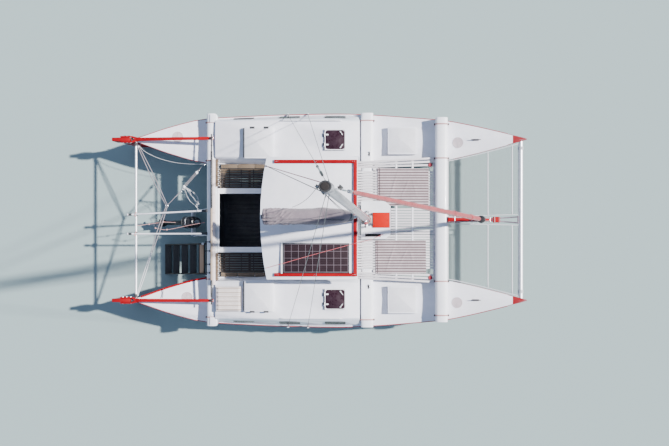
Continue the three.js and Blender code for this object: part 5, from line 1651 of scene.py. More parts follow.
@dataclass
class Decks:
    """The slatted decks with their cross strips, mats and corner discs."""

    top: float = 1.1723
    strips: tuple[float, ...] = (1.550, 1.930)
    discs: tuple[tuple[float, float], ...] = ((2.344, 1.279), (2.344, -1.340))
    mats: tuple[tuple[str, tuple[float, float], tuple[float, float]], ...] = (
        ("port", (1.120, 2.300), (0.335, 1.200)), ("starboard", (1.070, 2.240), (-1.245, -0.480)))

    def build(self) -> None:
        """Builds and dresses the decks."""
        for node in ("port_deck_slats", "starboard_deck_slats", "centre_deck_slats"):
            stood_for(node, PALE_TIMBER, "deck_slats", 0.004)
        for i, x in enumerate(self.strips):
            parts = [block("strip", (x - 0.016, y0, self.top), (x + 0.016, y1, self.top + 0.006), 0.002)
                     for y0, y1 in ((-1.300 - i * 0.045, -0.340), (-0.332, 0.332), (0.340, 1.300 + i * 0.045))]
            dress(joined(f"cross_strip_{i + 1}", parts), WHITE_GLOSS)
        pads = [block("pad", (x0, y0, 1.152), (x1, y0 + 0.064, self.top - 0.002), 0.003)
                for x0, x1 in ((0.652, 0.730), (1.010, 1.068)) for y0 in (-1.214, 1.150)]
        dress(joined("beam_foot_pads", pads), PALE_TIMBER, slot="deck_slats")
        self.screws()
        for name, xs, ys in self.mats:
            self.mat(name, xs, ys)
        for i, (x, y) in enumerate(self.discs):
            disc = turned(f"corner_disc_{i + 1}", (x, y, self.top), (0, 0, 1),
                          [(0, 0.048), (0.006, 0.050), (0.014, 0.046), (0.018, 0.030), (0.015, 0.014),
                           (0.016, 0.004)], 24)
            dress(disc, DARK_RED, slot="red_paint")

    def screws(self) -> None:
        """Screw heads over the first and last bearers."""
        heads = []
        for x in (1.090, 2.4347):
            for k in range(14):
                for sign in (1, -1):
                    y = sign * (0.367 + 0.062 * k)
                    if abs(y) < 1.19:
                        heads.append((x, y))
            if x > 2:
                heads += [(x, -0.308 + 0.062 * k) for k in range(10)]
        first = turned("screw", (heads[0][0], heads[0][1], self.top - 0.0005), (0, 0, 1),
                       [(0, 0.0055), (0.0012, 0.005), (0.0006, 0.002)], 8)
        others = [copied(first, "screw", (x - heads[0][0], y - heads[0][1], 0)) for x, y in heads[1:]]
        dress(joined("deck_screws", [first, *others]), STEEL)

    def mat(self, name: str, xs: tuple[float, float], ys: tuple[float, float]) -> None:
        """A light striped mat laid on the slats, with creases that run across it and a hem."""
        steps = (84, 62)
        rows = []
        for i in range(steps[0] + 1):
            u = i / steps[0]
            row = []
            for j in range(steps[1] + 1):
                w = j / steps[1]
                x = xs[0] + (xs[1] - xs[0]) * u + 0.008 * noise.noise(Vector((w * 5, 3.0, ys[0])))
                y = ys[0] + (ys[1] - ys[0]) * w + 0.008 * noise.noise(Vector((u * 5, 7.0, ys[0])))
                row.append((x, y, self.top + 0.0085 + self.crease(x, y, u, w)))
            rows.append(row)
        sheet = surface(f"{name}_deck_mat", rows)
        thicken(sheet, 0.0032, 0.0)
        dress(sheet, MAT_CLOTH, slot="cushion_fabric")
        welt = [(x, y, z + 0.004) for x, y, z in rows[3][::2]]
        binding = dress(tube(f"{name}_mat_binding", welt, 0.0062, 8), DARK_ROPE, slot="cushion_fabric")
        hem = []
        for path in (rows[0], rows[-1], [row[0] for row in rows], [row[-1] for row in rows]):
            hem.append(tube("hem", [(x, y, z + 0.001) for x, y, z in path[::3]] + [path[-1]], 0.0034, 6))
        edge = dress(joined(f"{name}_mat_hem", hem), MAT_CLOTH, slot="cushion_fabric")

    @staticmethod
    def crease(x: float, y: float, u: float, w: float) -> float:
        """Height of the mat's creases and of its slight sag between the slats."""
        fold = 0.0
        for slope, place, length, height in ((1.6, 0.30, 0.55, 0.013), (1.1, 0.55, 0.45, 0.010),
                                             (-1.9, 0.72, 0.35, 0.008)):
            off = (u - place) - (w - 0.5) / slope * 0.35
            fade = max(0.0, 1 - abs(w - 0.5) / length)
            fold += height * fade * math.exp(-(off / 0.018) ** 2)
        rough = noise.noise(Vector((x * 9, y * 9, 1.0))) * 0.0022
        edge = min(u, w, 1 - u, 1 - w)
        return max(0.0, fold + rough + 0.002) * min(1.0, edge * 14)


@dataclass
class Cockpit:
    """The tub, its coamings and benches, the hard roof, its rails, wall and solar panel."""

    rim: float = 1.040

    def build(self) -> None:
        """Builds and dresses the cockpit."""
        tub = stood_for("cockpit_tub", WHITE_GLOSS, "hull_white", 0.006, smooth=30.0)
        # Near black inside the well: partly its dark paint, partly painted shade of the deep well.
        second_finish(tub, WELL_PAINT_AND_SHADE, lambda middle, normal: abs(middle.y) < 0.640 and -2.595 < middle.x < 0.655
                      and 0.425 < middle.z < 1.030)
        self.coamings()
        self.benches()
        self.sole()
        self.roof()
        self.wall()
        self.panel()

    def coamings(self) -> None:
        """Rounded caps on the tub's rim and a batten across its aft end."""
        for side in SIDES:
            y0, y1 = sorted((side.value * 0.624, side.value * 0.748))
            dress(
                block(
                    f"{side.word}_coaming_cap", (-2.590, y0, self.rim + 0.0005), (0.552, y1, self.rim + 0.016), 0.007,
                    3,
                ),
                WHITE_GLOSS, slot="hull_white",
            )
        aft = block(
            "aft_coaming_cap", (-2.634, -0.748, self.rim + 0.0005), (-2.588, 0.748, self.rim + 0.016), 0.007, 3,
        )
        dress(aft, WHITE_GLOSS)

    def benches(self) -> None:
        """Slatted benches with thin battens, the knots of their ties and the timber batten on the aft beam; the slats
        and battens are painted dark as the roof's shade, the port bench's outboard slats lighter as sunlight.
        """
        for side in SIDES:
            slats = stood_for(f"{side.word}_bench_slats", SHADED_BENCH_TIMBER, "bench_slats", 0.003)
            # Painted sunlight: the port bench's outboard slats, beyond the roof's shadow, are lighter.
            if side is Side.PORT:
                second_finish(slats, SEAT_AND_SUNLIT_TIMBER, lambda middle, normal: middle.y > 1.095)
            y0, y1 = sorted((side.value * 0.764, side.value * 1.208))
            parts = [
                block("batten", (x - 0.010, y0, 0.960), (x + 0.010, y1, 0.966), 0.002)
                for x in (-2.370, -2.090, -1.800)
            ]
            # The battens take the near-black timber: painted shade.
            dress(joined(f"{side.word}_bench_battens", parts), SHADED_TIMBER, slot="bench_slats")
            knots = [
                ball("knot", (-2.585 + 0.006 * (-1) ** k, y0 + 0.02 + k * 0.0385, 0.972), 0.014, 0.8, 10)
                for k in range(11)
            ]
            dress(joined(f"{side.word}_bench_knots", knots), TAN_ROPE)
            y0, y1 = sorted((side.value * 0.772, side.value * 1.400))
            ledge = [block("ledge", (-2.632, y0, 1.226), (-2.572, y1, 1.252), 0.005)]
            dress(joined(f"{side.word}_bench_ledge", ledge), SEAT_AND_SUNLIT_TIMBER, slot="ladder_wood")
            beads = [
                ball("bead", (-2.566 + 0.005 * (-1) ** k, y0 + 0.02 + k * 0.0475, 1.250), 0.0165, 0.85, 10)
                for k in range(13)
            ]
            dress(joined(f"{side.word}_ledge_beads", beads), WHITE_ROPE)
            y0, y1 = sorted((side.value * 1.222, side.value * 1.318))
            foot = [
                block("board", (-2.560 + k * 0.400, y0, 0.985), (-2.170 + k * 0.400, y1, 1.003), 0.004)
                for k in range(3)
            ]
            foot += [
                block("bearer", (x - 0.012, y0 + 0.006, 0.930), (x + 0.012, y1 - 0.006, 0.986), 0.003)
                for x in (-2.40, -1.99, -1.60)
            ]
            dress(joined(f"{side.word}_wall_foot_boards", foot), SEAT_AND_SUNLIT_TIMBER, slot="bench_slats")
        parts = []
        for k in range(7):
            y = -1.510 + k * 0.4157
            parts.append(block("board", (-2.702, y + 0.002, 1.268), (-2.634, min(1.400, y + 0.4137), 1.360), 0.006))
        dress(joined("aft_timber_batten", parts), BATTEN_TIMBER, slot="ladder_wood")

    def sole(self) -> None:
        """Duckboards on the well's floor, near black as painted shade."""
        parts = [
            block("board", (-2.50, -0.44 + k * 0.11, 0.4305), (0.58, -0.36 + k * 0.11, 0.446), 0.003)
            for k in range(9)
        ]
        dress(joined("well_duckboards", parts), WELL_PAINT_AND_SHADE)

    def roof(self) -> None:
        """The hard roof with a rounded edge, its rails, posts and the rails' bolts."""
        stood_for("hardtop_roof", WHITE_DECK, "deck_white", 0.008, segments=3, smooth=30.0)
        stood_for("roof_rails", RED_PAINT, "red_paint", 0.007, segments=3)
        for side in SIDES:
            stood_for(f"{side.word}_roof_post", PALE_ALLOY, "mast_alloy", 0.003)
        bolts = []
        for sign in (1, -1):
            for x in (-1.14, -1.10, -0.28, -0.24, 0.58, 0.62):
                y = sign * (1.270 + 0.0)
                bolts.append(ball("bolt", (x, y, roof_height(1.3075) + 0.049), 0.009, 0.5, 10))
        dress(joined("rail_bolts", bolts), STEEL)

    def wall(self) -> None:
        """The front wall with its three panes and their gaskets."""
        stood_for("pod_front_wall", WHITE_GLOSS, "hull_white", 0.004)
        for i, y in enumerate((-0.730, 0.0, 0.730)):
            pane = block(f"wall_pane_{i + 1}", (0.567, y - 0.276, 1.479), (0.573, y + 0.276, 1.801), 0.001)
            dress(pane, CLEAR_PANE, slot="smoked_acrylic")
            corners = [(0.5815, y - 0.280, 1.475), (0.5815, y + 0.280, 1.475), (0.5815, y + 0.280, 1.805),
                       (0.5815, y - 0.280, 1.805),
                       (0.5815, y - 0.280, 1.475)]
            dress(tube(f"wall_gasket_{i + 1}", corners, 0.008, 6), BLACK_FITTING)

    def panel(self) -> None:
        """The solar panel: cells under glass in a bare frame, dark rails round it and a white strip behind it."""
        sheet = stood_for("solar_panel", PALE_ALLOY, "solar_cells", 0.003)
        second_finish(sheet, CELLS, lambda middle, normal: normal.z > 0.9 and middle.z > 1.996)
        rails = []
        for lo, hi in (((-0.981, -1.236, 1.978), (-0.958, -0.564, 2.0015)),
                       ((0.478, -1.236, 1.978), (0.501, -0.564, 2.0015)),
                       ((-0.981, -1.236, 1.978), (0.501, -1.213, 2.0015)),
                       ((-0.981, -0.587, 1.978), (0.501, -0.564, 2.0015))):
            rails.append(block("rail", lo, hi, 0.002))
        dress(joined("solar_frame", rails), BLACK_FITTING)
        strip = block("panel_white_strip", (-1.030, -1.245, 1.960), (-0.996, -0.555, 1.994), 0.006)
        dress(strip, WHITE_PLASTIC)


# Wire in a steel grey much darker than bare steel: painted shade, as the wire is seen in shade.
SHADED_RIG_WIRE = Metal("rig_wire", (0.30, 0.29, 0.30), (0.18, 0.17, 0.18), 0.42)
DARK_ALLOY = Metal("weathered_alloy", (0.40, 0.41, 0.43), (0.28, 0.29, 0.31), 0.42, polish=0.8)
RED_BLADE = HullPaint("rudder_red_paint", (0.34, 0.0, 0.004), (0.25, 0.0, 0.004), 0.5, grime=0.0, shine=0.2,
                      tip_from=50.0)
LID_RED = Paint("locker_lid_paint", (0.50, 0.004, 0.0), (0.42, 0.003, 0.0), 0.5, grime=0.0, shine=0.2)
DARK_CANVAS = Cloth("collar_canvas", (0.055, 0.060, 0.085), (0.035, 0.038, 0.055), 0.9)


def sheave_block(name: str, middle: Point, along: Point, size: float = 0.06) -> bpy.types.Object:
    """Makes a rope block: two cheeks about a sheave, and a shackle at its head.

    Args:
        name: The piece's name.
        middle: The sheave's middle.
        along: The direction from the sheave to the shackle.
        size: The cheeks' diameter.

    Returns:
        The piece.
    """
    axis = Vector(along).normalized()
    side = axis.orthogonal().normalized()
    at = Vector(middle)
    parts = []
    for sign in (1, -1):
        parts.append(turned("cheek", tuple(at + side * (sign * size * 0.20)), tuple(side * sign),
                            [(0, size * 0.50), (size * 0.10, size * 0.47), (size * 0.14, size * 0.22)], 20))
    parts.append(turned("sheave", tuple(at - side * (size * 0.17)), tuple(side),
                        [(0, size * 0.44), (size * 0.17, size * 0.34), (size * 0.34, size * 0.44)], 20))
    parts.append(ring("shackle", tuple(at + axis * (size * 0.68)), tuple(side), size * 0.22, size * 0.055, 16, 8))
    return joined(name, parts)


def swollen(piece: bpy.types.Object, voxel: float, cap: float, pressure: float = 4.0) -> None:
    """Skins a closed piece evenly and lets cloth swell on it under pressure; no point moves more than cap.

    Args:
        piece: A closed piece, a little smaller than the finished one.
        voxel: Size of the skin's faces.
        cap: The farthest that a point may move.
        pressure: Pressure inside it.
    """
    pick(piece)
    skin = piece.modifiers.new("skin", "REMESH")
    skin.mode = "VOXEL"
    skin.voxel_size = voxel
    bpy.ops.object.modifier_apply(modifier=skin.name)
    before = [vertex.co.copy() for vertex in piece.data.vertices]
    cloth = piece.modifiers.new("swelling", "CLOTH")
    cloth.settings.use_pressure = True
    cloth.settings.uniform_pressure_force = pressure
    cloth.settings.effector_weights.gravity = 0.0
    cloth.point_cache.frame_start = 1
    cloth.point_cache.frame_end = 20
    for number in range(1, 21):
        bpy.context.scene.frame_set(number)
    bpy.ops.object.modifier_apply(modifier=cloth.name)
    for vertex, start in zip(piece.data.vertices, before):
        move = vertex.co - start
        if move.length > cap:
            vertex.co = start + move * (cap / move.length)
    bpy.context.scene.frame_set(1)


@dataclass
class Rig:
    """The mast with its cap, track and foot gear, the shrouds and the lines that run to the mast."""

    radius: float = 0.068
    chord: float = 1.25
    foot: float = 1.290
    head: float = 9.750
    hounds: float = 9.480
    exits: float = 5.600
    shroud_feet: tuple[float, float] = (-1.000, -0.530)
    shroud_out: tuple[float, float] = (2.4935, 2.5043)

    def build(self) -> None:
        """Builds and dresses the rig."""
        self.spar()
        self.cap()
        self.gear_at_foot()
        for side in SIDES:
            for i, word in enumerate(("aft", "forward")):
                self.shroud(side, i, word)
        self.masthead_blocks()
        self.standing_lines()
        self.swinging_lines()

    def wall(self, z: float, turn: float, grow: float = 0.0) -> Point:
        """A point on the mast's oval wall; turn 0 faces the bows, 90 faces port."""
        angle = math.radians(turn)
        return (mast_x(z) + (self.radius + grow) * self.chord * math.cos(angle),
                (self.radius + grow) * math.sin(angle), z)

    def spar(self) -> None:
        """The oval tube, its track, its collars and the gooseneck's bracket."""
        heights = [self.foot, self.foot + 0.02, *[2.0 + 0.9 * k for k in range(8)], self.head - 0.006, self.head]
        rows = [[self.wall(z, k * 9.0) for k in range(40)] for z in heights]
        tube_piece = surface("mast_tube", rows, closed=True, capped=True)
        dress(tube_piece, PALE_ALLOY, slot="mast_alloy", stands_for=["mast"])
        rails = [
            tube("rail", [self.wall(z, turn, 0.003) for z in (1.95, 4.5, 7.0, 9.55)], 0.006, 8)
            for turn in (170, 190)
        ]
        dress(joined("mast_track", rails), DARK_ALLOY, slot="mast_alloy")
        groove = tube("mast_track_groove", [self.wall(z, 180, 0.001) for z in (1.95, 4.5, 7.0, 9.55)], 0.006, 8)
        dress(groove, BLACK_FITTING)
        collars = []
        for low, high, grow in ((self.foot, self.foot + 0.05, 0.012), (self.hounds, self.hounds + 0.06, 0.020),
                                (self.exits - 0.02, self.exits + 0.10, 0.004)):
            rings = [
                [self.wall(z, k * 12.0, g) for k in range(30)]
                for z, g in ((low, grow - 0.004), (low + 0.004, grow), (high - 0.004, grow), (high, grow - 0.004))
            ]
            collars.append(surface("collar", rings, closed=True, capped=True, smooth=35.0))
        dress(joined("mast_collars", collars), DARK_ALLOY, slot="mast_alloy")
        jaws = [block("jaw", (0.734, y - 0.006, 2.345), (0.790, y + 0.006, 2.455), 0.003) for y in (-0.031, 0.031)]
        jaws.append(rod("pin", (0.748, 0, 2.330), (0.748, 0, 2.470), 0.010, sides=14, bevel=0.002))
        jaws.append(block("base", (0.776, -0.040, 2.320), (0.800, 0.040, 2.480), 0.005))
        dress(joined("gooseneck_bracket", jaws), STEEL)

    def cap(self) -> None:
        """The masthead: a black ring round a brown rubber cap."""
        x = mast_x(self.head)
        rim = turned("masthead_ring", (x, 0, self.head - 0.004), (0, 0, 1),
                     [(0, 0.070), (0.004, 0.084), (0.018, 0.086), (0.024, 0.080), (0.024, 0.064), (0.016, 0.062)], 40)
        top = turned("masthead_cap", (x, 0, self.head - 0.004), (0, 0, 1),
                     [(0, 0.054), (0.020, 0.057), (0.027, 0.054), (0.029, 0.040), (0.027, 0.012)], 40)
        for piece, finish, slot in ((rim, BLACK_FITTING, "fitting_black"), (top, BROWN_CAP, "fitting_black")):
            for vertex in piece.data.vertices:
                vertex.co.x = x + (vertex.co.x - x) * 1.12
            dress(piece, finish, slot=slot)

    def gear_at_foot(self) -> None:
        """The step, two winches, cleats, turning blocks and turns of rope about the mast's foot."""
        step = slab("mast_step", [(0.765, -0.105), (0.975, -0.105), (0.995, -0.080), (0.995, 0.080), (0.975, 0.105),
                                  (0.765, 0.105), (0.745, 0.080), (0.745, -0.080)], LOCKER_TOP, 1.297, 0.003)
        bolts = [turned("bolt", (x, y, 1.296), (0, 0, 1), [(0, 0.010), (0.006, 0.009), (0.008, 0.004)], 6)
                 for x in (0.775, 0.965) for y in (-0.090, 0.090)]
        dress(joined("mast_step", [step, *bolts]), DARK_ALLOY, slot="mast_alloy")
        for k, (z, turn) in enumerate(((1.78, 78.0), (1.92, -80.0))):
            at = Vector(self.wall(z, turn, -0.004))
            out = (at - Vector((mast_x(z), 0, z))).normalized()
            drum = turned(f"mast_winch_{k + 1}", tuple(at), tuple(out),
                          [(0, 0.046), (0.016, 0.046), (0.020, 0.040), (0.036, 0.033), (0.070, 0.031), (0.090, 0.036),
                           (0.094, 0.041), (0.108, 0.041), (0.112, 0.034), (0.112, 0.012), (0.100, 0.010)], 28)
            dress(drum, STEEL)
            coils = [
                ring("turn", tuple(at + out * (0.040 + 0.0105 * i)), tuple(out), 0.037, 0.0052, 24, 8)
                for i in range(4)
            ]
            dress(joined(f"winch_turns_{k + 1}", coils), RED_ROPE if k else WHITE_ROPE, slot="net_cord")
        for k, (z, turn) in enumerate(((1.56, 40.0), (1.62, -35.0), (2.05, 20.0))):
            at = Vector(self.wall(z, turn, 0.0))
            out = (at - Vector((mast_x(z), 0, z))).normalized()
            across = Vector((0, 0, 1))
            bar = [
                tuple(at + out * lift + across * run)
                for run, lift in ((-0.075, 0.034), (-0.04, 0.030), (0, 0.029), (0.04, 0.030), (0.075, 0.034))
            ]
            parts = [tube("bar", smooth_path(bar, 3), 0.0072, 10)]
            parts += [rod("post", tuple(at + across * run), tuple(at + out * 0.030 + across * run), 0.009, 0.007, 12)
                      for run in (-0.022, 0.022)]
            dress(joined(f"mast_cleat_{k + 1}", parts), STEEL)
            figure = []
            for turn_count in range(3):
                lift = 0.018 + 0.006 * turn_count
                for sign in (1, -1):
                    loop = [tuple(at + out * (lift + 0.004 * math.sin(a)) + across * (0.052 * math.sin(a))
                                  + out.cross(across) * (sign * 0.018 * math.sin(2 * a)))
                            for a in (2 * math.pi * i / 24 for i in range(25))]
                    figure.append(tube("hitch", loop, 0.0048, 6, capped=False))
            dress(joined(f"cleat_hitch_{k + 1}", figure), (WHITE_ROPE, RED_ROPE, TAN_ROPE)[k], slot="net_cord")
        coils = []
        for k in range(7):
            z = 1.335 + 0.0125 * k
            loop = [
                self.wall(z + 0.004 * math.sin(math.radians(a)), a, 0.019 + 0.003 * (k % 2))
                for a in range(0, 361, 15)
            ]
            coils.append(tube("turn", loop, 0.0068, 8, capped=False))
        dress(joined("mast_foot_turns", coils), TAN_ROPE)
        for k, (x, y) in enumerate(
            ((0.975, 0.128), (1.000, -0.110), (0.835, -0.165), (0.790, 0.150), (0.900, 0.180)),
        ):
            pad = turned("pad", (x, y, LOCKER_TOP), (0, 0, 1), [(0, 0.026), (0.004, 0.026), (0.008, 0.012)], 18)
            dress(joined(f"foot_block_base_{k + 1}",
                         [pad, ring("eye", (x, y, 1.302), (1, 0, 0), 0.011, 0.0035, 16, 8)]),
                  STEEL, slot="rig_steel")
            dress(sheave_block(f"foot_block_{k + 1}", (x, y, 1.345), (0.0, 0.0, -1.0), 0.052), BLACK_FITTING,
                  slot="fitting_black")

    def shroud(self, side: Side, i: int, word: str) -> None:
        """A wire shroud with its bottlescrew, fork and mast terminal."""
        foot = Vector((self.shroud_feet[i], side.value * self.shroud_out[i], 0.930))
        top = Vector((mast_x(self.hounds) - 0.020 + i * 0.046, side.value * 0.098, self.hounds - 0.008))
        up = (top - foot).normalized()
        parts = [rod("wire", tuple(foot + up * 0.20), tuple(top), 0.0050, sides=10)]
        parts.append(
            turned(
                "screw", tuple(foot - up * 0.004), tuple(up),
                [
                    (0.0, 0.007), (0.010, 0.010), (0.026, 0.010), (0.030, 0.0150), (0.060, 0.0155), (0.064, 0.0115),
                    (0.168, 0.0115), (0.172, 0.0155), (0.200, 0.0150), (0.204, 0.0090), (0.270, 0.0075),
                    (0.276, 0.0050),
                ],
                16,
            ),
        )
        parts.append(
            block(
                "fork", tuple(foot - Vector((0.010, 0.009, 0.030))), tuple(foot + Vector((0.010, 0.009, 0.012))),
                0.003,
            ),
        )
        parts.append(
            rod(
                "pin", tuple(foot + Vector((-0.018, 0, -0.014))), tuple(foot + Vector((0.018, 0, -0.014))), 0.006,
                sides=12,
            ),
        )
        parts.append(turned("terminal", tuple(top - up * 0.130), tuple(up),
                            [(0, 0.0052), (0.006, 0.0085), (0.110, 0.0090), (0.130, 0.0060)], 14))
        name = f"{side.word}_{word}_shroud"
        # The wire's dark grey is painted shade.
        dress(joined(name + "_wire", parts), SHADED_RIG_WIRE, body_of(name), "rig_steel", [name])
        if name == "port_aft_shroud":
            self.sleeve(foot, top)
        tang = block(f"{name}_tang", tuple(top - Vector((0.012, 0.030 if side is Side.PORT else 0.0, 0.030))),
                     tuple(top + Vector((0.012, 0.0 if side is Side.PORT else 0.030, 0.030))), 0.002)
        dress(tang, STEEL)

    @staticmethod
    def sleeve(foot: Vector, top: Vector) -> None:
        """A thin grey sleeve high on the shroud with a black cap below it and a black boot above."""
        low, high = foot.lerp(top, 0.858), foot.lerp(top, 0.910)
        up = (top - foot).normalized()
        length = (high - low).length
        sheath = turned("shroud_sleeve", tuple(low), tuple(up), [(0, 0.012), (0.02, 0.015), (length, 0.015)], 14)
        dress(sheath, PALE_ALLOY, slot="rig_steel")
        ends = [turned("cap", tuple(low - up * 0.100), tuple(up),
                       [(0, 0.014), (0.01, 0.022), (0.095, 0.022), (0.105, 0.013)], 14),
                turned("boot", tuple(high - up * 0.005), tuple(up),
                       [(0, 0.015), (0.02, 0.024), (0.300, 0.020), (0.330, 0.010)], 14)]
        dress(joined("shroud_sleeve_ends", ends), BLACK_FITTING)

    def masthead_blocks(self) -> None:
        """Blocks that hang on short cranes aft of the masthead."""
        crane = [block("arm", (0.430, 0.008, 9.500), (0.520, 0.018, 9.535), 0.003),
                 block("arm", (0.470, -0.030, 9.030), (0.540, -0.020, 9.060), 0.003)]
        dress(joined("masthead_cranes", crane), STEEL)
        for k, at in enumerate(((0.440, 0.024, 9.450), (0.494, -0.026, 8.990))):
            dress(sheave_block(f"masthead_block_{k + 1}", at, (0.1, 0, 1), 0.070), BLACK_FITTING)

    def standing_lines(self) -> None:
        """Lines that stay where they are: to the roof's port corner, over the roof and down the mast."""
        corner = (-1.367, 1.168, 1.968)
        eye = turned("corner_eye_base", (corner[0], corner[1], roof_height(corner[1]) - 0.001), (0, 0, 1),
                     [(0, 0.024), (0.004, 0.024), (0.007, 0.010)], 18)
        hoop = ring("hoop", (corner[0], corner[1], roof_height(corner[1]) + 0.016), (1, 0, 0), 0.012, 0.0035, 16, 8)
        dress(joined("roof_corner_eye", [eye, hoop]), STEEL)
        runs = (
            ("red_corner_line", [corner, (0.600, 0.072, 9.200)], 0.0085, RED_ROPE),
            ("dark_corner_line", [corner, (0.500, -0.024, 9.020)], 0.0080, DARK_ROPE),
            (
                "roof_red_line",
                smooth_path(
                    [
                        (-1.375, -1.125, 1.960), (-1.340, -1.115, 1.955), (-0.990, -1.020, 2.002),
                        (-0.400, -0.850, 2.010), (0.150, -0.700, 2.010), (0.520, -0.600, 2.012),
                        (0.660, -0.560, 2.022), (0.730, -0.540, 1.920), (0.960, -0.462, 1.320),
                        (1.060, -0.420, 1.294), (1.250, -0.335, 1.293),
                    ],
                    5,
                ),
                0.0058, RED_ROPE,
            ),
            (
                "port_halyard",
                [
                    self.wall(self.exits, 14, 0.002), self.wall(self.exits - 0.1, 14, 0.010),
                    self.wall(1.40, 16, 0.012),
                ],
                0.0052, RED_ROPE,
            ),
            (
                "starboard_halyard",
                [
                    self.wall(self.exits, -8, 0.002), self.wall(self.exits - 0.1, -8, 0.010),
                    self.wall(1.42, -10, 0.012),
                ],
                0.0052, WHITE_ROPE,
            ),
            (
                "reefing_line", [self.wall(2.60, 36, 0.002), self.wall(2.50, 36, 0.010), self.wall(1.40, 38, 0.012)],
                0.0046, RED_ROPE,
            ),
        )
        for name, path, radius, finish in runs:
            dress(tube(name, path, radius, 8), finish, slot="net_cord")

    def swinging_lines(self) -> None:
        """Lines between the masthead and the boom's cover."""
        top = (0.440, 0.024, 9.420)
        low = (0.494, -0.026, 8.960)
        runs = (
            ("lazy_line", hanging(top, (-0.690, 0.192, 2.730), 0.42, 24), 0.0048, DARK_ROPE),
            ("aft_hoist", [low, (0.410, 0.074, 2.930)], 0.0052, DARK_ROPE),
            ("fore_hoist", [low, (0.508, 0.030, 2.975)], 0.0052, DARK_ROPE),
            ("block_strop", [top, low], 0.0060, DARK_ROPE),
        )
        for name, path, radius, finish in runs:
            line = tube(name, path, radius, 8)
            if name == "block_strop":
                dress(line, finish, slot="net_cord")
                continue
            line.data.materials.append(finish.material())
            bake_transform(line)


@dataclass
class Headsail:
    """The sail rolled on its stay, the drum that turns it and the fittings at its head."""

    foot: Point = (3.510, 0.0, 1.440)
    head: Point = (0.703, 0.0, 9.400)
    profile: tuple[tuple[float, float], ...] = (
        (1.572, 0.024), (1.620, 0.036), (1.690, 0.054), (3.000, 0.0535), (6.000, 0.0465), (8.640, 0.0395),
        (8.720, 0.026), (8.778, 0.013))
    pitch: float = 0.34

    def build(self) -> None:
        """Builds and dresses the headsail."""
        self.roll()
        self.drum()
        self.head_gear()

    def stay(self, z: float) -> Vector:
        """The stay's middle at height z."""
        return Vector(self.foot).lerp(Vector(self.head), (z - self.foot[2]) / (self.head[2] - self.foot[2]))

    def roll(self) -> None:
        """The rolled sail: its overlap winds up the stay as a raised fold with slack puckers beside it."""
        axis = (Vector(self.head) - Vector(self.foot)).normalized()
        beside = axis.cross(Vector((0, 1, 0))).normalized()
        across = axis.cross(beside)
        count, steps = 30, 330
        low, high = self.profile[0][0], self.profile[-1][0]
        rows = []
        for step in range(steps + 1):
            z = low + (high - low) * step / steps
            radius = blend_rows(self.profile, z)[0]
            length = (self.stay(z) - self.stay(low)).length
            row = []
            for k in range(count):
                share = k / count
                turn = (length / self.pitch - share) % 1.0
                fold = 0.10 * math.exp(-(turn / 0.10) ** 2) - 0.07 * math.exp(-((turn - 0.93) / 0.06) ** 2)
                pucker = 0.05 * noise.noise(Vector((length * 7, math.cos(share * 6.283) * 2,
                                                    math.sin(share * 6.283) * 2)))
                size = radius * (0.96 + fold + pucker)
                angle = 2 * math.pi * share
                row.append(tuple(self.stay(z) + (beside * math.cos(angle) + across * math.sin(angle)) * size))
            rows.append(row)
        sail = surface("rolled_headsail", rows, closed=True, capped=True)
        total = (self.stay(high) - self.stay(low)).length
        for loop in sail.data.uv_layers[0].data:
            loop.uv.x *= total
        dress(sail, SAIL_CLOTH, body_of("furled_jib"), "furled_sail", ["furled_jib"])
        ties = []
        for z in (2.30, 2.34, 2.38, 3.60):
            at = self.stay(z)
            ties.append(ring("tie", tuple(at), tuple(axis), blend_rows(self.profile, z)[0] + 0.006, 0.0055, 28, 8))
        dress(joined("sail_ties", ties), RED_ROPE)

    def drum(self) -> None:
        """The drum with its line wound on it, guard pins and its foot on the spar."""
        dress(refined("furling_drum", "furler_drum", 0.0015), BLACK_FITTING, body_of("furler_drum"), "fitting_black",
              ["furler_drum"])
        axis = (Vector(self.head) - Vector(self.foot)).normalized()
        coils = [
            ring("turn", tuple(self.stay(1.458 + 0.0105 * k)), tuple(axis), 0.050 + 0.008 * (k % 2), 0.0052, 28, 8)
            for k in range(5)
        ]
        dress(joined("drum_windings", coils), RED_ROPE)
        beside = axis.cross(Vector((0, 1, 0))).normalized()
        across = axis.cross(beside)
        pins = []
        for k in range(6):
            out = (beside * math.cos(k * math.pi / 3) + across * math.sin(k * math.pi / 3)) * 0.078
            pins.append(rod("pin", tuple(self.stay(1.440) + out), tuple(self.stay(1.516) + out), 0.004, sides=10))
        dress(joined("drum_guard_pins", pins), STEEL)
        dress(joined("drum_shackle", [ring("shackle", (3.575, 0, 1.372), (0, 1, 0), 0.018, 0.006, 20, 8),
                                      rod("pin", (3.575, -0.036, 1.360), (3.575, 0.036, 1.360), 0.007, sides=12)]),
              STEEL,
              slot="rig_steel")

    def head_gear(self) -> None:
        """The swivel, a black block and a shackle between the sail's head and the mast."""
        dress(refined("forestay_head_fitting", "forestay_head", 0.002), STEEL, body_of("forestay_head"), "rig_steel",
              ["forestay_head"])
        at = self.stay(9.230)
        dress(sheave_block("forestay_block", (at.x, at.y + 0.030, at.z), (-0.33, 0.0, 0.94), 0.085), BLACK_FITTING,
              slot="fitting_black")
        lug = self.stay(8.810)
        parts = [ring("shackle", (lug.x, lug.y + 0.020, lug.z), (0.2, 1, 0.3), 0.026, 0.0065, 20, 8),
                 rod("toggle", tuple(self.stay(9.04)), tuple(self.stay(9.15)), 0.014, sides=14, bevel=0.003)]
        dress(joined("sail_head_shackle", parts), STEEL)


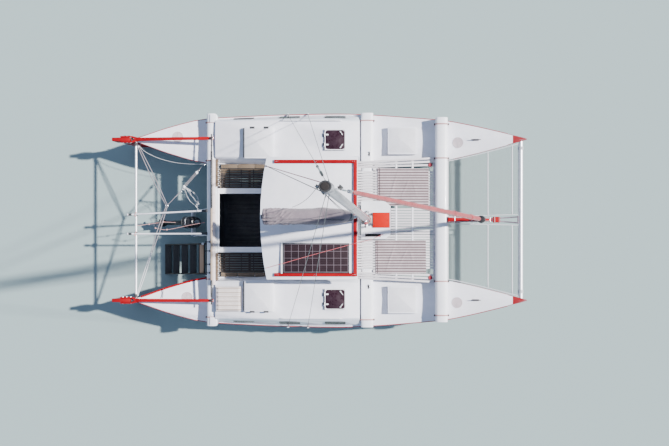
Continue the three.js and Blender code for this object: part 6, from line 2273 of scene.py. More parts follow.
@dataclass
class Boom:
    """The boom, its end fittings and the padded cover that lies along it."""

    sections: tuple[tuple[float, float, float, float], ...] = (
        (-1.360, 0.150, 2.462, 2.640), (-1.200, 0.176, 2.456, 2.684), (-0.600, 0.184, 2.456, 2.716),
        (-0.050, 0.194, 2.456, 2.786), (0.420, 0.138, 2.456, 2.942), (0.630, 0.086, 2.462, 3.058))
    ring_shape: tuple[tuple[float, float], ...] = (
        (0.0, 0.0), (0.55, 0.0), (0.92, 0.16), (1.0, 0.38), (0.95, 0.58), (0.84, 0.76), (0.58, 0.94), (0.32, 1.0),
                                                   (0.0, 1.0))
    around: int = 64

    def build(self) -> None:
        """Builds and dresses the boom."""
        boom = stood_for("boom", PALE_ALLOY, "mast_alloy", 0.004, smooth=40.0)
        second_finish(boom, BLACK_FITTING, lambda middle, normal: middle.x < -1.376)
        end = [ring("eye", (-1.408, 0, 2.372), (0, 1, 0), 0.016, 0.005, 18, 8),
               ring("eye", (-1.200, 0, 2.352), (0, 1, 0), 0.016, 0.005, 18, 8),
               ring("eye", (-0.300, 0, 2.352), (0, 1, 0), 0.016, 0.005, 18, 8)]
        dress(joined("boom_eyes", end), STEEL, "boom_swing")
        outhaul = tube("boom_outhaul", [(-1.30, 0.042, 2.405), (0.30, 0.042, 2.405), (0.62, 0.036, 2.405)], 0.005, 8)
        dress(outhaul, WHITE_ROPE, "boom_swing")
        self.cover()

    def outline(self, x: float) -> list[Vector]:
        """The cover's section at x, a smooth ring of points that starts under the boom."""
        half, bottom, top = blend_rows(self.sections, x)
        right = [Vector((x, half * a, bottom + (top - bottom) * b)) for a, b in self.ring_shape]
        left = [Vector((x, -p.y, p.z)) for p in right[-2:0:-1]]
        knots = right + left
        count = len(knots)
        points = []
        for k in range(self.around):
            place = k / self.around * count
            i, t = int(place), place % 1.0
            a, b, c, d = (knots[(i + shift) % count] for shift in (-1, 0, 1, 2))
            points.append(spline(a, b, c, d, t))
        return points

    def cover(self) -> None:
        """The cover: a fitted canvas bag over the flaked sail, swollen by it, then creased and seamed."""
        steps = 100
        x0, x1 = self.sections[0][0], self.sections[-1][0]
        rows = []
        for inset, share in ((0.0, 0.15), (0.0, 0.62), (0.004, 0.9)):
            rows.append(self.shrunk(x0 + inset, share))
        for step in range(steps + 1):
            rows.append([tuple(p) for p in self.outline(x0 + 0.012 + (x1 - x0 - 0.024) * step / steps)])
        for inset, share in ((0.004, 0.9), (0.0, 0.62), (0.0, 0.15)):
            rows.append(self.shrunk(x1 - inset, share))
        bag = surface("boom_sail_cover", rows, closed=True, capped=True)
        swollen(bag, 0.013, 0.010)
        subdivide(bag, 1)
        self.crease(bag)
        pick(bag)
        bpy.ops.object.shade_smooth_by_angle(angle=math.radians(60))
        dress(bag, COVER_CANVAS, "boom_swing", "cover_canvas", ["sail_cover"])
        second_finish(bag, DARK_CANVAS, lambda middle, normal: middle.x > 0.47 + 0.35 * (middle.z - 2.70))
        self.cover_trim()

    def shrunk(self, x: float, share: float) -> list[Point]:
        """A section of the cover drawn in towards its middle."""
        ring_points = self.outline(x)
        middle = sum(ring_points, Vector()) / len(ring_points)
        return [tuple(middle + (p - middle) * share) for p in ring_points]

    @staticmethod
    def fold_at(x: float, turn: float, z: float) -> float:
        """How far the canvas stands out at a place: gathers, slanting folds, slack puckers."""
        aft = max(0.0, 1 - abs(x + 1.33) / 0.42)
        gather = aft ** 0.7 * 0.030 * math.sin(turn * 8 + 1.6 * math.sin(turn * 3) + x * 9)
        tie = -0.016 * math.exp(-((x + 1.275) / 0.018) ** 2)
        slant = max(0.0, 1 - abs(x + 0.95) / 0.42)
        wave = noise.noise(Vector((x * 11 + turn * 2.2, turn * 1.1, 4.0)))
        ridge = slant * 0.044 * (0.35 - min(0.35, abs(wave)))
        soft = 0.006 * noise.noise(Vector((x * 4.5, turn * 1.6, 9.0))) + 0.003 * noise.noise(Vector((x * 13, turn * 4,
                2.0)))
        hang = 0.004 * math.sin(x * 26 + math.sin(turn) * 2.4) * max(0.0, math.sin(turn)) * max(0.0,
                1 - abs(z - 2.55) / 0.15)
        return gather + tie + ridge * 1.5 - slant * 0.004 + soft + hang

    def crease(self, bag: bpy.types.Object) -> None:
        """Moves the cover's points out and in along their normals by fold_at."""
        moves = []
        for vertex in bag.data.vertices:
            _, bottom, top = blend_rows(self.sections, vertex.co.x)
            turn = math.atan2(vertex.co.z - (bottom + top) / 2, vertex.co.y)
            away = vertex.normal.copy()
            away.x *= 0.25
            moves.append(away * self.fold_at(vertex.co.x, turn, vertex.co.z))
        for vertex, move in zip(bag.data.vertices, moves):
            vertex.co += move
            vertex.co.z = max(vertex.co.z, 2.4475)

    def on_cover(self, x: float, turn: float, lift: float) -> Point:
        """A point on the cover's skin at x, turn degrees up from its port side, lifted off it."""
        points = self.outline(x)
        middle = sum(points, Vector()) / len(points)
        wanted = math.radians(turn)
        best = min(points, key=lambda p: abs(math.remainder(math.atan2(p.z - middle.z, p.y) - wanted, 2 * math.pi)))
        out = (best - middle).normalized()
        real = math.atan2(best.z - (blend_rows(self.sections, x)[1] + blend_rows(self.sections, x)[2]) / 2, best.y)
        return tuple(best + out * (lift + 0.010 + self.fold_at(x, real, best.z)))

    def cover_trim(self) -> None:
        """The seam along its top, the tie at its aft end and the toggles that close it under the boom."""
        seam = tube("cover_seam", [self.on_cover(-1.18 + 0.03 * k, 116, 0.0005) for k in range(55)], 0.0062, 6)
        dress(seam, DARK_CANVAS, "boom_swing", "cover_canvas")
        tie = [
            tube("tie", [self.on_cover(-1.275 + dx, a, 0.001) for a in range(-170, 191, 10)], 0.004, 8)
            for dx in (-0.005, 0.005)
        ]
        dress(joined("cover_tie", tie), COVER_CANVAS, "boom_swing", "cover_canvas")
        straps = []
        for k in range(7):
            x = -1.10 + 0.26 * k
            for sign in (1, -1):
                straps.append(tube("strap",
                                   [(x, sign * 0.100, 2.452), (x, sign * 0.070, 2.428), (x, sign * 0.044, 2.384),
                                             (x, sign * 0.012, 2.3585)], 0.0042, 6))
            straps.append(rod("toggle", (x - 0.018, 0.0, 2.352), (x + 0.018, 0.0, 2.352), 0.006, sides=10))
        dress(joined("cover_toggles", straps), DARK_ROPE, "boom_swing")


@dataclass
class Locker:
    """The locker at the mast's foot with its red lid, and the cushion on the starboard cabin."""

    low: Point = (0.740, -0.450, 1.173)
    high: Point = (1.420, 0.430, 1.285)
    lid: tuple[float, float, float, float] = (1.010, 1.400, -0.185, 0.165)
    cushion: tuple[float, float, float, float] = (-2.602, -2.017, -2.125, -1.535)
    cushion_low: float = 1.362
    ribs: int = 6

    def build(self) -> None:
        """Builds and dresses the locker and the cushion."""
        box = stood_for("mast_foot_locker", WHITE_DECK, "deck_white", 0.008, segments=3)
        # The slot's inside is painted near black: painted shade in the recess.
        second_finish(box, WELL_PAINT_AND_SHADE, lambda middle,
                      normal: middle.z < self.high[2] - 0.004 and 0.83 < middle.x < 1.195
                      and -0.395 < middle.y < -0.325)
        stood_for("locker_lid", LID_RED, "red_paint", 0.006, segments=3)
        body = body_of("locker_lid")
        x0, x1, y0, y1 = self.lid
        latch = [
            turned(
                "boss", (x1 - 0.035, (y0 + y1) / 2, 1.308), (0, 0, 1), [(0, 0.020), (0.003, 0.020), (0.004, 0.012)],
                20,
            ),
            block(
                "pull", (x1 - 0.041, (y0 + y1) / 2 - 0.012, 1.310), (x1 - 0.029, (y0 + y1) / 2 + 0.012, 1.315), 0.002,
            ),
        ]
        dress(joined("lid_latch", latch), LID_RED, body, "red_paint")
        hinge = [rod("pin", (x0 - 0.008, y0 + 0.03, 1.298), (x0 - 0.008, y1 - 0.03, 1.298), 0.007, sides=12),
                 block("leaf", (x0 - 0.034, y0 + 0.03, LOCKER_TOP), (x0 - 0.010, y1 - 0.03, 1.2895), 0.001)]
        dress(joined("lid_hinge", hinge), BLACK_FITTING)
        rim = block("slot_rim", (0.826, -0.400, LOCKER_TOP), (1.199, -0.390, 1.2925), 0.003)
        others = [block("rim", (0.826, -0.330, LOCKER_TOP), (1.199, -0.320, 1.2925), 0.003),
                  block("rim", (0.826, -0.400, LOCKER_TOP), (0.836, -0.320, 1.2925), 0.003),
                  block("rim", (1.189, -0.400, LOCKER_TOP), (1.199, -0.320, 1.2925), 0.003)]
        dress(joined("locker_slot_rim", [rim, *others]), BLUSH_GRIP)
        self.pad()

    def pad(self) -> None:
        """The ribbed cushion: a swollen pad whose ribs are tied down by sewn channels that run fore and aft."""
        x0, x1, y0, y1 = self.cushion
        nx, ny = 64, 96
        low, thick = self.cushion_low, 0.060
        rows = []
        for i in range(nx + 1):
            u = i / nx
            upper, lower = [], []
            for j in range(ny + 1):
                w = j / ny
                pull = 0.010 * math.sin(math.pi * w) * (2 * abs(u - 0.5)) ** 3
                draw = 0.010 * math.sin(math.pi * u) * (2 * abs(w - 0.5)) ** 3
                x = x0 + 0.008 + (x1 - x0 - 0.016) * u + (pull if u < 0.5 else -pull)
                y = y0 + 0.008 + (y1 - y0 - 0.016) * w + (draw if w < 0.5 else -draw)
                edge = min(1.0, 9 * min(u, 1 - u)) ** 0.5 * min(1.0, 9 * min(w, 1 - w)) ** 0.5
                rib = abs(math.sin(math.pi * self.ribs * w)) ** 0.55
                top = low + 0.024 + (thick - 0.034) * edge * (0.45 + 0.55 * rib)
                under = low + 0.020 - 0.018 * edge
                upper.append((x, y, top + 0.0012 * noise.noise(Vector((x * 22, y * 22, 3.0)))))
                lower.append((x, y, under))
            rows.append(upper + lower[::-1])
        pad = surface("seat_cushion", rows, closed=True, capped=True)
        swollen(pad, 0.006, 0.006)
        for vertex in pad.data.vertices:
            vertex.co.z = max(vertex.co.z, low + 0.0006)
        self.sewn(pad)
        subdivide(pad, 1)
        pick(pad)
        bpy.ops.object.shade_smooth_by_angle(angle=math.radians(60))
        dress(pad, CUSHION_CLOTH, slot="cushion_fabric", stands_for=["ribbed_cushion"])
        piping = []
        for z in (low + 0.023,):
            path = [(x0 + 0.012, y0 + 0.020, z), (x0 + 0.020, y0 + 0.012, z), (x1 - 0.020, y0 + 0.012, z),
                    (x1 - 0.012, y0 + 0.020, z), (x1 - 0.012, y1 - 0.020, z), (x1 - 0.020, y1 - 0.012, z),
                    (x0 + 0.020, y1 - 0.012, z), (x0 + 0.012, y1 - 0.020, z), (x0 + 0.012, y0 + 0.020, z)]
            piping.append(tube("piping", path, 0.004, 8))
        dress(joined("cushion_piping", piping), CUSHION_CLOTH, slot="cushion_fabric")

    def sewn(self, pad: bpy.types.Object) -> None:
        """Presses the sewn channels between the ribs back into the swollen top."""
        x0, x1, y0, y1 = self.cushion
        for vertex in pad.data.vertices:
            if vertex.co.z < self.cushion_low + 0.030:
                continue
            w = (vertex.co.y - y0) / (y1 - y0) * self.ribs
            near = abs(w - round(w)) * (y1 - y0) / self.ribs
            inside = min(vertex.co.x - x0, x1 - vertex.co.x) > 0.03 and 0 < round(w) < self.ribs
            if inside:
                vertex.co.z -= 0.012 * math.exp(-(near / 0.008) ** 2)


@dataclass
class Steering:
    """Both rudders and tillers and the bar that ties the tillers together."""

    bar_x: float = -2.690
    bar_z: float = 1.456
    sleeve: tuple[float, float] = (-1.400, 0.250)
    lash: float = 0.0062

    def build(self) -> None:
        """Builds and dresses the steering gear."""
        for side in SIDES:
            self.rudder(side)
            self.tiller(side)
        self.bar()

    @staticmethod
    def axis_x(z: float) -> float:
        """X of the rudder's leaning axis at height z."""
        return -4.372 + (-4.650 + 4.372) * (z + 0.200) / 1.450

    def rudder(self, side: Side) -> None:
        """The blade, its straps and pins, and the lashing about its head."""
        name = f"{side.word}_rudder"
        body = body_of(name)
        stood_for(name, RED_BLADE, "red_paint", 0.010, segments=3, smooth=40.0)
        y = side.centre
        straps = []
        for z in (0.180, 0.620, 1.020):
            x = self.axis_x(z)
            for s in (1, -1):
                straps.append(block("strap", (x - 0.300, y + s * 0.046 - 0.004, z - 0.022),
                                    (x - 0.010, y + s * 0.046 + 0.004, z + 0.022), 0.003))
                straps += [turned("bolt", (x - d, y + s * 0.048, z), (0, s, 0),
                                  [(0, 0.011), (0.006, 0.010), (0.008, 0.004)], 6)
                           for d in (0.070, 0.160, 0.250)]
        dress(joined(f"{side.word}_rudder_straps", straps), STEEL, body)
        turns = []
        for k in range(6):
            z = 1.175 + 0.013 * k
            x = self.axis_x(z)
            path = [(x + 0.062, y - 0.040, z), (x + 0.062, y + 0.040, z), (x + 0.020, y + 0.0835, z + 0.003),
                    (x - 0.130, y + 0.0835, z + 0.003), (x - 0.170, y + 0.060, z), (x - 0.170, y - 0.060, z),
                    (x - 0.130, y - 0.0835, z - 0.003), (x + 0.020, y - 0.0835, z - 0.003), (x + 0.062, y - 0.040, z)]
            turns.append(tube("turn", path, self.lash, 6))
        dress(joined(f"{side.word}_rudder_lashing", turns), DARK_ROPE, body)

    def tiller(self, side: Side) -> None:
        """The tiller with its fork, side bolts and an end band."""
        name = f"{side.word}_tiller"
        body = body_of(name)
        stood_for(name, RED_PAINT, "red_paint", 0.006, segments=3)
        y = side.centre
        bolts = []
        for x in (-4.780, -4.690, -4.600):
            bolts += [turned("bolt", (x, y + s * 0.076, 1.247), (0, s, 0),
                             [(0, 0.012), (0.006, 0.011), (0.009, 0.004)], 6)
                      for s in (1, -1)]
        bolts += [
            turned("washer", (-4.335 + d, y, 1.278), (0, 0, 1), [(0, 0.014), (0.004, 0.014), (0.008, 0.008)], 14)
            for d in (0.0, 0.08)
        ]
        dress(joined(f"{side.word}_tiller_bolts", bolts), STEEL, body)
        band = [tube("band",
                     [(x, y - 0.0355, 1.391), (x, y + 0.0355, 1.391), (x, y + 0.0355, 1.4325),
                      (x, y - 0.0355, 1.4325),
                              (x, y - 0.0355, 1.391)], 0.0022, 6) for x in (-2.735, -2.660)]
        dress(joined(f"{side.word}_tiller_bands", band), STEEL, body)

    def bar(self) -> None:
        """The cross bar: a black tube with grips at its ends and a pale sleeve between."""
        stood_for("tiller_bar", BLACK_FITTING, "fitting_black", 0.003, smooth=45.0)
        body = body_of("tiller_bar")
        sleeve = turned("tiller_bar_sleeve", (self.bar_x, self.sleeve[0], self.bar_z), (0, 1, 0),
                        [(0, 0.0165), (0.004, 0.0255), (self.sleeve[1] - self.sleeve[0] - 0.004, 0.0255),
                         (self.sleeve[1] - self.sleeve[0], 0.0165)], 20)
        dress(sleeve, TAN_ROPE, body)
        grips = [
            turned(
                "grip", (self.bar_x, start, self.bar_z), (0, 1, 0),
                [(0, 0.0165), (0.010, 0.0235), (length, 0.0235), (length + 0.010, 0.0165)], 20,
            )
            for start, length in ((0.275, 1.270), (-1.780, 0.355))
        ]
        dress(joined("tiller_bar_grips", grips), BLACK_FITTING, body)
        rings = [ring("stop", (self.bar_x, y, self.bar_z), (0, 1, 0), 0.0245, 0.0035, 20, 8)
                 for y in (-1.700, -1.560, 1.560, 1.700, -1.410, 0.260)]
        dress(joined("tiller_bar_stops", rings), BLACK_FITTING, body)


@dataclass
class SternGear:
    """The poles, the rope bridle and tackle between the sterns, and what lies on the aft beam."""

    z: float = 1.190
    rope: float = 0.0100
    joint: tuple[float, float] = (-3.782, 0.330)
    port_end: tuple[float, float] = (-4.446, 1.705)
    starboard_end: tuple[float, float] = (-4.469, -1.745)
    hooks: tuple[float, ...] = (-0.510, -0.720, -1.030, -1.230)

    def build(self) -> None:
        """Builds and dresses the stern gear."""
        self.poles()
        self.bridle()
        self.tackle()
        self.slack_line()
        self.hank()
        self.motor_lines()
        self.beam_hooks()

    def poles(self) -> None:
        """The two fore-and-aft poles, their balls, end fittings and lashings to the stern tube."""
        for name, aft, fore in (("port", (-4.680, 0.120), (-2.850, 0.215)),
                                ("starboard", (-4.680, -0.325), (-2.850, -0.320))):
            stood_for(f"{name}_stern_pole", TUBE_ALLOY, "mast_alloy", 0.0, smooth=50.0)
            out = (Vector((*fore, 0)) - Vector((*aft, 0))).normalized()
            start = Vector((*fore, POLE_Z)) - out * 0.020
            parts = [
                turned(
                    "socket", tuple(start - out * 0.090), tuple(out),
                    [(0, 0.0215), (0.004, 0.027), (0.086, 0.028), (0.090, 0.024)], 20,
                ),
                block("foot", (-2.866, fore[1] - 0.034, 1.214), (-2.826, fore[1] + 0.034, 1.262), 0.006),
                turned("knob", (-2.846, fore[1], 1.262), (0, 0, 1), [(0, 0.014), (0.012, 0.020), (0.022, 0.014)], 16),
            ]
            dress(joined(f"{name}_pole_fitting", parts), BLACK_FITTING)
            band = turned(f"{name}_pole_band", tuple(Vector((*aft, POLE_Z)) + out * 0.014), tuple(out),
                          [(0, 0.0215), (0.004, 0.0270), (0.078, 0.0270), (0.082, 0.0215)], 20)
            dress(band, BLACK_FITTING)
            share = (STERN_TUBE[0] - aft[0]) / (fore[0] - aft[0])
            at = Vector((STERN_TUBE[0], aft[1] + (fore[1] - aft[1]) * share, POLE_Z))
            coils = []
            for k in range(5):
                dx = (k - 2) * 0.0115
                path = [tuple(at + Vector((dx * 0.4 - 0.010 * math.sin(a), dx + 0.030 * math.cos(a),
                                           0.030 * math.sin(a) - 0.010)))
                        for a in (2 * math.pi * i / 20 for i in range(21))]
                coils.append(tube("turn", path, 0.0052, 6, capped=False))
            dress(joined(f"{name}_pole_lashing", coils), PINK_ROPE)

    def twin(self, name: str, start: Vector, end: Vector, gap: float, finish: Finish = WHITE_ROPE) -> None:
        """Two ropes side by side between two points.

        Args:
            name: The piece's name.
            start: Middle of one end.
            end: Middle of the other end.
            gap: Distance between the ropes' middles half way along.
            finish: What they are made of.
        """
        beside = (end - start).cross(Vector((0, 0, 1))).normalized()
        ropes = []
        for sign in (1, -1):
            path = []
            for k in range(13):
                t = k / 12
                spread = gap * 0.5 * (0.45 + 0.55 * math.sin(math.pi * t))
                path.append(tuple(start.lerp(end, t) + beside * (sign * spread)))
            ropes.append(tube("rope", path, self.rope, 8))
        dress(joined(name, ropes), finish, slot="net_cord")

    def bridle(self) -> None:
        """Doubled rope from each stern to the block between them, its starboard leg knotted half way."""
        middle = Vector((*self.joint, self.z))
        port = Vector((*self.port_end, self.z - 0.02))
        starboard = Vector((*self.starboard_end, self.z - 0.02))
        half_way = starboard.lerp(middle, 0.47)
        self.twin("port_bridle", port, middle, 0.066, GREY_ROPE)
        self.twin("starboard_bridle", half_way, middle, 0.058, GREY_ROPE)
        self.twin("starboard_bridle_tail", starboard, half_way, 0.044, WHITE_ROPE)
        knots = [
            ball("knot", tuple(p), 0.026, 0.8, 14)
            for p in (half_way, starboard, port, starboard.lerp(middle, 0.40))
        ]
        dress(joined("bridle_knots", knots), WHITE_ROPE)
        eyes = []
        for at, side in ((port, 1), (starboard, -1)):
            hull = Vector((-4.520, side * 1.800, 1.125))
            eyes.append(ring("eye", tuple(at.lerp(hull, 0.35)), (0.3, side * 0.6, 1), 0.024, 0.0055, 20, 8))
            eyes.append(rod("shank", tuple(at.lerp(hull, 0.5)), tuple(hull), 0.007, sides=12))
        dress(joined("bridle_eyes", eyes), STEEL)
        dress(ring("bridle_ring", tuple(middle), (0, 0, 1), 0.030, 0.0075, 24, 10), STEEL)

    def tackle(self) -> None:
        """A single rope, then a four-part tackle up to the aft beam."""
        middle = Vector((*self.joint, self.z))
        first = Vector((-3.448, 0.672, self.z + 0.005))
        aft_block = Vector((-3.374, 0.772, self.z + 0.010))
        fore_block = Vector((-3.080, 1.098, self.z + 0.030))
        eye = Vector((-2.935, 1.262, 1.240))
        run = (fore_block - aft_block).normalized()
        lines = [tube("rope", [tuple(middle), tuple(first)], self.rope, 8)]
        beside = run.cross(Vector((0, 0, 1))).normalized()
        for k in range(4):
            off = beside * ((k - 1.5) * 0.015) + Vector((0, 0, 0.006 * (-1) ** k))
            lines.append(
                tube("part", [tuple(aft_block + run * 0.03 + off), tuple(fore_block - run * 0.03 + off)], 0.0052, 8),
            )
        lines.append(tube("rope", [tuple(fore_block), tuple(eye)], 0.006, 8))
        dress(joined("tackle_ropes", lines), GREY_ROPE)
        dress(sheave_block("tackle_aft_block", tuple(aft_block), tuple(-run), 0.060), WHITE_PLASTIC)
        dress(sheave_block("tackle_fore_block", tuple(fore_block), tuple(run), 0.060), WHITE_PLASTIC)
        links = [ring("link", tuple(first + run * 0.020), (0.4, -0.4, 1), 0.018, 0.0048, 18, 8),
                 ring("link", tuple(aft_block - run * 0.065), (0, 0, 1), 0.015, 0.0045, 18, 8),
                 ring("link", tuple(fore_block + run * 0.065), (0, 0, 1), 0.016, 0.0048, 18, 8),
                 turned("pad", (-2.846, 1.300, 1.195), (-1, 0, 0), [(0, 0.030), (0.005, 0.030), (0.009, 0.014)], 18),
                 ring("pad_eye", (-2.872, 1.300, 1.196), (0, 1, 0), 0.018, 0.0055, 18, 8),
                 rod("strop", tuple(eye), (-2.868, 1.300, 1.200), 0.0060, sides=10)]
        dress(joined("tackle_links", links), STEEL)

    def slack_line(self) -> None:
        """A thin slack line from the port stern to the aft beam, hanging between its two ends."""
        knots = [(-4.430, 1.722, 1.150), (-4.300, 1.590, 1.070), (-4.010, 1.455, 0.985), (-3.665, 1.365, 0.965),
                 (-3.330, 1.322, 1.020), (-3.060, 1.306, 1.110), (-2.870, 1.302, 1.190)]
        path = smooth_path(knots, 5)
        line = tube("slack_stern_line", path, 0.0045, 8)
        dress(line, WHITE_ROPE)
        self.declare(line, path, 0.009, "hanging")

    def hank(self) -> None:
        """The tackle's fall, looped back and forth between its block and the port pole."""
        aft, fore = Vector((-3.345, 0.745, 1.165)), Vector((-3.070, 0.345, 1.180))
        knots: list[Point] = [(-3.372, 0.768, 1.196), (-3.362, 0.758, 1.170)]
        bows = ((0.26, 0.05), (0.34, -0.05), (0.20, 0.02), (0.30, -0.085), (0.16, 0.075))
        for k, (sag, lean) in enumerate(bows):
            start, end = (aft, fore) if k % 2 == 0 else (fore, aft)
            beside = (fore - aft).cross(Vector((0, 0, 1))).normalized()
            for t in (0.16, 0.36, 0.58, 0.80):
                p = start.lerp(end, t) + beside * (lean * math.sin(math.pi * t) + 0.018 * (k - 2))
                p.z -= sag * 4 * t * (1 - t) * 0.9
                knots.append(tuple(p))
            turn = end + beside * (0.018 * (k - 1.5)) + Vector((0, 0, 0.026))
            knots.append(tuple(turn))
        knots.append((-3.058, 0.262, 1.214))
        knots.append((-3.050, 0.226, 1.251))
        path = smooth_path(knots, 7)
        line = tube("tackle_fall", path, 0.0055, 8)
        dress(line, WHITE_ROPE)
        knot = ball("tackle_fall_knot", (-3.050, 0.210, 1.254), 0.018, 0.8, 14)
        dress(knot, WHITE_ROPE)
        tie = [ring("tie", tuple(p + Vector((0, 0, 0.016))), (0.6, -0.8, 0.2), 0.052, 0.0048, 24, 8) for p in (fore,)]
        dress(joined("tackle_fall_tie", tie), WHITE_ROPE)
        self.declare(line, path, 0.011, "hanging")

    @staticmethod
    def declare(line: bpy.types.Object, path: list[Point], diameter: float, lay: str) -> None:
        """Takes a cord that runs along path and ends on the object, and does nothing with it."""

    def motor_lines(self) -> None:
        """Faded red lines that hold the tilted motor, and a short dark one on the starboard stern."""
        runs = [
            (
                "motor_lift_line", [(-4.478, -0.134, 1.196), (-4.120, -0.085, 1.170), (-3.870, -0.045, 1.165)],
                0.0060, PINK_ROPE,
            ),
            (
                "motor_stay_line",
                [(-4.050, -0.190, 1.180), (-3.790, -0.225, 1.160), (-3.300, -0.130, 1.175), (-2.900, -0.062, 1.225)],
                0.0050, PINK_ROPE,
            ),
            (
                "starboard_stern_line", [(-3.885, -1.585, 1.135), (-3.890, -1.700, 1.118), (-3.895, -1.812, 1.145)],
                0.0075, DARK_ROPE,
            ),
        ]
        for name, points, radius, finish in runs:
            dress(tube(name, smooth_path(points, 6), radius, 8), finish, slot="net_cord")
        drop = [(-3.870, -0.045, 1.165), (-3.640, -0.030, 0.560)]
        line = tube("motor_drop_line", smooth_path(drop, 8), 0.0045, 8)
        line.data.materials.append(PINK_ROPE.material())
        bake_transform(line)
        knots = [ball("knot", p, 0.020, 0.85, 12) for p in ((-3.870, -0.045, 1.165), (-4.200, -0.098, 1.176),
                                                            (-4.050, -0.190, 1.180), (-3.790, -0.225, 1.160))]
        dress(joined("motor_line_knots", knots), PINK_ROPE)

    def beam_hooks(self) -> None:
        """Black hooks on the aft beam that hold the ladder, and their short straps."""
        for k, y in enumerate(self.hooks):
            parts = [tube("strap",
                          smooth_path([(-2.872, y, 1.130), (-2.856, y, 1.235), (-2.830, y, 1.272), (-2.760, y, 1.283),
                                                (-2.700, y, 1.283)], 4), 0.010, 10),
                     block("plate", (-2.775, y - 0.026, 1.266), (-2.690, y + 0.026, 1.279), 0.004),
                     turned("knob", (-2.868, y, 1.126), (-1, 0, 0), [(0, 0.016), (0.020, 0.020), (0.034, 0.012)], 16)]
            dress(joined(f"beam_hook_{k + 1}", parts), BLACK_FITTING)


@dataclass
class Motor:
    """The tilted outboard motor on its sled."""

    pivot: Point = (-3.450, -0.030, 0.450)
    tilt: float = 60.0
    leg: float = -0.095
    cowl_rows: tuple[tuple[float, float, float, float], ...] = (
        (0.082, 0.095, 0.250, 0.112), (0.140, 0.120, 0.285, 0.134), (0.330, 0.112, 0.275, 0.130),
        (0.405, 0.080, 0.225, 0.096), (0.425, 0.040, 0.160, 0.060))

    def build(self) -> None:
        """Builds and dresses the motor and what carries it."""
        stood_for("motor_sled", WHITE_GLOSS, "hull_white", 0.005, segments=3)
        stood_for("motor_clamp", DARK_ALLOY, "motor_black", 0.003)
        stood_for("motor_tilt_bracket", BLACK_FITTING, "motor_black", 0.003, smooth=45.0)
        self.cowl()
        self.screw_gear()

    def at(self, x: float, y: float, z: float) -> Point:
        """A point of the upright motor, drawn about its tilt pin, where the tilt puts it."""
        turn = math.radians(self.tilt)
        return (self.pivot[0] + x * math.cos(turn) + z * math.sin(turn), self.pivot[1] + y,
                self.pivot[2] - x * math.sin(turn) + z * math.cos(turn))

    def section(self, z: float, grow: float) -> list[Point]:
        """The cowl's outline at height z, grown outwards, with more points at its corners."""
        front, back, half = blend_rows(self.cowl_rows, z)
        corners = [(front, -half * 0.55), (front, half * 0.55), (front * 0.3, half), (-back * 0.6, half),
                   (-back, half * 0.5), (-back, -half * 0.5), (-back * 0.6, -half), (front * 0.3, -half)]
        knots = [Vector((x, y, 0)) for x, y in corners]
        outline = []
        for i in range(len(knots)):
            a, b, c, d = (knots[(i + shift) % len(knots)] for shift in (-1, 0, 1, 2))
            for t in (0.0, 0.2, 0.4, 0.6, 0.8):
                p = spline(a, b, c, d, t)
                straight = b.lerp(c, t)
                p = straight.lerp(p, 0.55)
                outline.append((p * (1 + grow / p.length)))
        return [self.at(self.leg + p.x, p.y, z) for p in outline]

    def cowl(self) -> None:
        """The cowl as a smooth shell over the leg, its parting band, vents, grip and side trim."""
        body = body_of("outboard_motor")
        leg = refined("motor_leg", "outboard_motor", 0.004, smooth=45.0)
        dress(leg, MOTOR_SHELL, body, "motor_black", ["outboard_motor"])
        rows = [
            self.section(z, grow)
            for z, grow in (
                (0.150, 0.0015), (0.156, 0.004), (0.220, 0.0045), (0.300, 0.004), (0.332, 0.003), (0.372, 0.002),
                (0.402, 0.001), (0.416, 0.0), (0.424, -0.004),
            )
        ]
        shell = surface("motor_cowl_shell", rows, closed=True, capped=True, smooth=50.0)
        dress(shell, MOTOR_SHELL, body, "motor_black")
        band = surface(
            "motor_parting_band",
            [self.section(z, g) for z, g in ((0.136, 0.001), (0.138, 0.006), (0.148, 0.006), (0.150, 0.001))],
            closed=True, smooth=30.0,
        )
        dress(band, BLACK_FITTING, body, "motor_black")
        stripe = surface(
            "motor_trim_stripe",
            [self.section(z, g) for z, g in ((0.236, 0.0045), (0.237, 0.0062), (0.262, 0.0060), (0.263, 0.0043))],
            closed=True, smooth=30.0,
        )
        dress(stripe, DARK_ALLOY, body, "motor_black")
        vents = []
        for sign in (1, -1):
            for k in range(5):
                z = 0.345 + 0.010 * k
                _, back, half = blend_rows(self.cowl_rows, z)
                vents.append(tube("vent", [self.at(self.leg - back * 0.52, sign * (half + 0.003), z),
                                           self.at(self.leg - back * 0.15, sign * (half + 0.004), z)], 0.0032, 6))
        grip = [
            self.at(self.leg + 0.108, y, z)
            for y, z in ((-0.060, 0.300), (-0.060, 0.330), (0.060, 0.330), (0.060, 0.300))
        ]
        grip = [tuple(Vector(p) + (Vector(self.at(0.02, 0, 0)) - Vector(self.at(0, 0, 0)))) if k in (1, 2) else p
                for k, p in enumerate(grip)]
        vents.append(tube("grip", smooth_path(grip, 4), 0.009, 8))
        dress(joined("motor_vents_and_grip", vents), BLACK_FITTING, body, "motor_black")
        lid = surface("motor_top_panel",
                      [self.section(0.4245, -0.018), self.section(0.4285, -0.024), self.section(0.4285, -0.034)],
                      closed=True, capped=True, smooth=30.0)
        dress(lid, DARK_ALLOY, body, "motor_black")

    def screw_gear(self) -> None:
        """The propeller with its hub nut."""
        stood_for("propeller", BRONZE, "bronze", 0.0015, smooth=40.0)
        body = body_of("propeller")
        hub = Vector(self.at(self.leg - 0.248, 0, -0.745))
        axis = (Vector(self.at(-1, 0, 0)) - Vector(self.at(0, 0, 0))).normalized()
        nut = turned("propeller_nut", tuple(hub - axis * 0.004), tuple(axis),
                     [(0, 0.014), (0.010, 0.014), (0.012, 0.008), (0.022, 0.006)], 12)
        dress(nut, BRONZE, body, "bronze")


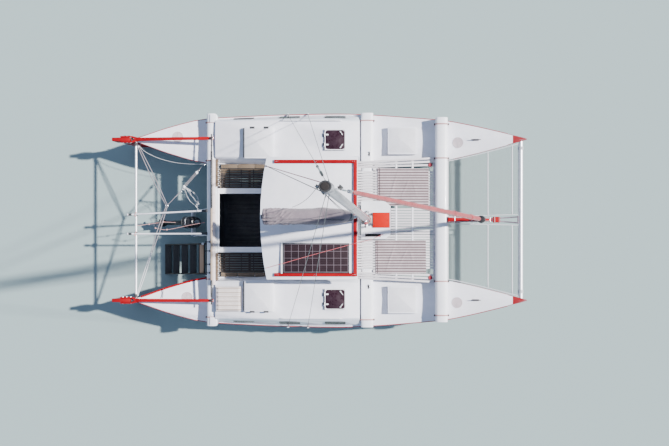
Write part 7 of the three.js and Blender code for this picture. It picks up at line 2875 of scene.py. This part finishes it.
@dataclass
class Ladder:
    """The boarding ladder hung under the aft beam."""

    treads: int = 5
    first: float = 0.170
    pitch: float = 0.3120
    hinge: tuple[float, float] = (-2.905, 0.955)
    foot: tuple[float, float] = (-4.080, 0.030)
    sides: tuple[float, float] = (-1.265, -0.530)

    def build(self) -> None:
        """Builds and dresses the ladder."""
        # The ladder's timber is near black: painted shade.
        frame_piece = stood_for("boarding_ladder", SHADED_TIMBER, "ladder_wood", 0.004)
        log.info("%s has %d treads", frame_piece.name, self.treads)
        body = body_of("boarding_ladder")
        strips = []
        for k in range(self.treads):
            x, z = self.along(self.first + k * self.pitch)
            half = 0.046 if k == 0 else 0.073
            # The top tread takes the timber's painted sunlit tone, the lower treads its painted shade.
            cap = block("cap", (x - half, self.sides[0] + 0.036, z + 0.0145),
                        (x + half, self.sides[1] - 0.036, z + 0.0185), 0.002)
            if k == 0:
                dress(cap, SUNLIT_TREAD_TIMBER, body, "ladder_wood").name = "top_tread_board"
                cap.data.name = cap.name
                continue
            dress(cap, SHADED_TIMBER, body, "ladder_wood").name = f"tread_board_{k + 1}"
            cap.data.name = cap.name
            for dx in (-0.052, -0.026, 0.0, 0.026, 0.052):
                strips.append(block("grip", (x + dx - 0.004, self.sides[0] + 0.050, z + 0.0180),
                                    (x + dx + 0.004, self.sides[1] - 0.050, z + 0.0205), 0.001))
        dress(joined("tread_grip_strips", strips), BLACK_FITTING, body)
        bolts = []
        for k in range(self.treads):
            x, z = self.along(self.first + k * self.pitch)
            bolts += [turned("bolt", (x, y, z), (0, s, 0), [(0, 0.010), (0.005, 0.009), (0.007, 0.004)], 6)
                      for y, s in ((self.sides[0] + 0.0005, -1), (self.sides[1] - 0.0005, 1))]
        dress(joined("tread_bolts", bolts), STEEL, body)
        x, z = self.along(0.09)
        dress(ball("ladder_knob", (x - 0.02, self.sides[1] - 0.016, z + 0.052), 0.030, 0.9, 20), WHITE_PLASTIC, body)

    def along(self, run: float) -> tuple[float, float]:
        """X and Z of the ladder's middle line, run metres down from its hinge."""
        length = math.dist(self.hinge, self.foot)
        share = run / length
        return (self.hinge[0] + (self.foot[0] - self.hinge[0]) * share,
                self.hinge[1] + (self.foot[1] - self.hinge[1]) * share)


@dataclass
class View:
    """The camera, the lights and the floor."""

    place: Point = (1.638, -1.209, 23.0)
    lens: float = 50.5
    shift: tuple[float, float] = (-0.0979, 0.0732)

    def camera(self) -> None:
        """Looks straight down, as the photograph does."""
        data = bpy.data.cameras.new("camera")
        data.lens = self.lens
        data.sensor_width = 36.0
        data.sensor_fit = "HORIZONTAL"
        data.shift_x, data.shift_y = self.shift
        data.clip_end = 200.0
        eye = bpy.data.objects.new("camera", data)
        eye.location = self.place
        bpy.context.collection.objects.link(eye)
        bpy.context.scene.camera = eye

    def lights(self) -> None:
        """A soft key from the bows, a broad fill and an even pale sky."""
        key = bpy.data.lights.new("key", "SUN")
        key.energy = 12.0
        key.angle = math.radians(1.6)
        key.color = (1.0, 0.965, 0.93)
        lamp = bpy.data.objects.new("key", key)
        lamp.rotation_euler = Vector((-1.131, -0.193, -1.0)).to_track_quat("-Z", "Y").to_euler()
        bpy.context.collection.objects.link(lamp)
        fill = bpy.data.lights.new("fill", "AREA")
        fill.energy = 150.0
        fill.size = 16.0
        fill.color = (0.90, 0.94, 1.0)
        panel = bpy.data.objects.new("fill", fill)
        panel.location = (-9.0, 10.0, 15.0)
        panel.rotation_euler = Vector((9.0, -10.0, -14.0)).to_track_quat("-Z", "Y").to_euler()
        bpy.context.collection.objects.link(panel)
        world = bpy.data.worlds.new("studio")
        world.use_nodes = True
        world.node_tree.nodes["Background"].inputs["Color"].default_value = (0.50, 0.66, 1.0, 1.0)
        world.node_tree.nodes["Background"].inputs["Strength"].default_value = 0.62
        bpy.context.scene.world = world

    def floor(self) -> None:
        """A plain pale floor at the waterline."""
        bpy.ops.object.select_all(action="DESELECT")
        bpy.ops.mesh.primitive_plane_add(size=400.0, location=(0, 0, 0))
        ground = settle("floor", None)
        made = bpy.data.materials.new("pale_floor")
        made.use_nodes = True
        shader = made.node_tree.nodes["Principled BSDF"]
        shader.inputs["Base Color"].default_value = (0.27, 0.35, 0.35, 1.0)
        shader.inputs["Roughness"].default_value = 0.9
        ground.data.materials.append(made)


def main() -> None:
    """Builds the boat in order and reports each piece."""
    logging.basicConfig(level=logging.INFO, format="%(message)s")
    view = View()
    view.camera()
    for part in (Hulls(), Cabins(), Beams(), BowGear(), Decks(), Cockpit(), Rig(), Headsail(), Boom(), Locker(),
                 Steering(), SternGear(), Motor(), Ladder()):
        part.build()
        log.info("built %s", type(part).__name__)
    view.lights()
    view.floor()


if __name__ == "__main__":
    main()
